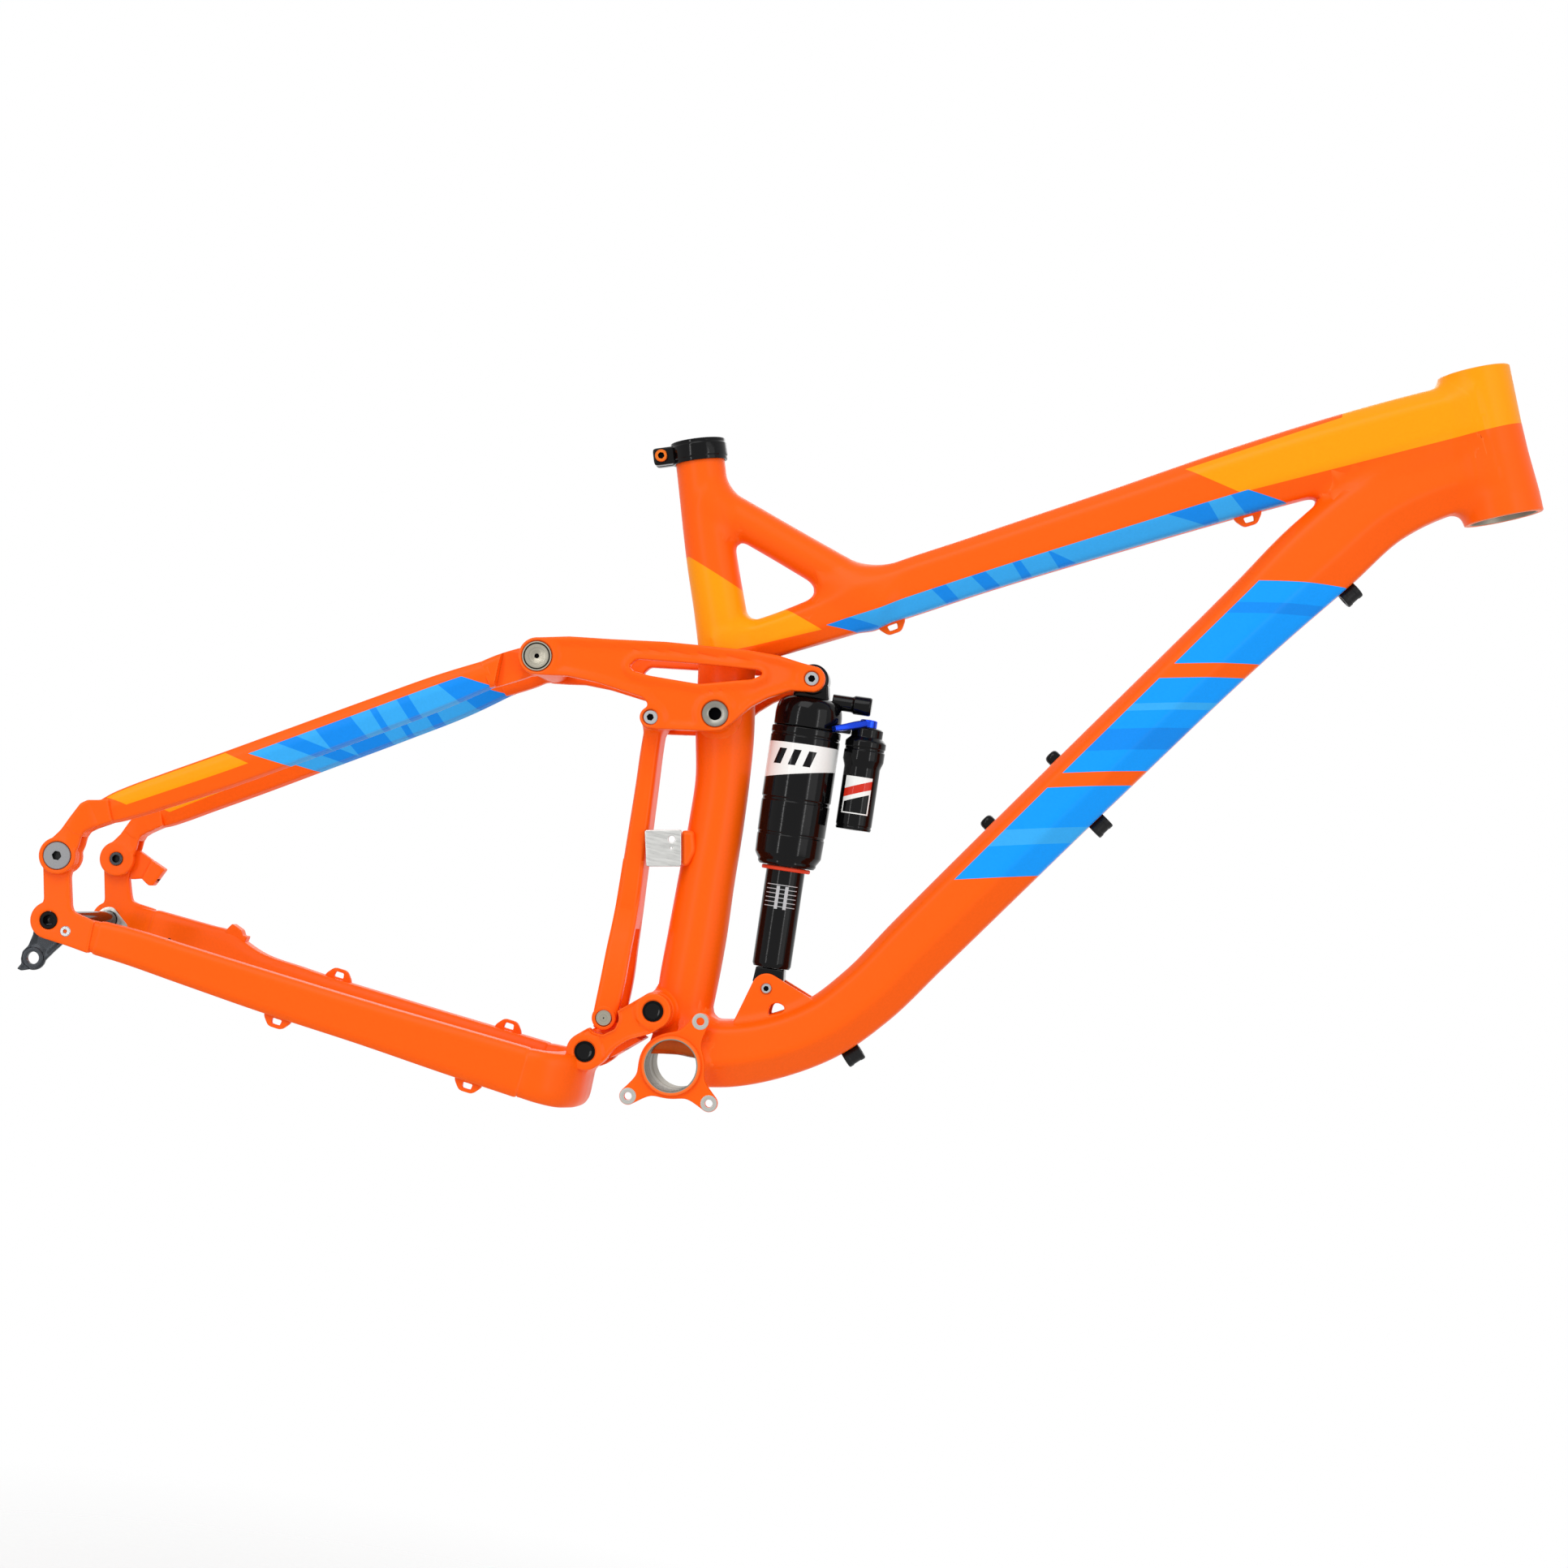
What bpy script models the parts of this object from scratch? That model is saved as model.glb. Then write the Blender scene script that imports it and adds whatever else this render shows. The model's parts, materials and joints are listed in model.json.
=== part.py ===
"""Full-suspension bicycle frame: front triangle, rocker, strut, lower link, stays, axle and air shock.

Sizes are in millimetres and the model is in metres. +X is forward, +Y is the rider's left, +Z is up, and the
origin is the centre of the bottom bracket. Side outlines are lists of (x, z).
"""

import math

import bmesh
import bpy
import numpy as np
from mathutils import Matrix, Vector

for leftover in list(bpy.data.objects):
    bpy.data.objects.remove(leftover, do_unlink=True)

# Units and clearances
MM = 0.001
GAP = 0.3                      # between pieces that touch
HUB_GAP = 0.3                  # radial, pin in bore
DROPOUT_PLAY = 4.8             # radial, at the pivot where the rear loop is open
SHOCK_EYE_PLAY = 4.3           # radial, at the lower shock eye, also open
STRUT_PLAY = 1.2               # radial, at the lower end of the strut, also open
PAST = 20.0                    # cutters run this far past the piece

# Pivots and axles of the suspension, side view
BB = (0.0, 0.0)
CHAINSTAY_LENGTH = 435.5       # bottom bracket to rear axle, along x
AXLE_RISE = 11.0
REAR_AXLE = (-CHAINSTAY_LENGTH, AXLE_RISE)
DROPOUT_PIVOT = (REAR_AXLE[0] - 2.0, REAR_AXLE[1] + 44.7)
SEATSTAY_PIVOT = (-147.1, 256.9)
ROCKER_PIVOT = (-19.8, 243.1)
STRUT_TOP = (-62.6, 231.7)
STRUT_FOOT = (-53.0, 22.2)
MAIN_PIVOT = (-19.7, 34.2)
CHAINSTAY_PIVOT = (-60.2, -2.7)
SHOCK_TOP = (39.5, 280.9)
SHOCK_FOOT = (52.0, 64.8)

# Bottom bracket shell and chainguide tabs
BB_WIDTH = 73.0
BB_OUTER_R = 20.5
BB_BORE_R = 17.4
TAB_CIRCLE_R = 36.5
TAB_ANGLES = (68.3, 226.6, 327.0)
TAB_TIP_R = 6.1
TAB_HOLE_R = 2.6
TAB_BASE_R = 23.5
TAB_Y = (-33.5, -28.0)

# Head tube
HEAD_BOTTOM = (483.0, 485.6)
HEAD_TOP = (442.7, 581.1)
HEAD_LOWER_R = 27.4
HEAD_UPPER_R = 24.7
HEAD_WALL = 2.7

# Main tubes: rows of x, z, height, width along the centre line
TOP_TUBE = [
    (-35.8, 284.1, 28.5, 30.0),
    (8.5, 307.4, 29.0, 31.0),
    (42.9, 327.8, 33.0, 32.0),
    (72.7, 346.4, 38.0, 34.0),
    (137.6, 384.0, 39.3, 35.0),
    (225.0, 432.8, 42.7, 38.0),
    (301.1, 475.0, 47.2, 41.0),
    (355.1, 503.3, 50.0, 44.0),
    (401.8, 526.2, 52.0, 46.0),
    (453.2, 550.8, 52.0, 46.0),
]
DOWN_TUBE = [
    (5.0, 10.0, 49.0, 50.0),
    (37.0, 15.5, 47.0, 53.0),
    (68.0, 28.0, 45.0, 54.0),
    (97.0, 47.5, 45.0, 54.0),
    (120.0, 73.0, 46.0, 53.0),
    (148.0, 115.0, 47.5, 52.0),
    (240.0, 252.5, 49.5, 52.0),
    (333.0, 389.0, 53.5, 50.0),
    (366.0, 436.0, 58.0, 47.0),
    (400.0, 478.0, 54.0, 44.0),
    (430.0, 500.5, 52.0, 42.0),
    (470.0, 520.0, 52.0, 42.0),
]
SEAT_TUBE = [
    (-74.6, 428.0, 34.3, 34.3),
    (-70.6, 416.2, 34.3, 34.3),
    (-46.8, 346.3, 35.6, 35.6),
    (-34.3, 313.7, 36.6, 36.6),
    (-25.0, 288.0, 38.8, 38.4),
    (-19.5, 262.0, 40.5, 40.0),
    (-14.0, 232.0, 41.0, 40.0),
    (-9.0, 200.0, 38.0, 38.6),
    (-7.0, 170.0, 38.4, 38.6),
    (-5.6, 128.0, 39.6, 39.6),
    (-4.0, 90.0, 41.2, 41.0),
    (-3.2, 55.0, 41.0, 41.0),
    (-1.8, 22.0, 37.5, 39.0),
    (-1.0, 5.0, 35.0, 38.0),
]
BRACE = [
    (-60.0, 390.5, 27.0, 27.0),
    (-30.0, 380.6, 27.0, 27.0),
    (0.0, 370.5, 27.0, 27.0),
    (35.0, 358.6, 28.0, 28.0),
    (75.0, 345.0, 30.0, 29.0),
]
MAIN_WALL = 2.0
SEAT_TUBE_WALL = 1.7
BRACE_WALL = 2.0

# Stays: rows of x, distance from the middle plane, z, height, width. Their rear ends follow the hub faces
HUB_HALF = 71.0
SEATSTAY_REAR = (REAR_AXLE[0] + 31.0, HUB_HALF - 6.0, REAR_AXLE[1] + 87.3, 22.6, 17.0)
SEATSTAY_FRONT = (SEATSTAY_PIVOT[0] - 30.9, 41.0, SEATSTAY_PIVOT[1] - 18.3, 20.0, 17.0)
# Seatstay between its ends: share of the way, distance from the middle plane, sag, height, width
SEATSTAY_BETWEEN = [
    (0.1082, HUB_HALF - 12.5, 0.2, 24.0, 17.5),
    (0.2627, HUB_HALF - 19.0, 0.7, 25.4, 18.0),
    (0.4614, 49.0, 0.7, 25.6, 18.0),
    (0.6821, 47.5, 0.8, 25.4, 18.0),
    (0.8808, 45.5, 0.6, 24.0, 18.0),
]
SEATSTAY_RUN = (SEATSTAY_FRONT[0] - SEATSTAY_REAR[0], SEATSTAY_FRONT[2] - SEATSTAY_REAR[2])
SEATSTAY = [SEATSTAY_REAR]
for share, aside, sag, height, width in SEATSTAY_BETWEEN:
    stay_x = SEATSTAY_REAR[0] + share * SEATSTAY_RUN[0]
    stay_z = SEATSTAY_REAR[2] + share * SEATSTAY_RUN[1] - sag
    SEATSTAY.append((stay_x, aside, stay_z, height, width))
SEATSTAY.append(SEATSTAY_FRONT)
CHAINSTAY_FRONT = [
    (REAR_AXLE[0] + 150.5, 57.0, REAR_AXLE[1] - 18.0, 28.1, 19.0),
    (-208.0, 52.0, -14.2, 30.3, 19.5),
    (-150.0, 48.5, -20.0, 33.3, 20.0),
    (-97.0, 45.5, -25.0, 35.6, 20.0),
]
CHAINSTAY_RIGHT_REAR = [
    (REAR_AXLE[0] + 33.5, HUB_HALF - 2.0, REAR_AXLE[1] - 7.6, 21.0, 17.0),
    (REAR_AXLE[0] + 55.5, HUB_HALF - 3.5, REAR_AXLE[1] - 7.7, 24.4, 18.0),
    (REAR_AXLE[0] + 95.5, HUB_HALF - 8.0, REAR_AXLE[1] - 12.2, 26.4, 18.5),
]
CHAINSTAY_LEFT_REAR = [
    (REAR_AXLE[0] + 33.5, HUB_HALF - 2.0, REAR_AXLE[1] - 1.5, 33.0, 17.0),
    (REAR_AXLE[0] + 55.5, HUB_HALF - 3.5, REAR_AXLE[1] - 2.7, 34.4, 18.0),
    (REAR_AXLE[0] + 77.5, HUB_HALF - 5.5, REAR_AXLE[1] - 5.2, 36.0, 18.3),
    (REAR_AXLE[0] + 105.5, HUB_HALF - 9.0, REAR_AXLE[1] - 11.0, 32.0, 18.5),
]
STAY_WALL = 2.0

# Rocker plates, and the room between their inner faces and what they hold
ROCKER_THICK = 10.0
ROCKER_STRUT_GAP = 1.8
ROCKER_TUBE_GAP = 0.6
ROCKER_EYE_GAP = 2.2
ROCKER_TOP_EDGE = [
    (-128.0, 274.6), (-99.7, 278.7), (-63.0, 284.7), (-40.7, 287.2), (-8.8, 290.4),
    (14.6, 291.7), (30.4, 290.2),
]
ROCKER_LOWER_EDGE = [
    (27.0, 270.0), (12.5, 261.2), (3.0, 252.8), (-7.0, 239.2), (-13.5, 232.6),
    (-22.0, 230.4), (-57.0, 224.6),
]
ROCKER_REAR_EDGE = [
    (-66.6, 241.0), (-71.0, 244.0), (-83.0, 245.3), (-105.0, 247.6), (-124.0, 247.6), (-137.0, 245.4),
]
ROCKER_WINDOW = [
    (-84.0, 263.5), (-80.0, 269.0), (-38.2, 274.6), (4.0, 279.0), (6.6, 276.5),
    (0.0, 271.5), (-34.7, 261.0), (-69.0, 259.6), (-81.0, 260.4),
]
ROCKER_REAR_R = 13.0
ROCKER_NOSE_R = 9.2
ROCKER_LUG_R = 7.4
ROCKER_TUBE_R = 12.0
ROCKER_TUBE_HALF = 28.2
ROCKER_AXLE_R = 7.5
ROCKER_AXLE_BORE_R = 4.4
ROCKER_AXLE_HEAD_R = 9.1
SEATSTAY_AXLE_R = 6.0
SEATSTAY_CAP_R = 10.4
SMALL_BOLT_R = 4.0
SMALL_HEAD_R = 5.0
HEAD_DEPTH = 2.6
HEAD_SINK = 0.2                # heads sit this far inside the face around them

# Lower link, strut and their pins
LINK_HALF = 37.8
LINK_INNER = 24.3
LINK_MAIN_R = 12.4
LINK_REAR_R = 13.0
LINK_CLEAR_R = 22.3            # bridge stays this far from the main pivot, to miss the seat tube
LINK_CLEAR_HALF = 21.6
LINK_NOTCH_GAP = 1.8           # round the strut's feet, beyond the play
LINK_YOKE_GAP = 5.0            # between the yoke's boss and the bridge, for the yoke's swing
LINK_LUG_R = 9.0
LINK_LUG_HALF = 19.4
PIVOT_AXLE_R = 6.0
PIVOT_CAP_R = 7.2
MAIN_TUBE_R = 13.0
MAIN_TUBE_HALF = 24.0
STRUT_TOP_R = 8.3
STRUT_FOOT_R = 8.4
STRUT_TOP_HALF = 31.2
STRUT_BEAM_HALF = 18.5
STRUT_LEG = (20.0, 30.0)
STRUT_REAR_EDGE = [(-66.8, 188.0), (-64.6, 142.0), (-62.4, 97.0), (-61.8, 51.0)]
STRUT_FRONT_EDGE = [(-46.4, 31.0), (-44.8, 50.0), (-46.2, 95.0), (-49.6, 140.0), (-53.2, 185.0)]
STRUT_LEG_TOP = 46.0
STRUT_FLARE_TOP = 96.0
STRUT_FORK = (9.0, 88.0, 48.0)    # half width and height of the crotch, and where the legs part
STRUT_SHOULDER = (212.0, 223.0)
STRUT_PIN_R = 4.0
STRUT_CAP_R = 5.6

# Rear end
DROPOUT_THICK = 8.0
DROPOUT_EAR_R = 12.5
AXLE_BOSS_R = 12.9
AXLE_R = 6.0
AXLE_HEAD_R = 9.0
CLEVIS_SLOT_GAP = 0.4
CLEVIS_INNER_CHEEK = 6.6
CLEVIS_OUTER_CHEEK = 5.6
DROPOUT_CAP_R = 9.4
DROPOUT_CAP_DEPTH = 2.0
POST_HALF = 6.5
HANGER_BOLT_R = 2.5
HANGER_HEAD_R = 3.8
HANGER_HEAD_DEPTH = 2.0
HANGER_FACE_R = 7.6            # spot face of the eye, raised above the arm
HANGER_FACE_RISE = 0.6
CLEVIS_EAR_R = 13.0
CLEVIS_REACH = 17.2            # depth of the clevis slot from its pivot
HANGER_THICK = 3.7
HANGER_EYE = (REAR_AXLE[0] - 6.1, REAR_AXLE[1] - 27.6)
HANGER_BOLT = (REAR_AXLE[0] + 13.3, REAR_AXLE[1] - 4.9)
YOKE_BARREL_R = 12.3
YOKE_BARREL_HALF = 41.2
YOKE_BOSS_R = 11.5
YOKE_BOSS_HALF = 24.0
YOKE_REAR_Z = (-42.6, -7.4)
YOKE_TOP_EDGE = [(-76.0, -8.6), (-71.5, -4.0)]
YOKE_LOWER_EDGE = [(-55.4, -19.5), (-57.5, -29.0), (-61.5, -39.0), (-66.0, -42.6), (-84.0, -44.2)]
YOKE_PLAN_EDGE = [(-80.0, 53.0), (-67.0, 45.0), (-58.0, 36.0)]
YOKE_PLAN_X = (-84.0, -79.0, -47.0, -40.0)
YOKE_BRIDGE_STEP = 8.0

# Shock, measured along its axis from the upper eye
SHOCK_EYE_R = 11.0
SHOCK_EYE_HALF = 12.3
CAN_R = 24.3
CAN_BORE_R = 21.5
CAN_TOP = 34.0
CAN_END = 131.0
SHAFT_R = 13.5
SHAFT_TOP = 100.0
SHAFT_END = 202.0
LOWER_EYE_R = 10.8
LOWER_EYE_HALF = 11.8
SHOCK_BOLT_R = 3.0
RING_R = 17.0
RESERVOIR_OFFSET = 42.2
RESERVOIR_R = 12.6
RESERVOIR_COLLAR_R = 14.3
RESERVOIR_CAP_R = 11.0

# Small parts of the front triangle
CLAMP_HEIGHT = 15.0
CLAMP_WALL = 2.2
CLAMP_EAR = 12.0
MOUNT_PLATE = (12.2, 16.4)
DERAILLEUR_PLATE_THICK = 3.5
CLIP_R = 5.6
CLIP_BORE_R = 2.4
CLIP_LENGTH = 11.0
CLIP_SEAT = 3.4                # eye of a clip below the skin of the tube
CLIP_X = (364.0, 230.7, 100.8)        # along the down tube's centre line
BOTTLE_X = (200.6, 236.0)
TOP_GUIDE_X = (74.5, 299.7)          # along the top tube's centre line
RIGHT_GUIDE_X = (-268.8, -131.4)     # along the right chainstay
LEFT_GUIDE_X = (-258.4, -129.2)
BOTTLE_HEAD_R = 4.6
BOTTLE_STEM_R = 2.5

SMALL_SIDES = 14
ROUND_SIDES = 24
TUBE_SIDES = 14


def paint(name, colour, roughness, metallic):
    """A plain Principled material."""
    material = bpy.data.materials.new(name)
    material.use_nodes = True
    shader = material.node_tree.nodes["Principled BSDF"]
    shader.inputs["Base Color"].default_value = (*colour, 1.0)
    shader.inputs["Roughness"].default_value = roughness
    shader.inputs["Metallic"].default_value = metallic
    return material


ORANGE = paint("orange_paint", (1.0, 0.13, 0.012), 0.45, 0.0)
BLACK = paint("black_anodised", (0.012, 0.012, 0.014), 0.3, 0.3)
SILVER = paint("bare_aluminium", (0.62, 0.61, 0.58), 0.35, 0.9)
BLUE = paint("blue_anodised", (0.01, 0.06, 0.65), 0.35, 0.4)
RED = paint("red_rubber", (0.8, 0.06, 0.02), 0.6, 0.0)


def solid(name, vertices, faces, material=ORANGE):
    """A closed mesh object from points in millimetres, facing out."""
    mesh = bpy.data.meshes.new(name)
    mesh.from_pydata((np.asarray(vertices, float) * MM).tolist(), [], [list(face) for face in faces])
    work = bmesh.new()
    work.from_mesh(mesh)
    bmesh.ops.recalc_face_normals(work, faces=work.faces)
    work.to_mesh(mesh)
    work.free()
    piece = bpy.data.objects.new(name, mesh)
    bpy.context.collection.objects.link(piece)
    mesh.materials.append(material)
    return piece


def combine(piece, other, operation):
    """Apply one Boolean to a piece and drop the second object."""
    material = piece.data.materials[0]
    modifier = piece.modifiers.new(operation.lower(), "BOOLEAN")
    modifier.operation = operation
    modifier.solver = "EXACT"
    modifier.object = other
    graph = bpy.context.evaluated_depsgraph_get()
    mesh = bpy.data.meshes.new_from_object(piece.evaluated_get(graph))
    piece.modifiers.clear()
    piece.data = mesh
    mesh.materials.clear()
    mesh.materials.append(material)
    bpy.data.objects.remove(other, do_unlink=True)
    return piece


def carve(piece, *cutters):
    for cutter in cutters:
        combine(piece, cutter, "DIFFERENCE")
    return piece


def join(piece, *others):
    for other in others:
        combine(piece, other, "UNION")
    return piece


def mirrored(piece, name):
    """The same piece on the other side of the middle plane."""
    mesh = piece.data.copy()
    mesh.transform(Matrix.Diagonal((1.0, -1.0, 1.0, 1.0)))
    mesh.flip_normals()
    twin = bpy.data.objects.new(name, mesh)
    bpy.context.collection.objects.link(twin)
    return twin


def tube_rings(stations, grow, top_power, low_power, sides):
    """Rings round a path of x, y, z, height, width. The powers make the two halves boxy or round."""
    centres = stations[:, :3]
    along = np.gradient(centres, axis=0)
    along /= np.linalg.norm(along, axis=1)[:, None]
    side = np.array([0.0, 1.0, 0.0]) - along * along[:, 1:2]
    side /= np.linalg.norm(side, axis=1)[:, None]
    up = np.cross(along, side)
    turn = np.linspace(0.0, 2 * np.pi, sides, endpoint=False)
    power = np.where(np.sin(turn) >= 0.0, top_power, low_power)
    across = np.sign(np.cos(turn)) * np.abs(np.cos(turn)) ** (2.0 / power)
    height = np.sign(np.sin(turn)) * np.abs(np.sin(turn)) ** (2.0 / power)
    half_height = stations[:, 3, None] / 2 + grow
    half_width = stations[:, 4, None] / 2 + grow
    return (
        centres[:, None, :]
        + side[:, None, :] * (half_width * across)[:, :, None]
        + up[:, None, :] * (half_height * height)[:, :, None]
    )


def ring_faces(rows, sides, closed):
    """Quads between successive rings; closed also joins the last ring to the first."""
    faces = []
    for row in range(rows if closed else rows - 1):
        near = row * sides
        far = (row + 1) % rows * sides
        for k in range(sides):
            n = (k + 1) % sides
            faces.append((near + k, near + n, far + n, far + k))
    return faces


def tube(name, stations, wall, powers=(2.6, 2.2), sides=TUBE_SIDES):
    """Hollow tube along a path, open at both ends."""
    outer = tube_rings(stations, 0.0, *powers, sides)
    inner = tube_rings(stations, -wall, *powers, sides)[::-1]
    rings = np.concatenate([outer, inner])
    return solid(name, rings.reshape(-1, 3), ring_faces(len(rings), sides, True))


def bar(name, stations, grow=GAP, powers=(2.6, 2.2), sides=TUBE_SIDES):
    """Filled version of a tube, grown on every side, for cutting its neighbours."""
    rings = tube_rings(stations, grow, *powers, sides)
    for end, inner in ((0, 1), (-1, -2)):
        outwards = stations[end, :3] - stations[inner, :3]
        rings[end] += outwards / np.linalg.norm(outwards) * grow
    count = len(rings)
    caps = [tuple(range(sides)), tuple(range((count - 1) * sides, count * sides))]
    return solid(name, rings.reshape(-1, 3), ring_faces(count, sides, False) + caps)


def middle_path(rows):
    """Stations in the middle plane from rows of x, z, height, width."""
    line = np.asarray(rows, float)
    return np.column_stack([line[:, 0], np.zeros(len(line)), line[:, 1:]])


def side_path(rows, sign):
    """Stations of a stay on the right (sign -1) or left (+1)."""
    line = np.array(rows, float)
    line[:, 1] *= sign
    return line


def arc(centre, radius, start, end, steps=8):
    """Points of an arc in side view, in degrees from +X towards +Z."""
    angles = np.radians(np.linspace(start, end, steps + 1))
    return [(centre[0] + radius * math.cos(a), centre[1] + radius * math.sin(a)) for a in angles]


def prism(name, outline, y_low, y_high, material=ORANGE):
    """A side outline carried across from y_low to y_high."""
    count = len(outline)
    points = [(x, y, z) for y in (y_low, y_high) for x, z in outline]
    walls = [(k, (k + 1) % count, (k + 1) % count + count, k + count) for k in range(count)]
    return solid(name, points, walls + [tuple(range(count)), tuple(range(count, 2 * count))], material)


def plan_prism(name, outline, z_low, z_high):
    """A top outline of (x, y) carried from z_low to z_high."""
    count = len(outline)
    points = [(x, y, z) for z in (z_low, z_high) for x, y in outline]
    walls = [(k, (k + 1) % count, (k + 1) % count + count, k + count) for k in range(count)]
    return solid(name, points, walls + [tuple(range(count)), tuple(range(count, 2 * count))])


def front_prism(name, outline, x_low, x_high):
    """A front outline of (y, z) carried from x_low to x_high."""
    count = len(outline)
    points = [(x, y, z) for x in (x_low, x_high) for y, z in outline]
    walls = [(k, (k + 1) % count, (k + 1) % count + count, k + count) for k in range(count)]
    return solid(name, points, walls + [tuple(range(count)), tuple(range(count, 2 * count))])


def rod(name, centre, radius, y_low, y_high, sides=SMALL_SIDES, material=ORANGE):
    """A cylinder across the frame."""
    outline = arc(centre, radius, 0.0, 360.0 * (sides - 1) / sides, sides - 1)
    return prism(name, outline, y_low, y_high, material)


def turned(name, profile, origin, axis, material=ORANGE, sides=SMALL_SIDES):
    """A profile of (radius, distance along the axis) spun round it. A loop off the axis gives a ring."""
    axis = np.asarray(axis, float) / np.linalg.norm(axis)
    first = np.cross(axis, (0.0, 1.0, 0.0) if abs(axis[1]) < 0.9 else (0.0, 0.0, 1.0))
    first /= np.linalg.norm(first)
    second = np.cross(axis, first)
    turn = np.linspace(0.0, 2 * np.pi, sides, endpoint=False)
    spokes = np.cos(turn)[:, None] * first + np.sin(turn)[:, None] * second
    start = np.asarray(origin)
    rings = [start + axis * along + spokes * radius for radius, along in profile if radius > 0.0]
    points = np.concatenate(rings)
    hollow = len(rings) == len(profile)
    faces = ring_faces(len(rings), sides, hollow)
    if not hollow:
        faces += [tuple(range(sides)), tuple(range(len(points) - sides, len(points)))]
    return solid(name, points, faces, material)


def pin(name, centre, steps, material, sides=SMALL_SIDES, bore=0.0):
    """A stepped pin across the frame from steps of (radius, y); a bore makes it hollow."""
    ends = [(bore, steps[-1][1]), (bore, steps[0][1])] if bore else [(0.0, steps[-1][1])]
    start = [] if bore else [(0.0, steps[0][1])]
    place = (centre[0], 0.0, centre[1])
    return turned(name, start + list(steps) + ends, place, (0.0, 1.0, 0.0), material, sides)


def headed(radius, head_radius, half, depth=HEAD_DEPTH):
    """Steps of a pin that has the same head at both ends."""
    return [
        (head_radius, -half), (head_radius, depth - half), (radius, depth - half),
        (radius, half - depth), (head_radius, half - depth), (head_radius, half),
    ]


def pin_seats(centre, radius, head_radius, half, both_ends=True):
    """Cutters for a headed pin: the bore, the right head recess and, with both_ends, the left one."""
    reach = 200.0
    floor = half - HEAD_DEPTH - HUB_GAP
    cutters = [
        rod("pin_bore", centre, radius + HUB_GAP, -reach, reach),
        rod("head_room", centre, head_radius + HUB_GAP, -reach, -floor),
    ]
    if both_ends:
        cutters.append(rod("head_room", centre, head_radius + HUB_GAP, floor, reach))
    return cutters


# Head tube and main tubes
head_axis = np.array([HEAD_TOP[0] - HEAD_BOTTOM[0], 0.0, HEAD_TOP[1] - HEAD_BOTTOM[1]])
head_length = float(np.linalg.norm(head_axis))
head_origin = (HEAD_BOTTOM[0], 0.0, HEAD_BOTTOM[1])
head_outside = [
    (HEAD_LOWER_R, 0.0), (HEAD_LOWER_R - 0.2, 14.0),
    (HEAD_UPPER_R + 0.6, 42.0), (HEAD_UPPER_R, 65.0), (HEAD_UPPER_R, head_length),
]
head_inside = [(radius - HEAD_WALL, along) for radius, along in reversed(head_outside)]
head_tube = turned("head_tube", head_outside + head_inside, head_origin, head_axis, ORANGE, ROUND_SIDES)


def head_bar():
    grown = [(radius + GAP, along) for radius, along in head_outside]
    profile = [(0.0, 0.0)] + grown + [(0.0, head_length)]
    return turned("head_bar", profile, head_origin, head_axis, ORANGE, ROUND_SIDES)


TOP_POWERS = (2.8, 2.2)
DOWN_POWERS = (3.0, 2.0)
ROUND_POWERS = (2.0, 2.0)
top_path = middle_path(TOP_TUBE)
down_path = middle_path(DOWN_TUBE)
seat_path = middle_path(SEAT_TUBE)
brace_path = middle_path(BRACE)


def bb_bar():
    return rod("bb_bar", BB, BB_OUTER_R + GAP, -60.0, 60.0, ROUND_SIDES)


def seat_bar():
    return bar("seat_bar", seat_path, GAP, ROUND_POWERS)


def down_bar():
    return bar("down_bar", down_path, GAP, DOWN_POWERS)


def top_bar():
    return bar("top_bar", top_path, GAP, TOP_POWERS)


top_tube = carve(tube("top_tube", top_path, MAIN_WALL, TOP_POWERS), head_bar(), seat_bar())
down_tube = carve(
    tube("down_tube", down_path, MAIN_WALL, DOWN_POWERS), head_bar(), top_bar(), seat_bar(), bb_bar()
)
seat_tube = carve(
    tube("seat_tube", seat_path, SEAT_TUBE_WALL, ROUND_POWERS),
    bb_bar(),
    rod("main_pivot_way", MAIN_PIVOT, MAIN_TUBE_R + GAP, -60.0, 60.0),
    rod("rocker_pivot_way", ROCKER_PIVOT, ROCKER_TUBE_R + GAP, -60.0, 60.0),
)
seat_tube_brace = carve(tube("seat_tube_brace", brace_path, BRACE_WALL), seat_bar(), top_bar())
main_pivot_tube = pin(
    "main_pivot_tube", MAIN_PIVOT, [(MAIN_TUBE_R, -MAIN_TUBE_HALF), (MAIN_TUBE_R, MAIN_TUBE_HALF)],
    ORANGE, SMALL_SIDES, PIVOT_AXLE_R + HUB_GAP,
)
rocker_pivot_tube = pin(
    "rocker_pivot_tube", ROCKER_PIVOT,
    [(ROCKER_TUBE_R, -ROCKER_TUBE_HALF), (ROCKER_TUBE_R, ROCKER_TUBE_HALF)],
    ORANGE, SMALL_SIDES, ROCKER_AXLE_R + HUB_GAP,
)


def tab_outline():
    """Chainguide plate: a round base with three round-ended arms and soft hollows between them."""
    points = []
    tip_angle = math.degrees(math.asin(TAB_TIP_R / TAB_CIRCLE_R))
    for angle in np.arange(0.0, 360.0, 4.5):
        radius = TAB_BASE_R
        for tab in TAB_ANGLES:
            off = abs((angle - tab + 180.0) % 360.0 - 180.0)
            inside = min(off, 0.98 * tip_angle)
            lateral = TAB_CIRCLE_R * math.sin(math.radians(inside))
            edge = TAB_CIRCLE_R * math.cos(math.radians(inside)) + math.sqrt(TAB_TIP_R**2 - lateral**2)
            fade = math.exp(-(((off - inside) / 9.0) ** 2))
            radius = max(radius, TAB_BASE_R + (edge - TAB_BASE_R) * fade)
        points.append((radius * math.cos(math.radians(angle)), radius * math.sin(math.radians(angle))))
    return points


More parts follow.
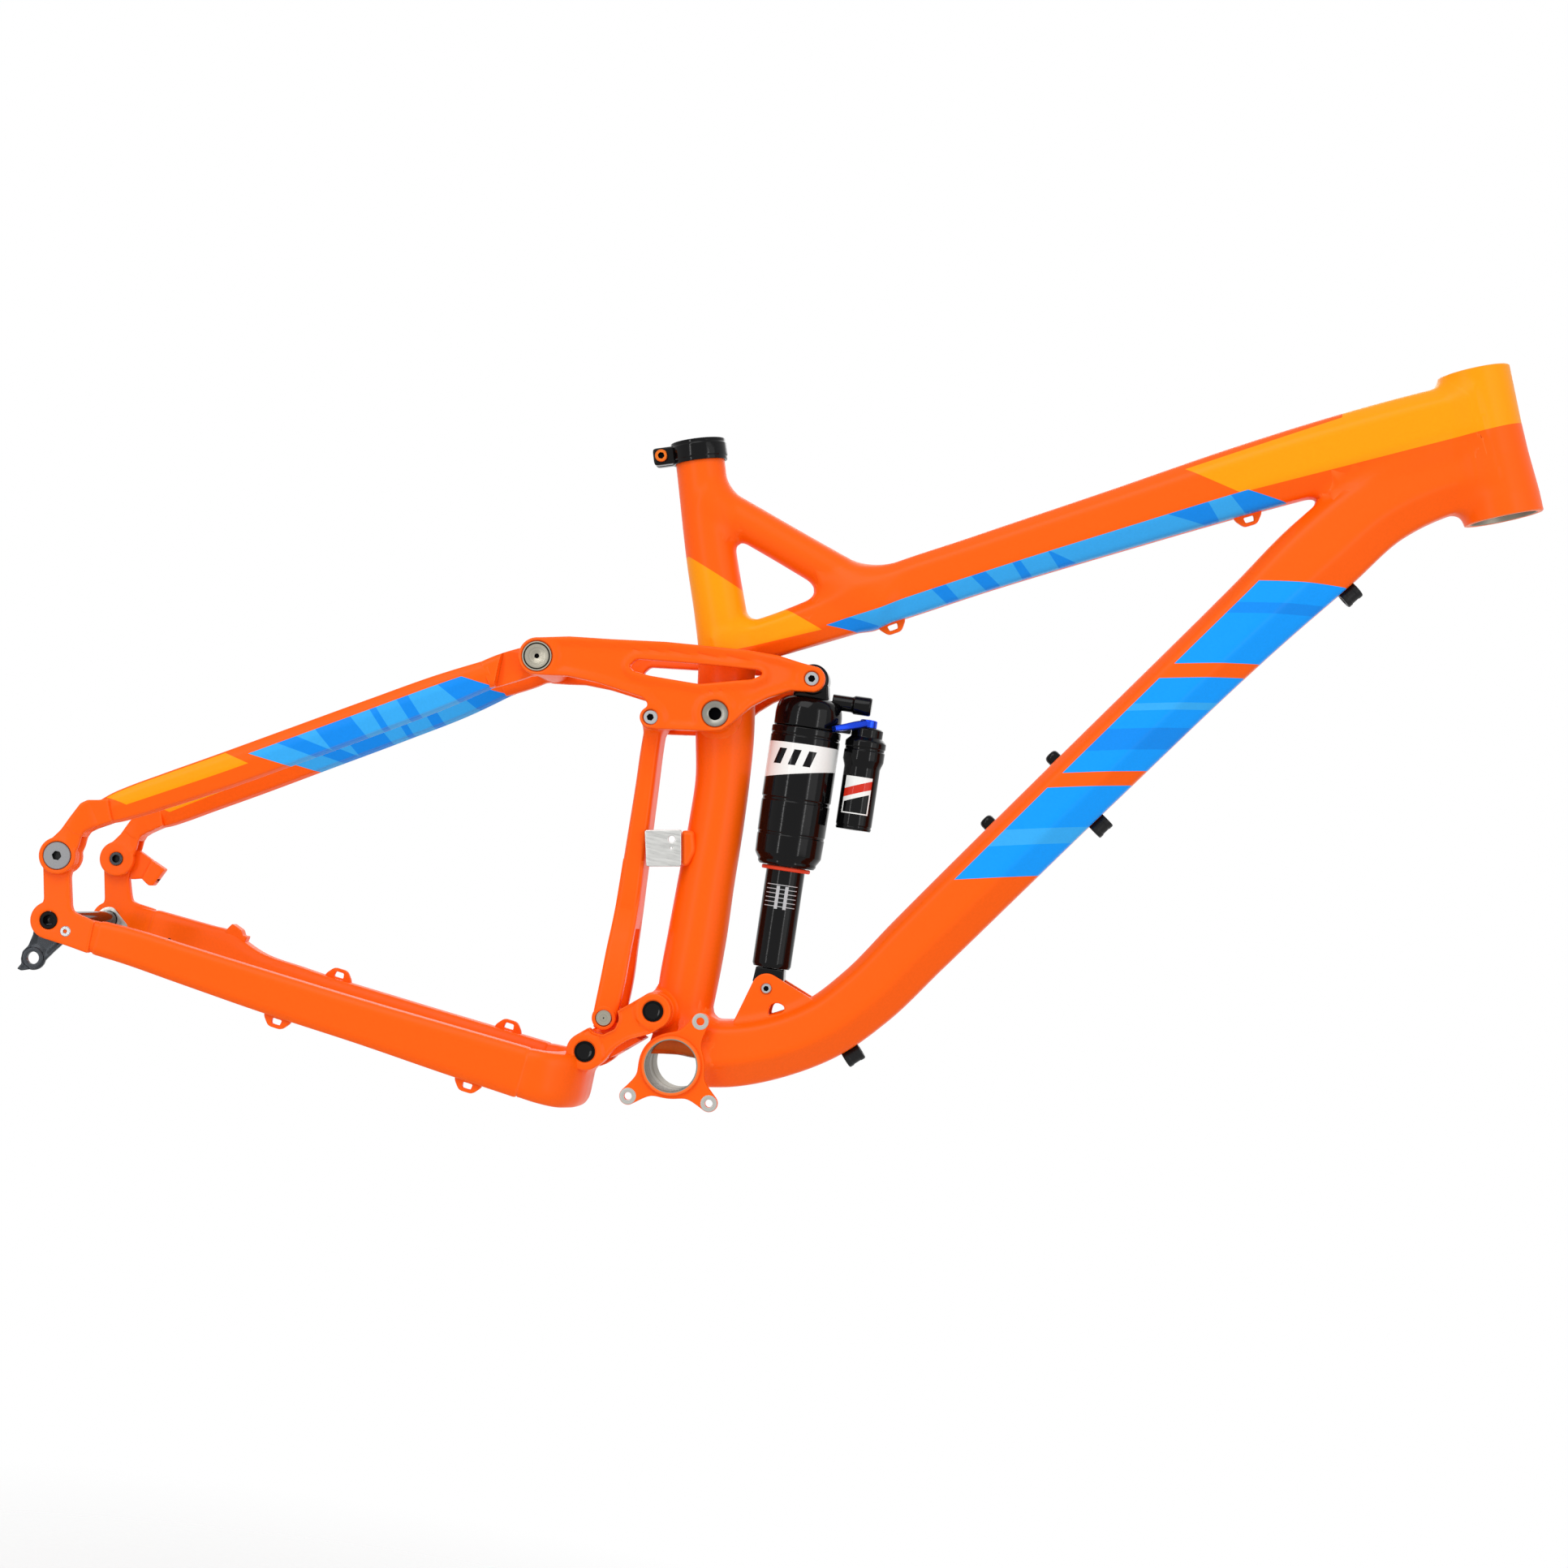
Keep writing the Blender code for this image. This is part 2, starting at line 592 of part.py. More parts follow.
bb_shell = rod("bb_shell", BB, BB_OUTER_R, -BB_WIDTH / 2, BB_WIDTH / 2, ROUND_SIDES)
join(bb_shell, prism("tabs", tab_outline(), *TAB_Y))
carve(bb_shell, rod("bb_bore", BB, BB_BORE_R, -60.0, 60.0, ROUND_SIDES))
for tab in TAB_ANGLES:
    carve(bb_shell, rod("tab_hole", arc(BB, TAB_CIRCLE_R, tab, tab, 1)[0], TAB_HOLE_R, -60.0, -20.0, 12))

# Lower shock mount: two plates that stand on the down tube
mount_outline = (
    [(34.5, 20.0), (34.5, 38.5), (41.9, 67.5)]
    + arc(SHOCK_FOOT, 10.4, 165.0, 66.0, 5)
    + [(85.0, 64.0), (92.0, 62.0), (92.0, 30.0)]
)
mount_window = [(56.6, 46.5), (66.4, 50.5), (67.0, 55.0), (57.0, 54.6)]
shock_mount_right = carve(
    prism("shock_mount_right", mount_outline, -MOUNT_PLATE[1], -MOUNT_PLATE[0]),
    down_bar(),
    prism("mount_window", mount_window, -30.0, 0.0),
    rod("mount_hole", SHOCK_FOOT, SHOCK_BOLT_R + HUB_GAP, -30.0, 0.0, 12),
)
shock_mount_left = mirrored(shock_mount_right, "shock_mount_left")
shock_bolt_half = MOUNT_PLATE[1] + 1.6
shock_lower_bolt = pin(
    "shock_lower_bolt", SHOCK_FOOT, headed(SHOCK_BOLT_R, 4.4, shock_bolt_half, 1.6 - GAP), SILVER, 16
)

# Seat clamp round the top of the seat tube, with its ear and bolt at the back
seat_top = np.array([SEAT_TUBE[0][0], 0.0, SEAT_TUBE[0][1]])
seat_next = np.array([SEAT_TUBE[1][0], 0.0, SEAT_TUBE[1][1]])
seat_up = (seat_top - seat_next) / np.linalg.norm(seat_top - seat_next)
seat_back = np.array([-seat_up[2], 0.0, seat_up[0]])
clamp_inner_r = SEAT_TUBE[0][2] / 2 + GAP
clamp_outer_r = clamp_inner_r + CLAMP_WALL
clamp_foot = seat_top + seat_up * (1.2 - CLAMP_HEIGHT)
seat_clamp = turned(
    "seat_clamp", [(0.0, 0.0), (clamp_outer_r, 0.0), (clamp_outer_r, CLAMP_HEIGHT), (0.0, CLAMP_HEIGHT)],
    clamp_foot, seat_up, BLACK, ROUND_SIDES,
)


def clamp_point(back, up):
    place = clamp_foot + seat_back * back + seat_up * up
    return (place[0], place[2])


ear_end = clamp_outer_r + CLAMP_EAR
ear_corners = [(10.0, 1.0), (ear_end, 1.0), (ear_end, 13.0), (10.0, 13.0)]
ear_outline = [clamp_point(along, up) for along, up in ear_corners]
slot_corners = [(8.0, -5.0), (60.0, -5.0), (60.0, 25.0), (8.0, 25.0)]
slot_outline = [clamp_point(along, up) for along, up in slot_corners]
clamp_bolt_at = clamp_point(ear_end - 6.0, 7.0)
join(seat_clamp, prism("clamp_ear", ear_outline, -9.0, 9.0))
carve(
    seat_clamp,
    turned("clamp_bore", [(0.0, -9.0), (clamp_inner_r, -9.0), (clamp_inner_r, 30.0), (0.0, 30.0)],
           clamp_foot, seat_up, BLACK, ROUND_SIDES),
    prism("clamp_slot", slot_outline, -0.9, 0.9),
    rod("clamp_bolt_way", clamp_bolt_at, 2.5 + HUB_GAP, -30.0, 30.0, 16),
)
clamp_bolt_steps = [(4.3, -12.6), (4.3, -9.3), (2.5, -9.3), (2.5, 10.0)]
seat_clamp_bolt = pin("seat_clamp_bolt", clamp_bolt_at, clamp_bolt_steps, ORANGE, 16)

# Front derailleur mount on the right of the seat tube
plate_face = SEAT_TUBE[8][3] / 2 + GAP + 0.3
plate_outline = [(-53.0, 155.1), (-46.4, 130.2), (-2.0, 139.6), (-7.0, 164.9)]
front_derailleur_mount = carve(
    prism("front_derailleur_mount", plate_outline, -plate_face - DERAILLEUR_PLATE_THICK, -plate_face,
          SILVER),
    rod("plate_hole", (-33.0, 152.5), 2.5, -60.0, 0.0, 12),
    seat_bar(),
)


def path_at(stations, x):
    """Centre, direction and half height of a path at one x."""
    row = np.array([np.interp(x, stations[:, 0], column) for column in stations.T])
    ahead = np.array([np.interp(x + 1.0, stations[:, 0], column) for column in stations.T])
    heading = ahead[:3] - row[:3]
    return row[:3], heading / np.linalg.norm(heading), row[3] / 2


# Cable clips under the down tube and bottle bolts on top of it
cable_clips = []
for number, x in enumerate(CLIP_X, 1):
    centre, heading, half = path_at(down_path, x)
    down = np.cross(heading, (0.0, 1.0, 0.0)) * -1.0
    start = centre + down * (half + CLIP_SEAT) - heading * CLIP_LENGTH / 2
    ring = [(CLIP_R, 0.0), (CLIP_R, CLIP_LENGTH), (CLIP_BORE_R, CLIP_LENGTH), (CLIP_BORE_R, 0.0)]
    cable_clips.append(carve(turned(f"cable_clip_{number}", ring, start, heading, BLACK, 16), down_bar()))

bottle_bolts = []
for label, x in zip(("lower", "upper"), BOTTLE_X):
    centre, heading, half = path_at(down_path, x)
    up = np.cross(heading, (0.0, 1.0, 0.0))
    steps = [
        (0.0, half - 6.0), (BOTTLE_STEM_R, half - 6.0), (BOTTLE_STEM_R, half + GAP),
        (BOTTLE_HEAD_R, half + GAP), (BOTTLE_HEAD_R, half + 5.0), (0.0, half + 5.0),
    ]
    bottle_bolts.append(turned(f"bottle_bolt_{label}", steps, centre, up, BLACK, 16))
    way = [(0.0, 0.0), (BOTTLE_STEM_R + HUB_GAP, 0.0), (BOTTLE_STEM_R + HUB_GAP, 60.0), (0.0, 60.0)]
    carve(down_tube, turned("bottle_way", way, centre, up, BLACK, 16))


def cable_guide(name, place, heading, up, cutter):
    """A flat lug with a cable eye: long foot on the tube, short top, cut to its tube."""
    place = np.asarray(place, float)
    shape = [(-10.0, -6.0), (10.0, -6.0), (10.0, 1.0), (4.8, 7.4), (-4.8, 7.4), (-10.0, 1.0)]
    corners = [place + np.asarray(heading) * a + np.asarray(up) * b for a, b in shape]
    outline = [(corner[0], corner[2]) for corner in corners]
    eye = (place[0] + up[0] * 3.4, place[2] + up[2] * 3.4)
    lug = prism(name, outline, place[1] - 2.5, place[1] + 2.5)
    return carve(lug, cutter, rod("guide_eye", eye, 2.0, place[1] - 9.0, place[1] + 9.0, 12))


top_guides = []
for label, x in zip(("rear", "front"), TOP_GUIDE_X):
    centre, heading, half = path_at(top_path, x)
    down = np.cross(heading, (0.0, 1.0, 0.0)) * -1.0
    guide = cable_guide(f"top_tube_guide_{label}", centre + down * half, heading, down, top_bar())
    top_guides.append(guide)

# Rocker: two plates that bend in towards the shock
rocker_outline = (
    arc(SEATSTAY_PIVOT, ROCKER_REAR_R, 265.0, 95.0, 12)
    + ROCKER_TOP_EDGE
    + arc(SHOCK_TOP, ROCKER_NOSE_R, 70.0, -70.0, 8)
    + ROCKER_LOWER_EDGE
    + arc(STRUT_TOP, ROCKER_LUG_R, 275.0, 120.0, 7)
    + ROCKER_REAR_EDGE
)
at_barrel = YOKE_BARREL_HALF + GAP + ROCKER_THICK / 2
at_strut = STRUT_TOP_HALF + ROCKER_STRUT_GAP + ROCKER_THICK / 2
at_tube = ROCKER_TUBE_HALF + ROCKER_TUBE_GAP + ROCKER_THICK / 2
at_shock = SHOCK_EYE_HALF + ROCKER_EYE_GAP + ROCKER_THICK / 2
rocker_line = [
    (SEATSTAY_PIVOT[0] - 22.9, at_barrel), (SEATSTAY_PIVOT[0] + 27.1, at_barrel), (STRUT_TOP[0], at_strut),
    (ROCKER_PIVOT[0] - 14.2, at_tube), (ROCKER_PIVOT[0] + 13.8, at_tube),
    (SHOCK_TOP[0] - 11.5, at_shock), (SHOCK_TOP[0] + 20.5, at_shock),
]


def rocker_offset(x):
    return float(np.interp(x, *zip(*rocker_line)))


def bend_plate(piece, line, sign):
    """Slide each part of a flat plate sideways by a line of (x, y), cut at the line's corners first."""
    work = bmesh.new()
    work.from_mesh(piece.data)
    for x, _ in line[1:-1]:
        geometry = work.verts[:] + work.edges[:] + work.faces[:]
        corner = (x * MM, 0.0, 0.0)
        bmesh.ops.bisect_plane(work, geom=geometry, dist=1e-6, plane_co=corner, plane_no=(1.0, 0.0, 0.0))
    bmesh.ops.triangulate(work, faces=work.faces)
    corners = np.array(line)
    for vertex in work.verts:
        vertex.co.y += sign * float(np.interp(vertex.co.x / MM, corners[:, 0], corners[:, 1])) * MM
    work.to_mesh(piece.data)
    work.free()
    return piece


def outer_face(x):
    return rocker_offset(x) + ROCKER_THICK / 2 - HEAD_SINK


rocker_right = prism("rocker_right", rocker_outline, -ROCKER_THICK / 2, ROCKER_THICK / 2)
carve(rocker_right, prism("rocker_window", ROCKER_WINDOW, -2 * ROCKER_THICK, 2 * ROCKER_THICK))
bend_plate(rocker_right, rocker_line, -1.0)
rocker_pins = {
    "rocker_pivot_axle": (ROCKER_PIVOT, ROCKER_AXLE_R, ROCKER_AXLE_HEAD_R, ROCKER_AXLE_BORE_R),
    "seatstay_pivot_axle": (SEATSTAY_PIVOT, SEATSTAY_AXLE_R, SEATSTAY_CAP_R, 0.0),
    "strut_upper_bolt": (STRUT_TOP, SMALL_BOLT_R, SMALL_HEAD_R, 0.0),
    "shock_upper_bolt": (SHOCK_TOP, SMALL_BOLT_R, SMALL_HEAD_R, 0.0),
}
rocker_hardware = []
for name, (centre, radius, head_radius, bore) in rocker_pins.items():
    half = outer_face(centre[0])
    carve(rocker_right, *pin_seats(centre, radius, head_radius, half, False))
    rocker_hardware.append(pin(name, centre, headed(radius, head_radius, half), SILVER, SMALL_SIDES, bore))
rocker_left = mirrored(rocker_right, "rocker_left")

# Strut: a broad beam with a cross boss on top and a fork at its foot
strut_side = (
    STRUT_REAR_EDGE
    + arc(STRUT_FOOT, STRUT_FOOT_R, 185.0, 350.0, 9)
    + STRUT_FRONT_EDGE
    + arc(STRUT_TOP, STRUT_TOP_R, 0.0, 180.0, 9)
)
strut_floor = STRUT_FOOT[1] - 2 * STRUT_FOOT_R
strut_ceiling = STRUT_TOP[1] + 3 * STRUT_TOP_R
half_front = [
    (STRUT_LEG[0], strut_floor), (STRUT_LEG[1], strut_floor), (STRUT_LEG[1], STRUT_LEG_TOP),
    (STRUT_BEAM_HALF, STRUT_FLARE_TOP), (STRUT_BEAM_HALF, STRUT_SHOULDER[0]),
    (STRUT_TOP_HALF, STRUT_SHOULDER[1]), (STRUT_TOP_HALF, strut_ceiling),
]
fork = [(-STRUT_FORK[0], STRUT_FORK[1]), (-STRUT_LEG[0], STRUT_FORK[2])]
strut_front = (
    half_front + [(-y, z) for y, z in reversed(half_front)] + fork[::-1] + [(-y, z) for y, z in fork]
)
strut = prism("strut", strut_side, -STRUT_TOP_HALF - PAST, STRUT_TOP_HALF + PAST)
front_room = front_prism("strut_front", strut_front, STRUT_TOP[0] - 2 * PAST, STRUT_FOOT[0] + 2 * PAST)
combine(strut, front_room, "INTERSECT")
carve(
    strut,
    rod("strut_bolt_way", STRUT_TOP, SMALL_BOLT_R + HUB_GAP, -STRUT_TOP_HALF - PAST, STRUT_TOP_HALF + PAST),
    *pin_seats(STRUT_FOOT, STRUT_PIN_R, STRUT_CAP_R, STRUT_LEG[1] - HEAD_SINK),
)
strut_lower_pin = pin(
    "strut_lower_pin", STRUT_FOOT, headed(STRUT_PIN_R, STRUT_CAP_R, STRUT_LEG[1] - HEAD_SINK), SILVER
)

# Lower link: two arms, a bridge and a lug between the strut's legs
link_rise = MAIN_PIVOT[1] - CHAINSTAY_PIVOT[1]
link_angle = math.degrees(math.atan2(link_rise, MAIN_PIVOT[0] - CHAINSTAY_PIVOT[0]))
link_outline = (
    arc(MAIN_PIVOT, LINK_MAIN_R, link_angle - 90.0, link_angle + 90.0, 12)
    + arc(CHAINSTAY_PIVOT, LINK_REAR_R, link_angle + 90.0, link_angle + 270.0, 12)
)
notch_r = STRUT_FOOT_R + STRUT_PLAY + LINK_NOTCH_GAP
lower_link = prism("lower_link", link_outline, -LINK_HALF, LINK_HALF)
for sign in (-1.0, 1.0):
    span = sorted((sign * (LINK_LUG_HALF + GAP), sign * (LINK_HALF + PAST)))
    carve(lower_link, rod("strut_notch", STRUT_FOOT, notch_r, *span, ROUND_SIDES))
join(lower_link, rod("link_lug", STRUT_FOOT, LINK_LUG_R, -LINK_LUG_HALF, LINK_LUG_HALF))
carve(
    lower_link,
    rod("main_room", MAIN_PIVOT, MAIN_TUBE_R + 0.6, -LINK_INNER, LINK_INNER),
    rod("seat_tube_room", MAIN_PIVOT, LINK_CLEAR_R, -LINK_CLEAR_HALF, LINK_CLEAR_HALF),
    rod("yoke_room", CHAINSTAY_PIVOT, YOKE_BOSS_R + LINK_YOKE_GAP, -LINK_INNER, LINK_INNER),
    rod("lug_bore", STRUT_FOOT, STRUT_PIN_R + STRUT_PLAY, -LINK_HALF, LINK_HALF),
    *pin_seats(MAIN_PIVOT, PIVOT_AXLE_R, PIVOT_CAP_R, LINK_HALF - HEAD_SINK),
    *pin_seats(CHAINSTAY_PIVOT, PIVOT_AXLE_R, PIVOT_CAP_R, LINK_HALF - HEAD_SINK),
)
link_axles = [
    pin(name, centre, headed(PIVOT_AXLE_R, PIVOT_CAP_R, LINK_HALF - HEAD_SINK), BLACK)
    for name, centre in (("main_pivot_axle", MAIN_PIVOT), ("chainstay_pivot_axle", CHAINSTAY_PIVOT))
]

# Chainstays and their yoke
right_chain_path = side_path(CHAINSTAY_RIGHT_REAR + CHAINSTAY_FRONT, -1.0)
left_chain_path = side_path(CHAINSTAY_LEFT_REAR + CHAINSTAY_FRONT, 1.0)
STAY_POWERS = (3.0, 2.8)
chainstay_right = tube("chainstay_right", right_chain_path, STAY_WALL, STAY_POWERS)
chainstay_left = tube("chainstay_left", left_chain_path, STAY_WALL, STAY_POWERS)
yoke_face = CHAINSTAY_FRONT[-1][0] + GAP
yoke_side = (
    [(yoke_face, z) for z in YOKE_REAR_Z]
    + YOKE_TOP_EDGE
    + arc(CHAINSTAY_PIVOT, YOKE_BOSS_R, 175.0, -55.0, 12)
    + YOKE_LOWER_EDGE
)
tyre_half = CHAINSTAY_FRONT[-1][1] - CHAINSTAY_FRONT[-1][4] / 2
yoke_half = [
    (YOKE_PLAN_X[1], tyre_half - YOKE_BRIDGE_STEP), (YOKE_PLAN_X[0], tyre_half), (yoke_face, tyre_half),
    (yoke_face, tyre_half + CHAINSTAY_FRONT[-1][4]), *YOKE_PLAN_EDGE,
    (YOKE_PLAN_X[2], YOKE_BOSS_HALF), (YOKE_PLAN_X[3], YOKE_BOSS_HALF),
]
yoke_plan = yoke_half + [(x, -y) for x, y in reversed(yoke_half)]
sweep_floor = CHAINSTAY_PIVOT[1] - LINK_REAR_R - 1.8
sweep_front = CHAINSTAY_PIVOT[0] + 2 * PAST
sweep_top = CHAINSTAY_PIVOT[1] + 2 * PAST
link_sweep = [
    (CHAINSTAY_PIVOT[0], sweep_floor), (sweep_front, sweep_floor),
    (sweep_front, sweep_top), (CHAINSTAY_PIVOT[0], sweep_top),
]
yoke_reach = tyre_half + CHAINSTAY_FRONT[-1][4] + PAST
chainstay_yoke = prism("chainstay_yoke", yoke_side, -yoke_reach, yoke_reach)
yoke_room = plan_prism("yoke_plan", yoke_plan, YOKE_REAR_Z[0] - 2 * PAST, CHAINSTAY_PIVOT[1] + 2 * PAST)
combine(chainstay_yoke, yoke_room, "INTERSECT")
for sign in (-1.0, 1.0):
    span = sorted((sign * YOKE_BOSS_HALF, sign * yoke_reach))
    carve(
        chainstay_yoke,
        rod("link_room", CHAINSTAY_PIVOT, LINK_REAR_R + 0.6, *span),
        prism("link_sweep", link_sweep, *span),
    )
carve(
    chainstay_yoke,
    rod("yoke_bore", CHAINSTAY_PIVOT, PIVOT_AXLE_R + HUB_GAP, -yoke_reach, yoke_reach),
    bar("right_bar", right_chain_path, GAP, STAY_POWERS),
    bar("left_bar", left_chain_path, GAP, STAY_POWERS),
)

# Dropouts: axle boss below, tongue for the clevis above, block into the chainstay in front
dropout_outer = HUB_HALF + DROPOUT_THICK


def from_axle(points):
    """Points given from the centre of the rear axle, as points of the side view."""
    return [(REAR_AXLE[0] + x, REAR_AXLE[1] + z) for x, z in points]


dropout_outline = (
    arc(DROPOUT_PIVOT, DROPOUT_EAR_R, -35.0, 215.0, 14)
    + from_axle([(-9.5, 28.0), (-6.3, 14.0)])
    + arc(REAR_AXLE, AXLE_BOSS_R, 120.0, 262.0, 9)
    + from_axle([(15.5, -15.2), (31.5, -17.4), (31.5, 1.0), (17.0, 9.0), (12.1, 21.0), (9.1, 32.0)])
)
stay_end = CHAINSTAY_RIGHT_REAR[0][0] - GAP
block_plan = [
    (stay_end, HUB_HALF - 10.0), (stay_end, HUB_HALF + 6.5), (REAR_AXLE[0] + 25.5, dropout_outer - 0.2),
    (REAR_AXLE[0] + 11.5, dropout_outer - 0.2), (REAR_AXLE[0] + 11.5, HUB_HALF + 0.2),
    (REAR_AXLE[0] + 21.5, HUB_HALF - 3.0),
]
dropout_reach = dropout_outer + PAST


def dropout(name, sign, block_z, stay_path):
    low, high = sorted((sign * HUB_HALF, sign * dropout_outer))
    plate = prism(name, dropout_outline, low, high)
    block = [(x, sign * y) for x, y in block_plan]
    join(plate, plan_prism("block", block, REAR_AXLE[1] + block_z[0], REAR_AXLE[1] + block_z[1]))
    return carve(
        plate,
        rod("axle_way", REAR_AXLE, AXLE_R + HUB_GAP, -dropout_reach, dropout_reach),
        rod("tongue_way", DROPOUT_PIVOT, SMALL_BOLT_R + DROPOUT_PLAY, -dropout_reach, dropout_reach),
        bar("stay_bar", stay_path, GAP, STAY_POWERS),
    )


dropout_right = dropout("dropout_right", -1.0, (-16.6, 0.6), right_chain_path)
hanger_low = -HUB_HALF - HANGER_THICK
hanger_floor = HANGER_HEAD_DEPTH - dropout_outer
pocket = from_axle([(-34.5, -51.0), (18.5, -51.0), (21.0, -5.0), (18.5, 3.0), (7.5, 12.5), (-34.5, 12.5)])
carve(
    dropout_right,
    prism("hanger_pocket", pocket, hanger_low - GAP, PAST - HUB_HALF),
    rod("hanger_bolt_way", HANGER_BOLT, HANGER_BOLT_R + HUB_GAP, -dropout_reach, PAST - HUB_HALF, 16),
    rod("hanger_head_way", HANGER_BOLT, HANGER_HEAD_R + HUB_GAP, -dropout_reach, hanger_floor, 16),
)
hanger_arm = from_axle([
    (-10.3, -5.0), (-10.7, -13.0), (-14.1, -24.0), (-14.5, -31.0), (-15.9, -37.6), (-8.5, -36.6),
    (-1.5, -33.0), (3.5, -25.0), (15.0, -10.0), (11.5, 1.0),
])
derailleur_hanger = prism("derailleur_hanger", hanger_arm, hanger_low, -HUB_HALF, BLACK)
join(
    derailleur_hanger,
    rod("hanger_ring", REAR_AXLE, 10.6, hanger_low, -HUB_HALF),
    rod("hanger_eye", HANGER_EYE, 8.5, hanger_low, -HUB_HALF),
    rod("hanger_face", HANGER_EYE, HANGER_FACE_R, hanger_low - HANGER_FACE_RISE, -HUB_HALF),
    rod("hanger_lug", HANGER_BOLT, 5.6, hanger_low, -HUB_HALF),
)
carve(
    derailleur_hanger,
    rod("ring_way", REAR_AXLE, AXLE_R + HUB_GAP, -dropout_reach, 0.0),
    rod("eye_way", HANGER_EYE, 4.3, -dropout_reach, 0.0),
    rod("lug_way", HANGER_BOLT, HANGER_BOLT_R + HUB_GAP, -dropout_reach, 0.0, 16),
)
hanger_bolt = pin(
    "hanger_bolt", HANGER_BOLT,
    [(HANGER_HEAD_R, -dropout_outer + 0.2), (HANGER_HEAD_R, hanger_floor - GAP),
     (HANGER_BOLT_R, hanger_floor - GAP), (HANGER_BOLT_R, -HUB_HALF)],
    SILVER, 16,
)

dropout_left = dropout("dropout_left", 1.0, (-16.6, 13.0), left_chain_path)
upper_post = from_axle([(3.5, 49.0), (14.5, 51.5), (33.2, 43.7), (25.6, 30.6), (12.0, 33.3), (5.5, 35.0)])
join(dropout_left, prism("upper_post", upper_post, HUB_HALF + 0.1, dropout_outer - 0.1))
carve(dropout_left, rod("tongue_way", DROPOUT_PIVOT, SMALL_BOLT_R + DROPOUT_PLAY, 0.0, dropout_reach))
lower_post = from_axle([(88.5, -3.0), (90.6, 15.2), (100.9, 18.6), (106.9, 11.9), (110.5, -7.0)])
post_middle = HUB_HALF - 8.0
brake_post = carve(
    prism("brake_post", lower_post, post_middle - POST_HALF, post_middle + POST_HALF),
    bar("left_bar", left_chain_path, GAP, STAY_POWERS),
)
rear_axle = pin(
    "rear_axle", REAR_AXLE,
    [(AXLE_R, -dropout_outer + 0.2), (AXLE_R, dropout_outer + GAP), (AXLE_HEAD_R, dropout_outer + GAP),
     (AXLE_HEAD_R, dropout_outer + 5.0)],
    BLACK,
)


def stay_guide(name, stations, x, downwards):
    centre, heading, half = path_at(stations, x)
    up = np.array([-heading[2], 0.0, heading[0]]) * (-1.0 if downwards else 1.0)
    return cable_guide(name, centre + up * half, heading, up, bar("stay_bar", stations, GAP, STAY_POWERS))


chainstay_guides = [
    stay_guide("right_guide_rear", right_chain_path, RIGHT_GUIDE_X[0], True),
    stay_guide("right_guide_front", right_chain_path, RIGHT_GUIDE_X[1], True),
    stay_guide("left_guide_rear", left_chain_path, LEFT_GUIDE_X[0], False),
    stay_guide("left_guide_front", left_chain_path, LEFT_GUIDE_X[1], False),
]

# Seatstays, their front yoke and their clevises
right_seat_path = side_path(SEATSTAY, -1.0)
SEATSTAY_POWERS = (2.8, 2.8)
seatstay_right = tube("seatstay_right", right_seat_path, STAY_WALL, SEATSTAY_POWERS)
seatstay_left = mirrored(seatstay_right, "seatstay_left")
front_x, front_y, front_z, front_height, front_width = SEATSTAY[-1]
stub_rows = [
    (front_x + 2 * GAP, front_y - 0.1, front_z + 0.4, front_height, front_width),
    (SEATSTAY_PIVOT[0] - 12.9, YOKE_BARREL_HALF - 5.6, SEATSTAY_PIVOT[1] - 7.5, 20.0, 11.0),
    (SEATSTAY_PIVOT[0], YOKE_BARREL_HALF - 5.8, SEATSTAY_PIVOT[1], 19.0, 11.0),
]
seatstay_yoke = rod("seatstay_yoke", SEATSTAY_PIVOT, YOKE_BARREL_R, -YOKE_BARREL_HALF, YOKE_BARREL_HALF)
for sign in (-1.0, 1.0):
    join(seatstay_yoke, bar("stub", side_path(stub_rows, sign), 0.0, SEATSTAY_POWERS))
    carve(seatstay_yoke, bar("stay_bar", side_path(SEATSTAY, sign), GAP, SEATSTAY_POWERS))
barrel_reach = YOKE_BARREL_HALF + PAST
barrel_bore_r = SEATSTAY_AXLE_R + HUB_GAP
carve(seatstay_yoke, rod("barrel_bore", SEATSTAY_PIVOT, barrel_bore_r, -barrel_reach, barrel_reach))

clevis_outline = (
    arc(DROPOUT_PIVOT, CLEVIS_EAR_R, 150.0, 350.0, 12)
    + from_axle([(12.9, 49.0), (14.1, 62.0), (35.9, 76.6), (24.1, 95.6)])
    + from_axle([(11.1, 88.6), (3.1, 81.6), (-11.5, 54.0)])
)
slot_far = [DROPOUT_PIVOT[0] + CLEVIS_REACH * 0.42, DROPOUT_PIVOT[1] + CLEVIS_REACH * 0.91]
slot_outline = arc(slot_far, 1.0, 0.0, 0.0, 1)[:1] + [
    (slot_far[0] + 30.0, slot_far[1] - 14.0), (REAR_AXLE[0] + 35.5, REAR_AXLE[1] + 9.0),
    (REAR_AXLE[0] - 34.5, REAR_AXLE[1] + 9.0), (REAR_AXLE[0] - 34.5, slot_far[1] + 20.0),
]
clevis_inner = HUB_HALF - CLEVIS_SLOT_GAP - CLEVIS_INNER_CHEEK
clevis_outer = dropout_outer + CLEVIS_SLOT_GAP + CLEVIS_OUTER_CHEEK
clevis_middle = (clevis_inner + clevis_outer) / 2
clevis_half = (clevis_outer - clevis_inner) / 2
clevis_line = [
    (REAR_AXLE[0] - 24.5, clevis_middle), (REAR_AXLE[0] + 9.5, clevis_middle),
    (REAR_AXLE[0] + 35.5, SEATSTAY[0][1]), (REAR_AXLE[0] + 45.5, SEATSTAY[0][1]),
]
seatstay_clevis_right = prism("seatstay_clevis_right", clevis_outline, -clevis_half, clevis_half)
bend_plate(seatstay_clevis_right, clevis_line, -1.0)
cap_floor = clevis_outer - DROPOUT_CAP_DEPTH
clevis_reach = clevis_outer + PAST
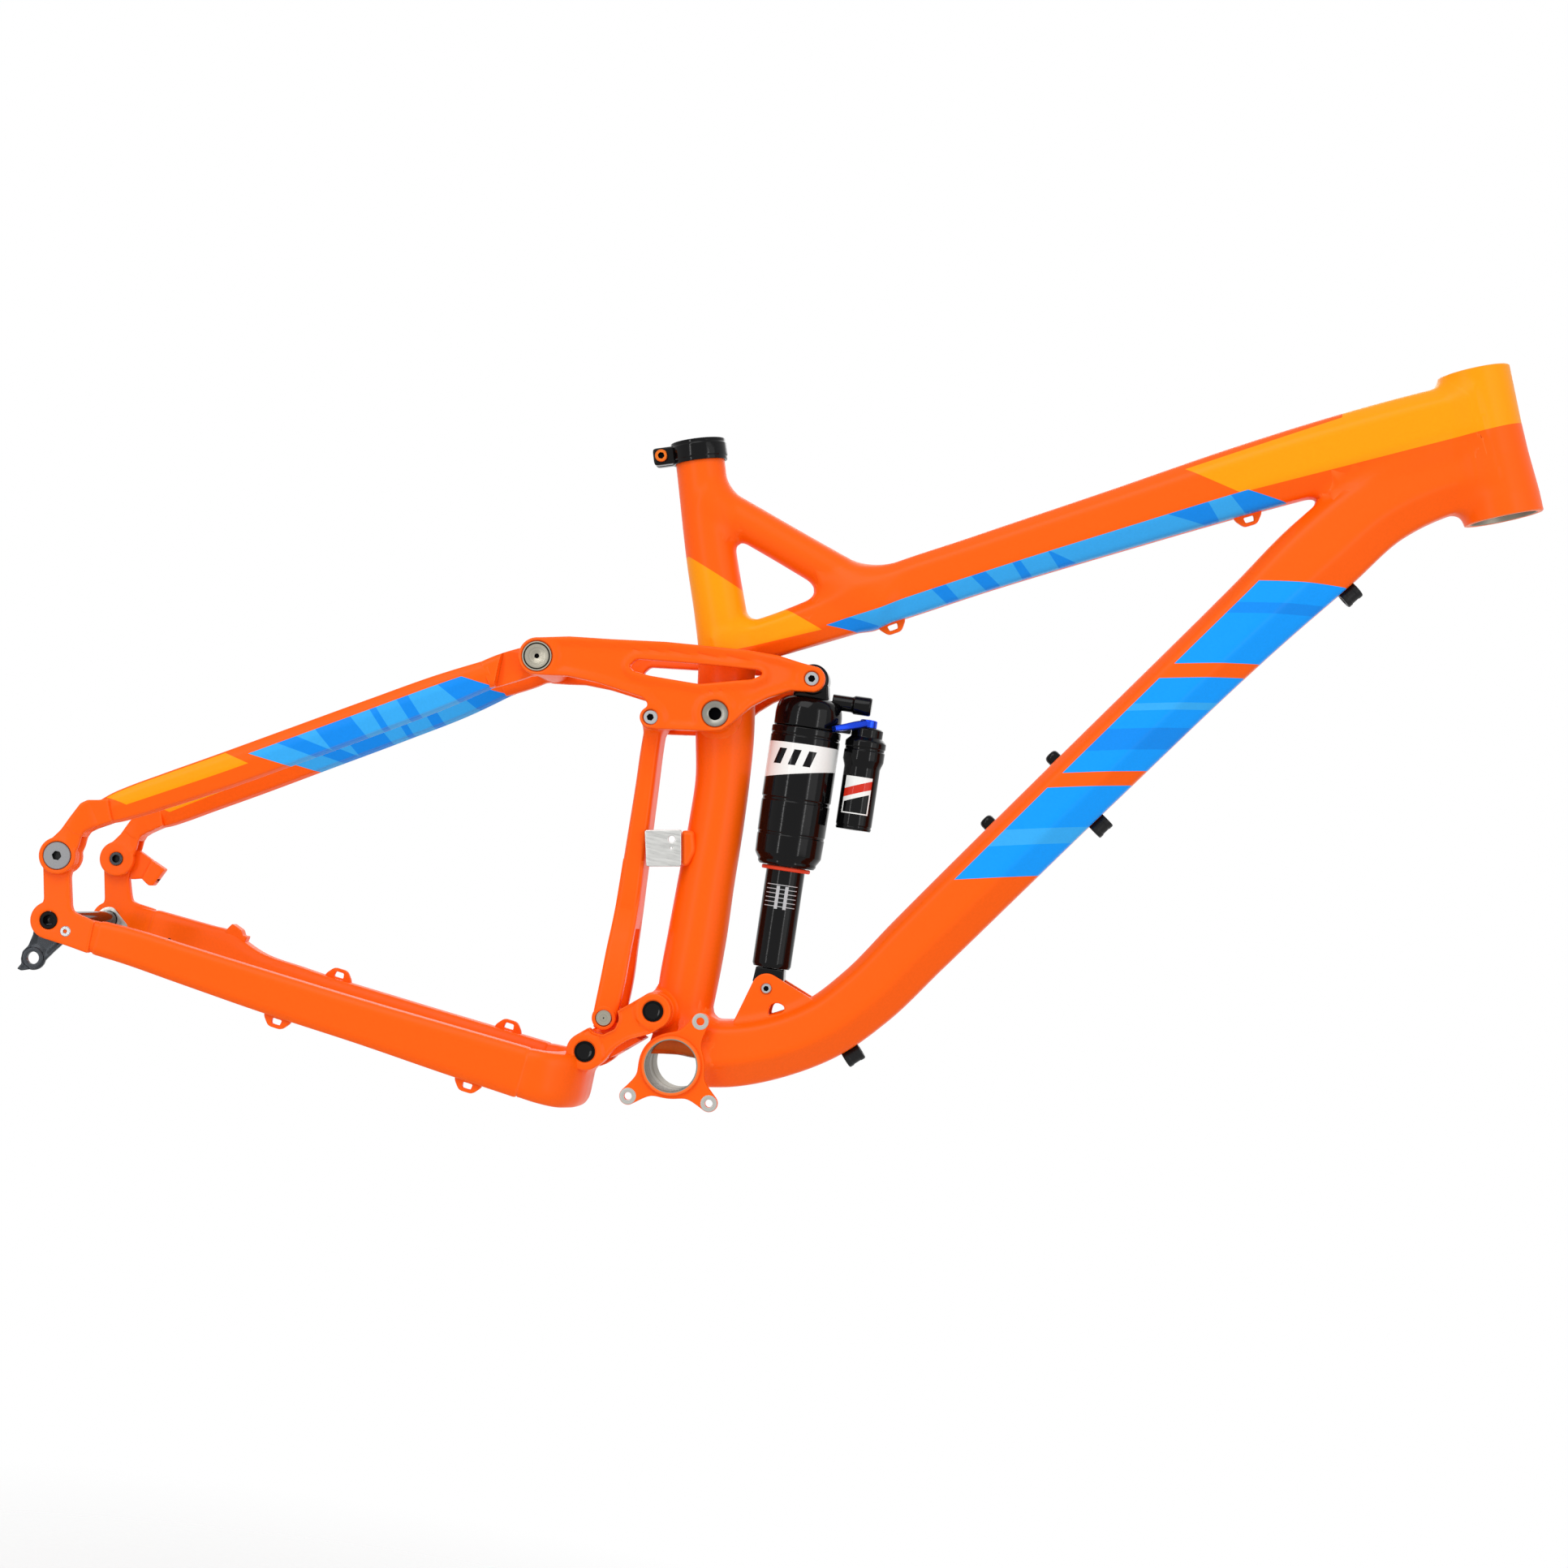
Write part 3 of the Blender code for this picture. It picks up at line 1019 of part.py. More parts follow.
carve(
    seatstay_clevis_right,
    prism("clevis_slot", slot_outline, -dropout_outer - CLEVIS_SLOT_GAP, CLEVIS_SLOT_GAP - HUB_HALF),
    rod("clevis_bore", DROPOUT_PIVOT, SMALL_BOLT_R + HUB_GAP, -clevis_reach, PAST - clevis_inner),
    rod("cap_room", DROPOUT_PIVOT, DROPOUT_CAP_R + HUB_GAP, -clevis_reach, -cap_floor),
    bar("stay_bar", right_seat_path, GAP, SEATSTAY_POWERS),
)
seatstay_clevis_left = mirrored(seatstay_clevis_right, "seatstay_clevis_left")
bolt_steps = [
    (DROPOUT_CAP_R, HEAD_SINK - clevis_outer), (DROPOUT_CAP_R, -cap_floor - GAP),
    (SMALL_BOLT_R, -cap_floor - GAP), (SMALL_BOLT_R, GAP - clevis_inner),
    (SMALL_HEAD_R, GAP - clevis_inner), (SMALL_HEAD_R, GAP + 1.3 - clevis_inner),
]
dropout_bolt_right = pin("dropout_bolt_right", DROPOUT_PIVOT, bolt_steps, SILVER)
dropout_bolt_left = mirrored(dropout_bolt_right, "dropout_bolt_left")

# Shock: everything is placed by the distance from the upper eye and the offset in front of its axis
shock_line = np.array([SHOCK_FOOT[0] - SHOCK_TOP[0], 0.0, SHOCK_FOOT[1] - SHOCK_TOP[1]])
shock_length = float(np.linalg.norm(shock_line))
shock_down = shock_line / shock_length
shock_ahead = np.array([-shock_down[2], 0.0, shock_down[0]])
shock_origin = np.array([SHOCK_TOP[0], 0.0, SHOCK_TOP[1]])


def shock_point(along, ahead, y=0.0):
    place = shock_origin + shock_down * along + shock_ahead * ahead
    return np.array([place[0], y, place[2]])


def shock_outline(points):
    return [(place[0], place[2]) for place in (shock_point(a, b) for a, b in points)]


dome = [(0.0, 12.5), (15.0, 12.5), (20.0, 17.0), (23.4, 25.0), (23.4, CAN_TOP - GAP), (0.0, CAN_TOP - GAP)]
shock_head = rod("shock_head", SHOCK_TOP, SHOCK_EYE_R, -SHOCK_EYE_HALF, SHOCK_EYE_HALF, ROUND_SIDES, BLACK)
neck = shock_outline([(0.0, -10.9), (16.0, -12.5), (16.0, 13.0), (0.0, 10.9)])
arm_end = RESERVOIR_OFFSET - RESERVOIR_CAP_R - GAP
reservoir_arm = shock_outline([(27.6, 12.0), (27.6, arm_end), (33.4, arm_end), (33.4, 12.0)])
join(
    shock_head,
    prism("neck", neck, -SHOCK_EYE_HALF, SHOCK_EYE_HALF),
    turned("dome", dome, shock_origin, shock_down, BLACK, ROUND_SIDES),
    prism("reservoir_arm", reservoir_arm, -7.0, 7.0),
)
carve(shock_head, rod("eye_way", SHOCK_TOP, SMALL_BOLT_R + HUB_GAP, -40.0, 40.0))
can_profile = [
    (CAN_R, CAN_TOP), (CAN_R, CAN_END - 6.5), (CAN_R - 3.5, CAN_END), (SHAFT_R + HUB_GAP, CAN_END),
    (SHAFT_R + HUB_GAP, CAN_END - 13.0), (CAN_BORE_R, CAN_END - 13.0), (CAN_BORE_R, CAN_TOP),
]
shock_air_can = turned("shock_air_can", can_profile, shock_origin, shock_down, BLACK, ROUND_SIDES)
ring_profile = [
    (RING_R, CAN_END + GAP), (RING_R, CAN_END + 3.2),
    (SHAFT_R + HUB_GAP, CAN_END + 3.2), (SHAFT_R + HUB_GAP, CAN_END + GAP),
]
shock_travel_ring = turned("shock_travel_ring", ring_profile, shock_origin, shock_down, RED, ROUND_SIDES)
reservoir_profile = [
    (0.0, 27.4), (RESERVOIR_CAP_R, 27.4), (RESERVOIR_CAP_R, 34.0), (RESERVOIR_COLLAR_R, 37.0),
    (RESERVOIR_COLLAR_R, 51.0), (RESERVOIR_R, 55.0), (RESERVOIR_R, 99.0), (0.0, 99.0),
]
reservoir_origin = shock_point(0.0, RESERVOIR_OFFSET)
shock_reservoir = turned("shock_reservoir", reservoir_profile, reservoir_origin, shock_down, BLACK, 24)
valve_profile = [(0.0, 15.4), (4.6, 15.4), (4.6, 29.0), (6.6, 29.8), (6.6, 42.5), (0.0, 42.5)]
shock_valve = turned("shock_valve", valve_profile, shock_point(12.6, 0.0), shock_ahead, BLACK, SMALL_SIDES)
carve(shock_head, turned("valve_way", [(0.0, 15.0), (4.9, 15.0), (4.9, 60.0), (0.0, 60.0)],
                         shock_point(12.6, 0.0), shock_ahead, BLACK, SMALL_SIDES))

# Compression lever: hub on top of the reservoir and a paddle that dips towards the camera side of the can
lever_profile = [(0.0, 21.6), (6.0, 21.6), (6.0, 27.1), (0.0, 27.1)]
lever_hub = turned("shock_lever", lever_profile, reservoir_origin, shock_down, BLUE, SMALL_SIDES)
paddle_rows = np.array([
    (*shock_point(23.6, RESERVOIR_OFFSET, 0.0), 3.6, 8.0),
    (*shock_point(25.0, RESERVOIR_OFFSET - 9.0, -8.0), 3.6, 7.0),
    (*shock_point(28.6, RESERVOIR_OFFSET - 16.0, -15.4), 3.6, 6.0),
    (*shock_point(31.6, RESERVOIR_OFFSET - 22.0, -21.0), 3.6, 6.0),
])
shock_lever = join(lever_hub, bar("paddle", paddle_rows, 0.0, (4.0, 4.0), 12))

shaft_profile = [
    (0.0, SHAFT_TOP), (SHAFT_R, SHAFT_TOP), (SHAFT_R, SHAFT_END - 1.0),
    (SHAFT_R - 1.0, SHAFT_END), (0.0, SHAFT_END),
]
shock_shaft = turned("shock_shaft", shaft_profile, shock_origin, shock_down, BLACK, ROUND_SIDES)
shock_lower_eye = rod("shock_lower_eye", SHOCK_FOOT, LOWER_EYE_R, -LOWER_EYE_HALF, LOWER_EYE_HALF, 24, BLACK)
eye_neck = shock_outline([
    (SHAFT_END + GAP, -9.8), (shock_length, -LOWER_EYE_R),
    (shock_length, LOWER_EYE_R), (SHAFT_END + GAP, 9.8),
])
join(shock_lower_eye, prism("eye_neck", eye_neck, -LOWER_EYE_HALF, LOWER_EYE_HALF))
carve(shock_lower_eye, rod("lower_eye_way", SHOCK_FOOT, SHOCK_BOLT_R + SHOCK_EYE_PLAY, -40.0, 40.0))

# Bodies: each group hangs on an empty at its joint
BODIES = {
    "front_triangle": (BB, [
        head_tube, top_tube, down_tube, seat_tube, seat_tube_brace, bb_shell, shock_mount_right,
        shock_mount_left, main_pivot_tube, rocker_pivot_tube, seat_clamp, seat_clamp_bolt,
        front_derailleur_mount, shock_lower_bolt, *top_guides, *cable_clips, *bottle_bolts,
    ]),
    "rocker": (ROCKER_PIVOT, [rocker_right, rocker_left, *rocker_hardware]),
    "strut_link": (STRUT_TOP, [strut, strut_lower_pin]),
    "lower_link_body": (MAIN_PIVOT, [lower_link, *link_axles]),
    "chainstays": (CHAINSTAY_PIVOT, [
        chainstay_right, chainstay_left, chainstay_yoke, dropout_right, dropout_left, derailleur_hanger,
        hanger_bolt, brake_post, *chainstay_guides,
    ]),
    "axle": (REAR_AXLE, [rear_axle]),
    "seatstays": (SEATSTAY_PIVOT, [
        seatstay_right, seatstay_left, seatstay_yoke, seatstay_clevis_right, seatstay_clevis_left,
        dropout_bolt_right, dropout_bolt_left,
    ]),
    "shock_body": (SHOCK_TOP, [shock_head, shock_air_can, shock_travel_ring, shock_reservoir, shock_valve]),
    "lever": ((reservoir_origin[0], reservoir_origin[2]), [shock_lever]),
    "shock_rod": (SHOCK_FOOT, [shock_shaft, shock_lower_eye]),
}
for body, (pivot, pieces) in BODIES.items():
    place = Vector((pivot[0] * MM, 0.0, pivot[1] * MM))
    holder = bpy.data.objects.new(body + "_joint", None)
    holder.location = place
    bpy.context.collection.objects.link(holder)
    for piece in pieces:
        piece.data.transform(Matrix.Translation(-place))
        piece.data.shade_smooth()
        piece.data.set_sharp_from_angle(angle=math.radians(35.0))
        piece.parent = holder
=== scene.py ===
import json
import math

import bmesh
import bpy
import numpy as np
from mathutils import Matrix, Vector
from mathutils.geometry import delaunay_2d_cdt

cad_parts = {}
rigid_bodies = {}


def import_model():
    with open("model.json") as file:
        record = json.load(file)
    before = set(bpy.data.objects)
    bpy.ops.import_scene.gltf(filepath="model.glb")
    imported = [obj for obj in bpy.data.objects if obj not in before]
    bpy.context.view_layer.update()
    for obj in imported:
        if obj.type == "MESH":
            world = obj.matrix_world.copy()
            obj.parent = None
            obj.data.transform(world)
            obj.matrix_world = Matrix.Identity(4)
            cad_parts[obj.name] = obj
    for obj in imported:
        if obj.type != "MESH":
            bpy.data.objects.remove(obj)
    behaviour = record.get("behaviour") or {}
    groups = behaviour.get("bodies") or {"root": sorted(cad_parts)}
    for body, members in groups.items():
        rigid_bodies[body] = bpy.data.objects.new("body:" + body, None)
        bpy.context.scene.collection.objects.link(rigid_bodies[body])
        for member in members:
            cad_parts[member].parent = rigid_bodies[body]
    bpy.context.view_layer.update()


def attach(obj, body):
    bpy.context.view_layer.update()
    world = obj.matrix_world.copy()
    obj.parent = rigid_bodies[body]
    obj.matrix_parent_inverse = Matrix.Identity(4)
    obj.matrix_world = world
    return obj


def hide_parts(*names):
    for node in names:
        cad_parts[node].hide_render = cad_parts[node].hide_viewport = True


for leftover in list(bpy.data.objects):
    bpy.data.objects.remove(leftover, do_unlink=True)
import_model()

# Head tube: a tapered alloy tube, wider below for the larger headset bearing, turned and then welded to the
# top and down tubes. It is powder-coated outside, and its ends and bore are left as bare machined metal.
HEAD_LOW = np.array([483.0, 0.0, 485.6])
HEAD_HIGH = np.array([442.7, 0.0, 581.1])
HEAD_RADII = (27.4, 24.7)
HEAD_BORE = 22.4


def linear(code):
    """sRGB hex to linear light: each channel through the sRGB curve."""
    channel = np.array([int(code[i:i + 2], 16) for i in (1, 3, 5)]) / 255.0
    value = np.where(channel <= 0.04045, channel / 12.92, ((channel + 0.055) / 1.055) ** 2.4)
    return (*map(float, value), 1.0)


def add(tree, kind, settings=None, links=None):
    """One shader node, with its settings by input or attribute and the sockets that feed its inputs."""
    node = tree.nodes.new("ShaderNode" + kind)
    for key, value in (settings or {}).items():
        if isinstance(key, int) or key in node.inputs:
            node.inputs[key].default_value = value
        else:
            setattr(node, key, value)
    for key, source in (links or {}).items():
        tree.links.new(node.inputs[key], source)
    return node


def finish(name, base, patches=(), metallic=0.0, rough=0.4, vary=0.08, grain=1.0, bump=0.06, coat=0.0,
           specular=0.5, source="Object", stretch=(1.0, 1.0, 1.0), worn_edge_and_highlight=None):
    """A surface from its colour, patches and grain. A patch is a colour and the directed edges that bound
    it, each a coordinate name and two points in mm: what lies to the left of every edge takes the colour.
    The grain is noise of that size in mm, which shifts the colour and the roughness a little and lifts the
    surface as a bump."""
    material = bpy.data.materials.new(name)
    material.use_nodes = True
    tree = material.node_tree
    shader = tree.nodes["Principled BSDF"]
    place = add(tree, "TexCoord")
    scaled = add(tree, "Mapping", {"Scale": stretch}, {"Vector": place.outputs[source]})
    noise = add(tree, "TexNoise", {"Scale": 1000.0 / grain, "Detail": 3.0}, {"Vector": scaled.outputs[0]})
    colour = add(tree, "RGB").outputs[0]
    colour.default_value = linear(base)
    for code, edges in patches:
        mask = None
        for coordinate, (x0, z0), (x1, z1) in edges:
            normal = (z0 - z1, 0.0, x1 - x0) if coordinate == "Object" else (z0 - z1, x1 - x0, 0.0)
            limit = (normal[0] * x0 + (x1 - x0) * z0) * 0.001
            side = add(tree, "VectorMath", {"operation": "DOT_PRODUCT", 1: normal},
                       {0: place.outputs[coordinate]})
            left = add(tree, "Math", {"operation": "GREATER_THAN", 1: limit}, {0: side.outputs["Value"]})
            if mask is not None:
                left = add(tree, "Math", {"operation": "MULTIPLY"}, {0: left.outputs[0], 1: mask})
            mask = left.outputs[0]
        layer = add(tree, "Mix", {"data_type": "RGBA", 7: linear(code)}, {0: mask, 6: colour})
        colour = layer.outputs[2]
    # Paler colour at sharp edges, found by pointiness: partly wear, partly a painted highlight.
    if worn_edge_and_highlight:
        shape = add(tree, "NewGeometry")
        rim = add(tree, "MapRange", {1: 0.52, 2: 0.62, 4: 0.35}, {0: shape.outputs["Pointiness"]})
        colour = add(tree, "Mix", {"data_type": "RGBA", 7: linear(worn_edge_and_highlight)},
                     {0: rim.outputs[0], 6: colour}).outputs[2]
    shade = add(tree, "MapRange", {1: 0.3, 2: 0.7, 3: 1.0 - vary, 4: 1.0}, {0: noise.outputs["Fac"]})
    tinted = add(tree, "Mix", {"data_type": "RGBA", "blend_type": "MULTIPLY", 0: 1.0},
                 {6: colour, 7: shade.outputs[0]})
    tree.links.new(shader.inputs["Base Color"], tinted.outputs[2])
    dull = add(tree, "MapRange", {1: 0.3, 2: 0.7, 3: rough - vary, 4: rough + vary},
               {0: noise.outputs["Fac"]})
    tree.links.new(shader.inputs["Roughness"], dull.outputs[0])
    relief = add(tree, "Bump", {"Strength": bump, "Distance": 0.0003}, {"Height": noise.outputs["Fac"]})
    tree.links.new(shader.inputs["Normal"], relief.outputs[0])
    shader.inputs["Metallic"].default_value = metallic
    shader.inputs["Specular IOR Level"].default_value = specular
    shader.inputs["Coat Weight"].default_value = coat
    shader.inputs["Coat Roughness"].default_value = 0.06
    return material


def around(coordinate, points):
    """The edges of a convex patch whose corners run anticlockwise."""
    return [(coordinate, a, b) for a, b in zip(points, points[1:] + points[:1])]


def piece(name, points, faces, material, body, nodes=(), uv=None, sharp=40.0):
    """A mesh from points in mm and faces, doubles merged and normals turned out, riding on its body."""
    mesh = bpy.data.meshes.new(name)
    mesh.from_pydata((np.asarray(points, float) * 0.001).tolist(), [], faces)
    if uv is not None:
        corner = np.zeros(len(mesh.loops), np.int64)
        mesh.loops.foreach_get("vertex_index", corner)
        layer = mesh.uv_layers.new(name="surface")
        layer.data.foreach_set("uv", (np.asarray(uv, float)[corner] * 0.001).ravel())
    work = bmesh.new()
    work.from_mesh(mesh)
    bmesh.ops.remove_doubles(work, verts=work.verts, dist=2e-6)
    bmesh.ops.recalc_face_normals(work, faces=work.faces)
    work.to_mesh(mesh)
    work.free()
    mesh.shade_smooth()
    mesh.set_sharp_from_angle(angle=math.radians(sharp))
    mesh.materials.append(material)
    made = bpy.data.objects.new(name, mesh)
    bpy.context.scene.collection.objects.link(made)
    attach(made, body)
    if nodes:
        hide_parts(*nodes)
    return made


def grid_faces(rows, columns, closed=False):
    """Quads of a grid that closes round its columns, and round its rows too if asked; open ends get one
    face."""
    index = np.arange(rows * columns).reshape(rows, columns)
    if closed:
        index = np.vstack([index, index[:1]])
    across = np.roll(index, -1, axis=1)
    quads = np.stack([index[:-1], across[:-1], across[1:], index[1:]], -1).reshape(-1, 4).tolist()
    return quads if closed else quads + [index[0].tolist(), index[-1].tolist()]


def eased(line, radius, closed=False, steps=5):
    """Rounds a polyline: each corner becomes a parabola that starts and ends on the two sides that meet
    there."""
    line = np.asarray(line, float)

    def towards(other):
        way = other - line
        length = np.linalg.norm(way, axis=1, keepdims=True)
        return line + way / np.maximum(length, 1e-9) * np.minimum(radius, 0.48 * length)

    start, stop = towards(np.roll(line, 1, axis=0)), towards(np.roll(line, -1, axis=0))
    t = np.linspace(0.0, 1.0, steps)[None, :, None]
    bent = (1 - t) ** 2 * start[:, None] + 2 * t * (1 - t) * line[:, None] + t ** 2 * stop[:, None]
    if closed:
        return bent.reshape(-1, 2)
    return np.vstack([line[:1], bent[1:-1].reshape(-1, 2), line[-1:]])


def spun(profile, origin, axis, count=64, closed=False, hexagon=(), sunk=()):
    """A profile of (radius, distance along the axis) turned round the axis. Rows of the profile named in
    hexagon follow a hexagon of that radius across its flats. Returns points, faces and a map of (radius,
    distance), in which the hexagon rows and those named in sunk have radius 0, the mark where a material
    paints the shade of a recess."""
    profile = np.asarray(profile, float)
    axis = np.asarray(axis, float) / np.linalg.norm(axis)
    first = np.cross(axis, (0.0, 1.0, 0.0) if abs(axis[1]) < 0.9 else (0.0, 0.0, 1.0))
    first /= np.linalg.norm(first)
    turn = np.linspace(0.0, 2 * np.pi, count, endpoint=False)
    spokes = np.cos(turn)[:, None] * first + np.sin(turn)[:, None] * np.cross(axis, first)
    flats = 1.0 / np.cos((turn % (np.pi / 3)) - np.pi / 6)
    reach = np.repeat(profile[:, :1], count, axis=1)
    if len(hexagon):
        reach[list(hexagon)] *= flats
    points = np.asarray(origin, float) + reach[..., None] * spokes + profile[:, 1][:, None, None] * axis
    map_uv = np.repeat(profile[:, None], count, axis=1)
    map_uv[[*hexagon, *sunk], :, 0] = 0.0
    return points.reshape(-1, 3), grid_faces(len(profile), count, closed), map_uv.reshape(-1, 2)


# Satin powder coat on alloy: deep orange under a soft sheen, faint orange peel, and a little paler at
# sharp edges, partly wear and partly a painted highlight.
# The amber and blue areas are masked off and sprayed in the same coat.
ORANGE, AMBER = "#FF6006", "#FF9C00"
SKY, AZURE = "#36ABF4", "#0E8CF0"
PAINT = dict(rough=0.36, vary=0.05, grain=1.6, bump=0.05, specular=0.14, worn_edge_and_highlight="#FF9A58")
front_amber = [
    (AMBER, around("Object", [(262.0, 474.5), (302.3, 465.5), (540.0, 579.9), (540.0, 633.2)])),
    (AMBER, around("Object", [(359.9, 493.2), (540.0, 579.9), (540.0, 700.0), (359.9, 700.0)])),
]
orange_coat = finish("satin_orange_powder_coat", ORANGE, **PAINT)
head_coat = finish("satin_coat_head_tube", ORANGE, front_amber, **PAINT)
# Bare machined aluminium: pale grey, with fine lathe rings that run round each turned face, and painted
# shade in recesses: sockets and bores are coloured near black.
# Painted shade: where the map's radius is under 0.5 mm, in hex sockets and bores, the colour is near black.
PAINTED_RECESS_SHADE = [("#0C0C0D", [("UV", (0.5, -1000.0), (0.5, 1000.0))])]
turned_alloy = finish("turned_aluminium", "#B9B8B2", PAINTED_RECESS_SHADE, metallic=1.0, rough=0.3, vary=0.1, grain=0.5,
                      bump=0.12,
                      source="UV")

head_axis = HEAD_HIGH - HEAD_LOW
head_length = float(np.linalg.norm(head_axis))
outer = [(HEAD_RADII[0], 0.0), (HEAD_RADII[0] - 0.2, 14.0), (25.3, 42.0), (HEAD_RADII[1], 65.0),
         (HEAD_RADII[1], head_length)]
wall = np.linspace(0.0, 1.0, 140)[1:-1]
reach = np.interp(wall * head_length, *zip(*[(a, r) for r, a in outer]))
shell = np.vstack([[(HEAD_RADII[0] - 0.7, 0.0)], [(HEAD_RADII[0], 0.7)],
                   np.column_stack([reach, wall * head_length]),
                   [(HEAD_RADII[1] - 0.7, head_length)], [(HEAD_BORE + 1.0, head_length)],
                   [(HEAD_BORE + 1.0, 0.0)]])
head_points, head_faces, head_uv = spun(shell, HEAD_LOW, head_axis, 128, True)
sleeve = eased([(HEAD_BORE + 1.4, 0.25), (HEAD_BORE + 1.4, head_length - 0.25),
                (HEAD_BORE, head_length - 0.25),
                (HEAD_BORE - 0.4, head_length - 12.0), (HEAD_BORE - 2.0, head_length - 13.0),
                (HEAD_BORE - 2.0, 13.0),
                (HEAD_BORE - 0.4, 12.0), (HEAD_BORE, 0.25)], 0.3, True)
points, faces, uv = spun(sleeve, HEAD_LOW, head_axis, 96, True)
# Reamed aluminium: duller than a turned face, because the reamer leaves it rough, and greyer, partly as
# painted shade inside the bores.
reamed_and_shaded_alloy = finish("reamed_aluminium_with_bore_shade", "#979084", metallic=0.9, rough=0.46, vary=0.1, grain=0.6, bump=0.1,
                      source="UV")
piece("head_tube_bore", points, faces, reamed_and_shaded_alloy, "front_triangle", uv=uv)

# Top tube: hydroformed alloy, slim at the seat tube and deep at the head tube, with flat sides, a rounded
# top and a bevel along its lower edge that carries a blue band. It is welded at both ends and the welds are
# dressed smooth.
TOP_TUBE = [
    (-28.0, 0, 288.2, 28.5, 30.0), (8.5, 0, 307.4, 29.0, 31.0), (42.9, 0, 327.8, 33.0, 32.0),
    (72.7, 0, 346.4, 38.0, 34.0), (137.6, 0, 384.0, 39.3, 35.0), (225.0, 0, 432.8, 42.7, 38.0),
    (301.1, 0, 475.0, 47.2, 41.0), (355.1, 0, 503.3, 50.0, 44.0), (401.8, 0, 526.2, 52.0, 46.0),
    (448.5, 0, 548.6, 52.0, 46.0),
]
TOP_SECTION = [(0.0, 1.0), (0.55, 1.0), (0.97, 0.62), (1.0, -0.33), (0.58, -0.97), (0.0, -1.0)]
SEAT_TUBE = [
    (-1.0, 0, 5.0, 35.0, 38.0), (-1.8, 0, 22.0, 37.5, 39.0), (-3.2, 0, 55.0, 41.0, 41.0),
    (-4.0, 0, 90.0, 41.2, 41.0), (-5.6, 0, 128.0, 39.6, 39.6), (-7.0, 0, 170.0, 38.4, 38.6),
    (-9.0, 0, 200.0, 38.0, 38.6), (-14.0, 0, 232.0, 41.0, 40.0), (-19.5, 0, 262.0, 40.5, 40.0),
    (-25.0, 0, 288.0, 38.8, 38.4), (-34.3, 0, 313.7, 36.6, 36.6), (-46.8, 0, 346.3, 35.6, 35.6),
    (-70.6, 0, 416.2, 34.3, 34.3), (-74.6, 0, 428.0, 34.3, 34.3),
]


def run(rows, count, ends=0.0):
    """A smooth line through table rows: cubic Hermite pieces whose slopes are the neighbouring chords,
    weighted.
    The share ends of the steps follows a cosine, which sets them closer at both ends, where the welds
    are."""
    rows = np.asarray(rows, float)
    chord = np.linalg.norm(np.diff(rows[:, :3], axis=0), axis=1)
    knots = np.concatenate([[0.0], np.cumsum(chord)])
    slope = np.diff(rows, axis=0) / chord[:, None]
    weight = (chord[1:] / (chord[:-1] + chord[1:]))[:, None]
    tangent = np.vstack([slope[:1], slope[:-1] * weight + slope[1:] * (1 - weight), slope[-1:]])
    even = np.linspace(0.0, 1.0, count)
    s = knots[-1] * ((1.0 - ends) * even + ends * (1.0 - np.cos(np.pi * even)) / 2)
    i = np.clip(np.searchsorted(knots, s, "right") - 1, 0, len(chord) - 1)
    t, c = ((s - knots[i]) / chord[i])[:, None], chord[i][:, None]
    return ((2 * t ** 3 - 3 * t ** 2 + 1) * rows[i] + (t ** 3 - 2 * t ** 2 + t) * c * tangent[i]
            + (3 * t ** 2 - 2 * t ** 3) * rows[i + 1] + (t ** 3 - t ** 2) * c * tangent[i + 1])


def rails(rows):
    """Directions at each station of a line: along it, across it and up."""
    along = np.gradient(rows[:, :3], axis=0)
    along /= np.linalg.norm(along, axis=1, keepdims=True)
    across = np.array([0.0, 1.0, 0.0]) - along * along[:, 1:2]
    across /= np.linalg.norm(across, axis=1, keepdims=True)
    return along, across, np.cross(along, across)


def section(corners, count, soft):
    """A closed outline in half sizes: the corners and their mirror image, stepped evenly, with every wave
    of the outline damped by a Gaussian of width soft, a share of its length, so that the corners round
    off."""
    half = np.asarray(corners, float)
    full = np.vstack([half, half[-2:0:-1] * (-1.0, 1.0), half[:1]])
    reach = np.concatenate([[0.0], np.cumsum(np.linalg.norm(np.diff(full, axis=0), axis=1))])
    step = np.linspace(0.0, reach[-1], count, endpoint=False)
    loop = np.column_stack([np.interp(step, reach, full[:, k]) for k in (0, 1)])
    wave = np.fft.fftfreq(count, 1.0 / count)[:, None]
    loop = np.fft.ifft(np.fft.fft(loop, axis=0) * np.exp(-2.0 * (np.pi * wave * soft) ** 2), axis=0).real
    return loop / np.abs(loop).max(axis=0)


def skin(rows, loop):
    """An outline carried along a line: centre + across * half width * outline + up * half height * outline.
    Returns the grid of points and a map of (distance along, share of the half height in thousandths)."""
    along, across, up = rails(rows)
    sides = loop[..., 0] * rows[:, 4:5] / 2
    rises = loop[..., 1] * rows[:, 3:4] / 2
    points = rows[:, None, :3] + sides[..., None] * across[:, None] + rises[..., None] * up[:, None]
    far = np.concatenate([[0.0], np.cumsum(np.linalg.norm(np.diff(rows[:, :3], axis=0), axis=1))])
    return points, np.stack(np.broadcast_arrays(far[:, None], loop[..., 1] * 1000.0), -1).reshape(-1, 2)


def outward(points):
    """Unit normals of a tube's grid: the way along crossed with the way round, turned away from the middle
    line."""
    normal = np.cross(np.gradient(points, axis=0), np.roll(points, -1, axis=1) - np.roll(points, 1, axis=1))
    normal /= np.maximum(np.linalg.norm(normal, axis=2, keepdims=True), 1e-9)
    middle = points.mean(axis=1, keepdims=True)
    return normal * np.sign((normal * (points - middle)).sum(axis=(1, 2)))[:, None, None]


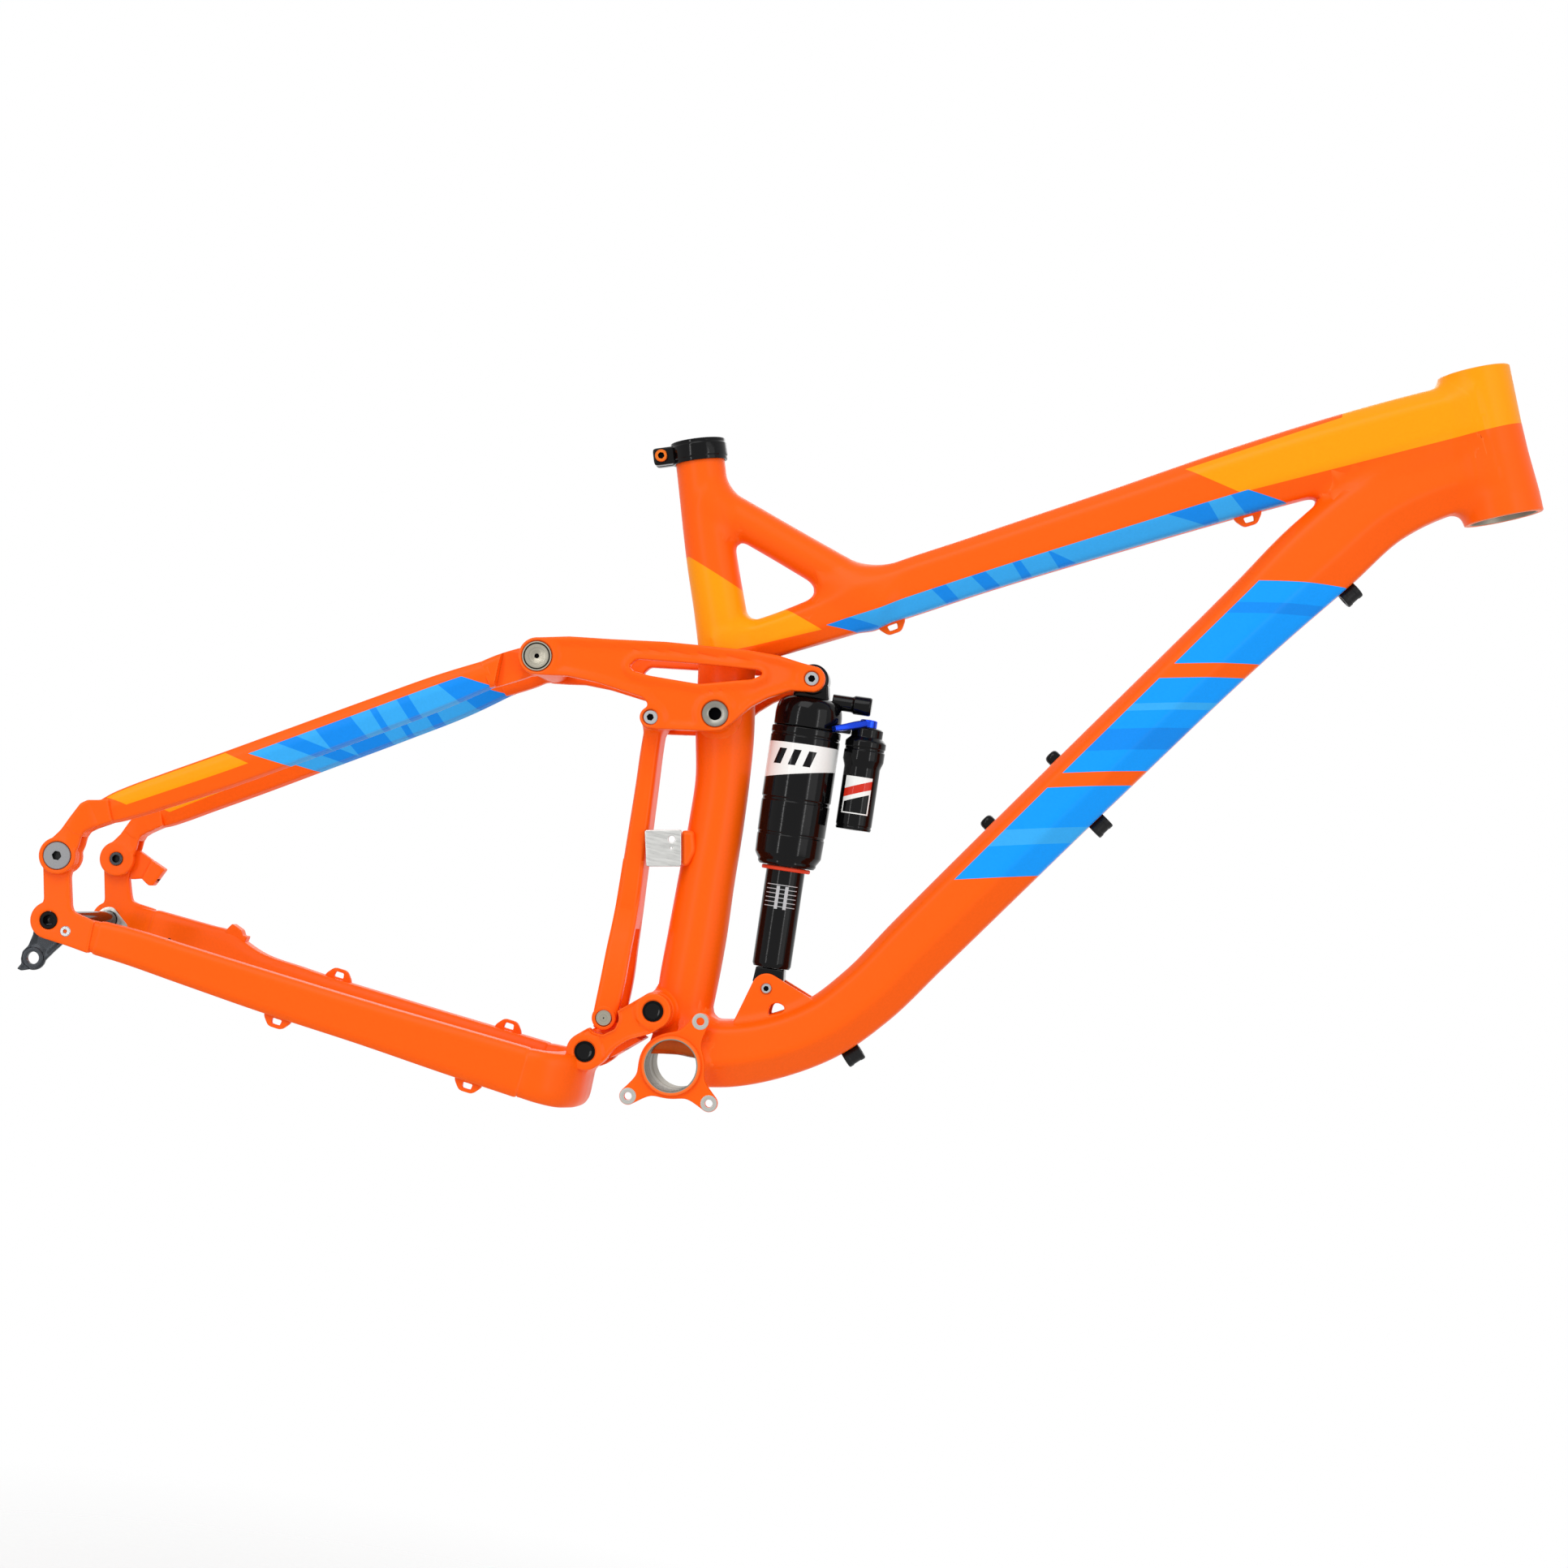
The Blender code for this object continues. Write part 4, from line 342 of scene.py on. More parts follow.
def rod_gap(start, stop, first, last):
    """For a round bar: a function that gives the distance of points from its skin."""
    start, stop = np.asarray(start, float), np.asarray(stop, float)
    length = np.linalg.norm(stop - start)

    def gap(points):
        far = (points - start) @ (stop - start) / length
        held = np.clip(far, 0.0, length)
        reach = np.linalg.norm(points - start - far[:, None] * (stop - start) / length, axis=1)
        side = reach - first - (last - first) * held / length
        past = np.abs(far - held)
        return np.where(past > 0.0, np.hypot(np.maximum(side, 0.0), past), side)

    return gap


def tube_gap(rows, loop):
    """The same for a tube of table rows and an outline: at the nearest station, the outline's reach at that
    angle."""
    rows = run(rows, 160)
    along, across, up = rails(rows)
    spacing = np.linalg.norm(np.gradient(rows[:, :3], axis=0), axis=1)
    angle = np.arctan2(loop[:, 1], loop[:, 0])
    order = np.argsort(angle)
    angle, spoke = angle[order], np.hypot(loop[:, 0], loop[:, 1])[order]

    def gap(points):
        near = np.concatenate([((part[:, None] - rows[None, :, :3]) ** 2).sum(-1).argmin(1)
                               for part in np.array_split(points, max(len(points) // 8000, 1))])
        shift = ((points - rows[near, :3]) * along[near]).sum(1) / spacing[near]
        place = np.clip(near + np.clip(shift, -1.0, 1.0), 0.0, len(rows) - 1.001)
        i, t = place.astype(int), (place % 1.0)[:, None]
        row = rows[i] * (1 - t) + rows[i + 1] * t
        out = points - row[:, :3]
        a = (out * (across[i] * (1 - t) + across[i + 1] * t)).sum(1)
        b = (out * (up[i] * (1 - t) + up[i + 1] * t)).sum(1)
        u, v = 2 * a / row[:, 4], 2 * b / row[:, 3]
        share = np.hypot(u, v) / np.interp(np.arctan2(v, u), angle, spoke, period=2 * np.pi)
        side = np.hypot(a, b) * (1.0 - 1.0 / np.maximum(share, 1e-3))
        past = np.abs((out * along[i]).sum(1)) * ((place <= 0.0) | (place >= len(rows) - 1.001))
        return np.where(past > spacing[i], np.hypot(np.maximum(side, 0.0), past), side)

    return gap


def weld(points, normals, hosts, k=9.0):
    """Dressed welds. Each point rises along its normal by h until it lies on the rounded union of its own
    skin and the hosts' skins: k - sqrt(max(k - h, 0)^2 + sum of max(k - d, 0)^2) = 0, with d the distances
    to the hosts. Points just inside a host end a little under its skin. In a corner too tight to reach that
    surface along the normal, a point goes as near to it as it can, and points deep inside a host stay where
    they are."""
    flat, normals = points.reshape(-1, 3), normals.reshape(-1, 3)
    first = np.array([gap(flat) for gap in hosts])
    live = np.flatnonzero((first.min(0) < k) & (first.min(0) > -6.0) & (np.abs(normals).sum(1) > 0.5))
    start, way, near = flat[live], normals[live], [gap for gap,
                                                   d in zip(hosts, first[:, live]) if d.min() < k]
    h, best = np.zeros(len(live)), np.zeros(len(live))
    least = np.full(len(live), np.inf)
    for _ in range(30):
        d = [gap(start + way * h[:, None]) for gap in near]
        short = np.sqrt(np.maximum(k - h, 0.0) ** 2 + sum(np.maximum(k - each, 0.0) ** 2 for each in d)) - k
        best = np.where(np.abs(short) < least, h, best)
        least = np.minimum(np.abs(short), least)
        h = np.clip(h + short, 0.0, 2.2 * k)
    settled = flat.copy()
    inside = -first.min(0)[live]
    tucked = 0.15 * (inside > 0.0) + 0.4 * np.clip(inside - 0.5, 0.0, 1.5)
    reached = np.clip((3.5 - least) / 2.0, 0.0, 1.0)
    settled[live] = start + way * (np.maximum(best - tucked, 0.0) * reached)[:, None]
    return settled


top_loop = section(TOP_SECTION, 96, 0.016)
round_loop = section([(math.sin(a), math.cos(a)) for a in np.linspace(0.0, np.pi, 33)], 80, 0.0)
top_rows = run(TOP_TUBE, 420, 0.6)
top_points, top_uv = skin(top_rows, top_loop)


def band(rows, low, high, blocks):
    """Patches between two heights of a tube: each block is a colour and the x of its two slanted ends,
    given at the band's upper and lower edge, which the tube's line turns into distances along it."""
    far = np.concatenate([[0.0], np.cumsum(np.linalg.norm(np.diff(rows[:, :3], axis=0), axis=1))])
    patches = []
    for code, back_high, back_low, fore_high, fore_low in blocks:
        a, b, c, d = np.interp([back_high, back_low, fore_high, fore_low], rows[:, 0], far)
        patches.append((code, around("UV", [(b, low), (d, low), (c, high), (a, high)])))
    return patches


top_blocks = [
    (SKY, 38, 53, 303, 324), (AZURE, 38, 53, 52, 68), (AZURE, 104, 110, 113, 118),
              (AZURE, 129, 135, 138, 144),
    (AZURE, 155, 158, 160, 164), (AZURE, 177.6, 181, 178.6, 192), (AZURE, 252.5, 272.4, 277.8, 281.5),
    (AZURE, 292, 298, 303, 324),
]
rear_amber = [
    (AMBER, around("Object", [(-22.5, 332.6), (-63.4, 348.0), (-100.0, 330.0), (-60.0, 282.0),
                              (-16.6, 290.6)])),
    (AMBER, around("Object", [(-22.5, 332.6), (-45.0, 284.7), (-16.6, 290.6), (38.6, 316.2),
                              (16.3, 323.8)])),
]
top_patches = front_amber + rear_amber + band(top_rows, -990.0, -360.0, top_blocks)
top_coat = finish("satin_coat_top_tube", ORANGE, top_patches, **PAINT)

# Down tube: hydroformed alloy, curved up from the bottom bracket and out again below the head tube, with
# flat sides above a crease and bevels below it. Blue panels are masked along its side.
DOWN_TUBE = [
    (5.0, 0, 10.0, 49.0, 50.0), (37.0, 0, 15.5, 47.0, 53.0), (68.0, 0, 28.0, 45.0, 54.0),
             (97.0, 0, 47.5, 45.0, 54.0),
    (120.0, 0, 73.0, 46.0, 53.0), (148.0, 0, 115.0, 47.5, 52.0), (240.0, 0, 252.5, 49.5, 52.0),
    (333.0, 0, 389.0, 53.5, 50.0), (366.0, 0, 436.0, 58.0, 47.0), (400.0, 0, 478.0, 54.0, 44.0),
    (430.0, 0, 500.5, 52.0, 42.0), (463.5, 0, 516.9, 52.0, 42.0),
]
DOWN_SECTION = [(0.0, 1.0), (0.5, 1.0), (0.9, 0.72), (1.0, -0.26), (0.5, -0.98), (0.0, -1.0)]
down_loop = section(DOWN_SECTION, 96, 0.014)
down_rows = run(DOWN_TUBE, 520, 0.6)
down_points, down_uv = skin(down_rows, down_loop)
down_panels = band(down_rows, -990.0, 600.0, [
    ("#0C9CFF", 176, 200, 226, 250), (SKY, 194, 218, 203, 227), ("#0C9CFF", 234, 258, 286, 310),
    (AZURE, 246, 270, 258, 282), (SKY, 268, 292, 272, 296), ("#0C9CFF", 294, 318, 340, 364),
                                              (AZURE, 322, 346, 328, 352),
])
down_coat = finish("satin_coat_down_tube", ORANGE, front_amber + down_panels, **PAINT)

# Seat tube: drawn alloy, round, curved forward below and reamed at its top for the seatpost.
seat_rows = run(SEAT_TUBE, 300)
bore_rows = seat_rows[::-1].copy()
bore_rows[:, 3:5] -= 3.4
seat_points, _ = skin(seat_rows, round_loop)
seat_inside, _ = skin(bore_rows[::2], round_loop)
seat_coat = finish("satin_coat_seat_tube", ORANGE, rear_amber, **PAINT)
seat_axis = np.array([-74.6 + 70.6, 0.0, 428.0 - 416.2])
seat_axis /= np.linalg.norm(seat_axis)
seat_top = np.array([-74.6, 0.0, 428.0])
reamed = eased([(15.35, 0.2), (16.7, 0.2), (16.7, -0.4), (15.5, -0.4), (15.5, -80.0), (15.35, -80.0)], 0.1,
               True)
points, faces, uv = spun(reamed, seat_top, seat_axis, 80, True)
piece("seat_tube_bore", points, faces, turned_alloy, "front_triangle", uv=uv)

# Brace: a short oval tube from the seat tube to the top tube, its welds dressed into wide fillets.
BRACE = [(-60.0, 0, 390.5, 27.0, 27.0), (-30.0, 0, 380.6, 27.0, 27.0), (0.0, 0, 370.5, 27.0, 27.0),
         (35.0, 0, 358.6, 28.0, 28.0), (75.0, 0, 345.0, 30.0, 29.0)]
brace_rows = run(BRACE, 200, 0.5)
brace_points, brace_uv = skin(brace_rows, round_loop)

# Bottom bracket shell: a threaded alloy sleeve welded across the foot of the frame. Its drive side carries a
# forged star of three chainguide tabs, whose faces are milled bare.
SHELL_HALF = 36.5
TAB_TURNS = np.radians([68.3, 226.6, 327.0])
TAB_REACH = 36.5


def gap_to(points, loops):
    """Distance from points to the nearest side of some loops, and whether they lie inside by counting
    crossings."""
    best, inside = np.full(len(points), np.inf), np.zeros(len(points), bool)
    for loop in loops:
        a, way, p = loop[None], (np.roll(loop, -1, axis=0) - loop)[None], points[:, None]
        t = np.clip(((p - a) * way).sum(-1) / np.maximum((way ** 2).sum(-1), 1e-12), 0.0, 1.0)
        best = np.minimum(best, np.linalg.norm(p - a - t[..., None] * way, axis=-1).min(1))
        spans = (a[..., 1] > p[..., 1]) != (a[..., 1] + way[..., 1] > p[..., 1])
        rise = np.where(np.abs(way[..., 1]) < 1e-12, 1e-12, way[..., 1])
        inside ^= (spans & (p[..., 0] < a[..., 0] + (p[..., 1] - a[..., 1]) / rise * way[...,
                                                                                         0])).sum(1) % 2 == 1
    return best, inside


def circle(centre, radius, count=40):
    turn = np.linspace(0.0, 2 * np.pi, count, endpoint=False)
    return np.column_stack([centre[0] + radius * np.cos(turn), centre[1] + radius * np.sin(turn)])


def forged(outline, holes, thick, edge, relief=None, spacing=3.0, step=1.4):
    """A plate seen from the side. Its outline and holes are filled with Delaunay triangles; each face
    stands off the middle plane by half the thickness, falls to the rim in a quarter circle of radius edge,
    and takes the extra height that relief gives for (x, z, distance from the rim). Returns points with y
    across, and faces."""
    loops = []
    for loop in [outline, *holes]:
        loop = np.asarray(loop, float)
        ring = np.vstack([loop, loop[:1]])
        reach = np.concatenate([[0.0], np.cumsum(np.linalg.norm(np.diff(ring, axis=0), axis=1))])
        even = np.linspace(0.0, reach[-1], max(int(reach[-1] / step), 16), endpoint=False)
        loops.append(np.column_stack([np.interp(even, reach, ring[:, k]) for k in (0, 1)]))
    low, high = loops[0].min(0), loops[0].max(0)
    mesh_grid = np.meshgrid(np.arange(low[0], high[0], spacing), np.arange(low[1], high[1], spacing))
    wanted = [(np.stack(mesh_grid, -1).reshape(-1, 2), edge * 1.15 + 0.3)]
    for loop in loops:
        way = np.roll(loop, -1, axis=0) - np.roll(loop, 1, axis=0)
        aside = np.column_stack([-way[:, 1], way[:, 0]]) / np.maximum(np.linalg.norm(way, axis=1), 1e-9)[:,
                                                                                                         None]
        for inset in edge * (1.0 - np.cos(np.linspace(0.0, np.pi / 2, 5)[1:])):
            wanted += [(loop + aside * inset, inset * 0.8), (loop - aside * inset, inset * 0.8)]
    kept = []
    for spots, least in wanted:
        depth, inside = gap_to(spots, loops)
        kept.append(spots[inside & (depth > least)])
    ends = np.cumsum([len(loop) for loop in loops])
    sides = [np.column_stack([np.arange(e - len(l), e), np.roll(np.arange(e - len(l), e), -1)])
             for e, l in zip(ends, loops)]
    spots = np.vstack(loops + kept)
    flat, _, faces, *_ = delaunay_2d_cdt([Vector(s) for s in spots], np.vstack(sides).tolist(), [], 0, 1e-5)
    flat, faces = np.array([tuple(v) for v in flat]), np.array(faces)
    faces = faces[gap_to(flat[faces].mean(axis=1), loops)[1]]
    depth = gap_to(flat, loops)[0]
    rim = np.clip(depth, 0.0, edge)
    height = thick / 2 - edge + np.sqrt(np.maximum(edge ** 2 - (edge - rim) ** 2, 0.0))
    if relief is not None:
        height = height + relief(flat[:, 0], flat[:, 1], depth)
    pairs = np.vstack([faces[:, [0, 1]], faces[:, [1, 2]], faces[:, [2, 0]]])
    _, first, count = np.unique(np.sort(pairs, axis=1), axis=0, return_index=True, return_counts=True)
    border = pairs[first[count == 1]]
    n = len(flat)
    walls = np.column_stack([border[:, 0], border[:, 0] + n, border[:, 1] + n, border[:, 1]])
    points = np.vstack([np.column_stack([flat[:, 0], height, flat[:, 1]]),
                        np.column_stack([flat[:, 0], -height, flat[:, 1]])])
    return points, faces.tolist() + (faces[:, ::-1] + n).tolist() + walls.tolist()


shell_y = np.linspace(0.6 - SHELL_HALF, SHELL_HALF - 0.6, 90)
shell_wall = np.vstack([[(18.6, -SHELL_HALF)], [(19.9, -SHELL_HALF)],
                        np.column_stack([np.full(90, 20.5), shell_y]),
                        [(19.9, SHELL_HALF)], [(18.6, SHELL_HALF)]])
shell_points, shell_faces, _ = spun(shell_wall, (0, 0, 0), (0, 1, 0), 112, True)
pitch = np.arange(0.0, 26.0, 0.7)
ridge = np.column_stack([17.62 + 0.12 * (np.arange(len(pitch)) % 2), pitch])
thread = np.vstack([[(18.7, 0.2)], [(17.9, 0.2)], ridge + (0, 0.6), [(18.2, 27.5)], [(18.2, 45.5)],
                    (ridge + (0, 0.6))[::-1] * (1, -1) + (0, 73.0), [(17.9, 72.8)], [(18.7, 72.8)]])
points, faces, uv = spun(thread - (0, SHELL_HALF), (0, 0, 0), (0, 1, 0), 96, True)
piece("bb_thread", points, faces, reamed_and_shaded_alloy, "front_triangle", uv=uv, sharp=25.0)
turn = np.linspace(0.0, 2 * np.pi, 300, endpoint=False)
reach = np.linspace(19.0, 46.0, 540)
spot = np.stack([np.cos(turn)[:, None] * reach, np.sin(turn)[:, None] * reach], -1)
blend = np.exp(-np.maximum(reach - 22.6, -8.0) / 2.6)[None] * np.ones((len(turn), 1))
for angle in TAB_TURNS:
    way = np.array([math.cos(angle), math.sin(angle)])
    far = np.clip(spot @ way, 18.0, TAB_REACH)
    off = np.linalg.norm(spot - far[..., None] * way, axis=-1)
    blend = blend + np.exp(-(off - 6.1 - 2.4 * (TAB_REACH - far) / 18.0) / 2.6)
inside = -np.log(blend) * 2.6 < 0.0
edge_reach = reach[inside.shape[1] - 1 - np.argmax(inside[:, ::-1], axis=1)]
star = np.column_stack([np.cos(turn) * edge_reach, np.sin(turn) * edge_reach])
tips = [TAB_REACH * np.array([math.cos(a), math.sin(a)]) for a in TAB_TURNS]
points, faces = forged(star, [circle((0, 0), 18.9, 96)] + [circle(tip, 2.7) for tip in tips], 5.6, 1.0)
points[:, 1] -= 30.75
piece("chainguide_star", points, faces, orange_coat, "front_triangle")
milled = eased([(2.7, -33.2), (5.7, -33.2), (5.7, -33.72), (2.9, -33.72), (2.7, -33.5)], 0.15, True)
for number, tip in enumerate(tips, 1):
    points, faces, uv = spun(milled, (tip[0], 0, tip[1]), (0, 1, 0), 40, True)
    piece(f"chainguide_face_{number}", points, faces, turned_alloy, "front_triangle",
          uv=uv)

# Welds of the six tubes above: ground and dressed before painting, so that each tube runs into the next in
# a smooth hollow with no bead. The tubes' skins are raised onto that common surface here and take their
# paint.
head_gap = rod_gap(HEAD_LOW, HEAD_HIGH, *HEAD_RADII)
top_gap = tube_gap(TOP_TUBE, top_loop)
down_gap = tube_gap(DOWN_TUBE, down_loop)
seat_gap = tube_gap(SEAT_TUBE, round_loop)
brace_gap = tube_gap(BRACE, round_loop)
shell_gap = rod_gap((0, -SHELL_HALF, 0), (0, SHELL_HALF, 0), 20.5, 20.5)
gaps = {"head_tube": head_gap, "top_tube": top_gap, "down_tube": down_gap, "seat_tube": seat_gap,
        "seat_tube_brace": brace_gap, "bb_shell": shell_gap}


def turned_out(points, origin, axis, least):
    """Normals of a turned ring's outer wall: straight out from the axis, and nothing for points nearer than
    least."""
    axis = np.asarray(axis, float) / np.linalg.norm(axis)
    out = points - origin
    out = out - (out @ axis)[:, None] * axis
    reach = np.linalg.norm(out, axis=1, keepdims=True)
    return np.where(reach > least, out / reach, 0.0)


def sealed(points, normals, uv, first=None, last=None):
    """Closes a tube's ends onto the wall that it is welded to: where a spot is given, eight more rings
    shrink from the end ring towards it. They have no normals, so that welds leave them alone."""
    grids = [points, normals, uv.reshape(*points.shape[:2], 2)]
    share = np.linspace(0.0, 0.97, 9)[1:, None, None]
    for spot, end in ((first, 0), (last, -1)):
        if spot is not None:
            ring = grids[0][end]
            extra = [ring + (np.array(spot) - ring) * share, np.zeros((8, *ring.shape)),
                     np.repeat(grids[2][end][None], 8, 0)]
            grids = [np.concatenate([e[::-1], g] if end == 0 else [g, e]) for e, g in zip(extra, grids)]
    return grids[0], grids[1], grids[2].reshape(-1, 2)


def drawn_out(points, origin, axis, start, stop, radius):
    """Points inside a bore, between two distances along its axis, moved straight out to the middle of its
    wall."""
    axis = np.asarray(axis, float) / np.linalg.norm(axis)
    out = points - np.asarray(origin, float)
    far = out @ axis
    radial = out - far[:, None] * axis
    reach = np.maximum(np.linalg.norm(radial, axis=1), 1e-6)
    inside = (far > start) & (far < stop) & (reach < radius)
    return points + radial * (np.where(inside, radius / reach, 1.0) - 1.0)[:, None]


seat_all = np.vstack([seat_points.reshape(-1, 3), seat_inside.reshape(-1, 3)])
seat_normals = np.vstack([outward(seat_points).reshape(-1, 3), np.zeros((seat_inside.size // 3, 3))])
head_normals = turned_out(head_points, HEAD_LOW, head_axis, HEAD_RADII[1] - 0.2)
shell_normals = turned_out(shell_points, (0, 0, 0), (0, 1, 0), 20.3)
top_grid = sealed(top_points, outward(top_points), top_uv, None, (433.8, 0.0, 541.6))
down_grid = sealed(down_points, outward(down_points), down_uv, (18.7, 0.0, 5.0), (446.8, 0.0, 510.8))
brace_grid = sealed(brace_points, outward(brace_points), brace_uv, (-46.1, 0.0, 395.8))
head_bore = (HEAD_LOW, head_axis, -5.0, head_length + 5.0, HEAD_BORE + 1.2)
shell_bore = ((0, 0, 0), (0, 1, 0), -SHELL_HALF, SHELL_HALF, 19.4)
seat_bore = (seat_top, seat_axis, -95.0, 0.0, 16.6)
WIDE_WELD = ("top_tube", "seat_tube_brace")
for name, points, normals, uv, faces, coat, bores in (
        ("head_tube", head_points, head_normals, head_uv, head_faces, head_coat, []),
        ("top_tube", *top_grid, grid_faces(428, 96), top_coat, [head_bore]),
        ("down_tube", *down_grid, grid_faces(536, 96), down_coat, [head_bore, shell_bore]),
        ("seat_tube", seat_all, seat_normals, None, grid_faces(450, 80, True), seat_coat, [shell_bore]),
        ("seat_tube_brace", *brace_grid, grid_faces(208, 80), orange_coat, [seat_bore]),
        ("bb_shell", shell_points, shell_normals, None, shell_faces, orange_coat, [])):
    base = points.reshape(-1, 3)
    settled = weld(points, normals, [gap for host, gap in gaps.items() if host != name])
    if name in WIDE_WELD:
        wide = weld(points, normals, [gaps[host] for host in WIDE_WELD if host != name], 15.0)
        more = np.linalg.norm(wide - base, axis=1) > np.linalg.norm(settled - base, axis=1)
        settled = np.where(more[:, None], wide, settled)
    for bore in bores:
        settled = drawn_out(settled, *bore)
    piece(name, settled, faces, coat, "front_triangle", [name], uv=uv)

# Lower shock mounts: two alloy plates with a lightening window, welded to the top of the down tube.
MOUNT_MIDDLE, MOUNT_THICK = 14.3, 4.2
mount_arc = np.radians(np.linspace(165.0, 66.0, 12))
mount_outline = ([(34.5, 8.0), (34.5, 38.5), (41.9, 67.5)]
                 + [(52.0 + 10.4 * math.cos(a), 64.8 + 10.4 * math.sin(a)) for a in mount_arc]
                 + [(85.0, 64.0), (96.0, 58.0), (92.0, 30.0)])
mount_window = eased([(56.6, 46.5), (66.4, 50.5), (67.6, 55.0), (62.0, 57.0), (57.0, 54.6)], 3.0, True)
points, faces = forged(eased(mount_outline, 3.0, True), [mount_window, circle((52.0, 64.8), 3.3)],
                       MOUNT_THICK, 1.0,
                       None, 1.4, 0.7)
depth = np.clip(down_gap(points + (0, MOUNT_MIDDLE, 0)), 0.0, 6.0)
points[:, 1] += np.sign(points[:, 1]) * 2.2 * (1.0 - depth / 6.0) ** 2
for side, sign in (("right", -1.0), ("left", 1.0)):
    mount = (points + (0, MOUNT_MIDDLE, 0)) * (1, sign, 1)
    piece(f"shock_mount_{side}", mount, faces, orange_coat, "front_triangle", [f"shock_mount_{side}"])

# Pivot tubes: two bearing sleeves welded across the seat tube, for the rocker and for the lower link.
for name, centre, radius, half in (("rocker_pivot_tube", (-19.8, 243.1), 12.0, 28.2),
                                   ("main_pivot_tube", (-19.7, 34.2), 13.0, 24.0)):
    y = np.linspace(-half + 1.0, half - 1.0, 60)
    wall = np.vstack([[(8.0, -half)], [(radius - 0.8, -half)], np.column_stack([np.full(60, radius), y]),
                      [(radius - 0.8, half)], [(8.0, half)]])
    points, faces, uv = spun(wall, (centre[0], 0, centre[1]), (0, 1, 0), 64, True)
    out = points - (centre[0], 0, centre[1])
    out[:, 1] = 0.0
    out /= np.linalg.norm(out, axis=1, keepdims=True)
    rise = 5.0 - np.sqrt(25.0 - (5.0 - np.clip(seat_gap(points), 0.0, 5.0)) ** 2)
    inner_ring = np.hypot(points[:, 0] - centre[0], points[:, 2] - centre[1]) < 9.0
    points = points + out * np.where(inner_ring, 0.0, rise)[:, None]
    piece(name, points, faces, orange_coat, "front_triangle", [name])

# Seat clamp: a turned alloy collar in gloss black, split behind and drawn together by one orange anodised
# bolt that crosses its two ears. It grips the slotted top of the seat tube.
CLAMP_HEIGHT, CLAMP_IN, CLAMP_OUT = 15.0, 17.45, 19.65
CLAMP_EAR_END = CLAMP_OUT + 12.0
# Gloss black anodised alloy: near black, with bright crisp reflections of the studio and faint fine scuffs.
GLOSS = dict(rough=0.11, vary=0.05, grain=0.8, bump=0.03, specular=0.16)
gloss_black = finish("gloss_black_anodised", "#060607", **GLOSS)
# Orange anodised alloy: tinted metal, so that its highlights are orange too, with its hex socket painted
# near black as shade.
orange_alloy = finish("orange_anodised", "#E8752A", PAINTED_RECESS_SHADE, metallic=1.0, rough=0.28, vary=0.06, grain=0.5,
                      source="UV")
clamp_foot = seat_top + seat_axis * (1.2 - CLAMP_HEIGHT)
collar = eased([(CLAMP_IN, 0.0), (CLAMP_OUT - 0.5, 0.0), (CLAMP_OUT - 0.5, 2.6), (CLAMP_OUT, 3.2),
                (CLAMP_OUT, 11.8),
                (CLAMP_OUT - 0.5, 12.4), (CLAMP_OUT - 0.5, CLAMP_HEIGHT), (CLAMP_IN, CLAMP_HEIGHT)], 0.5,
               True)
points, faces, uv = spun(collar, clamp_foot, seat_axis, 96, True)
piece("seat_clamp", points, faces, gloss_black, "front_triangle", ["seat_clamp"])
seat_back = np.array([-seat_axis[2], 0.0, seat_axis[0]])


def placed(points, origin, ahead, up):
    """Side-view points set into the frame: their x along ahead, their z along up, and y as it is."""
    return np.asarray(origin, float) + points[:, :1] * ahead + points[:, 1:2] * (0, 1, 0) + points[:,
                                                                                                   2:] * up


ear_line = eased([(15.0, 1.0), (CLAMP_EAR_END - 1.0, 1.0), (CLAMP_EAR_END, 2.5), (CLAMP_EAR_END, 11.5),
                  (CLAMP_EAR_END - 1.0, 13.0), (15.0, 13.0)], 3.0, True)
clamp_bolt = np.array([CLAMP_EAR_END - 6.0, 7.0])
points, faces = forged(ear_line, [circle(clamp_bolt, 2.8)], 8.1, 1.2, spacing=2.0, step=0.9)
for side, sign in (("right", -1.0), ("left", 1.0)):
    ear = placed(points + (0, sign * 4.95, 0), clamp_foot, seat_back, seat_axis)
    piece(f"seat_clamp_ear_{side}", ear, faces, gloss_black, "front_triangle")


def headed(radius, head, half, socket, bore=0.0):
    """The profile of a pin with a chamfered head at each end, from its right end to its left one. A socket
    makes a hexagonal recess of that radius in each head, and a bore a deep round one. Gives the hexagon and
    bore rows too."""
    if bore:
        end = [(0.01, -half + 9.0), (bore, -half + 9.0), (bore, -half + 0.4), (bore + 0.5, -half)]
    elif socket:
        end = [(0.01, -half + 1.9), (socket, -half + 1.7), (socket, -half), (socket + 0.3, -half)]
    else:
        end = [(0.01, -half), (head * 0.5, -half)]
    end += [(head - 0.5, -half), (head, -half + 0.5), (head, -half + 2.6), (radius, -half + 2.6)]
    profile = end + [(r, -y) for r, y in reversed(end)]
    rows = (1, 2, len(profile) - 3, len(profile) - 2)
    return profile, rows if socket else (), rows if bore else ()


bolt_place = clamp_foot + seat_back * clamp_bolt[0] + seat_axis * clamp_bolt[1]
screw = [(0.01, -10.8), (2.1, -10.6), (2.1, -12.6), (2.5, -12.6), (3.9, -12.6), (4.3, -12.2), (4.3, -9.3),
         (2.5, -9.3),
         (2.5, 9.4), (2.1, 10.0), (0.01, 10.0)]
points, faces, uv = spun(screw, bolt_place, (0, 1, 0), 48, hexagon=(1, 2))
piece("seat_clamp_bolt", points, faces, orange_alloy, "front_triangle", ["seat_clamp_bolt"],
      uv)

# Front derailleur mount: a small milled plate, bare alloy, bolted to an orange boss on the drive side of
# the seat tube.
PLATE_FACE, PLATE_THICK = 19.9, 3.5
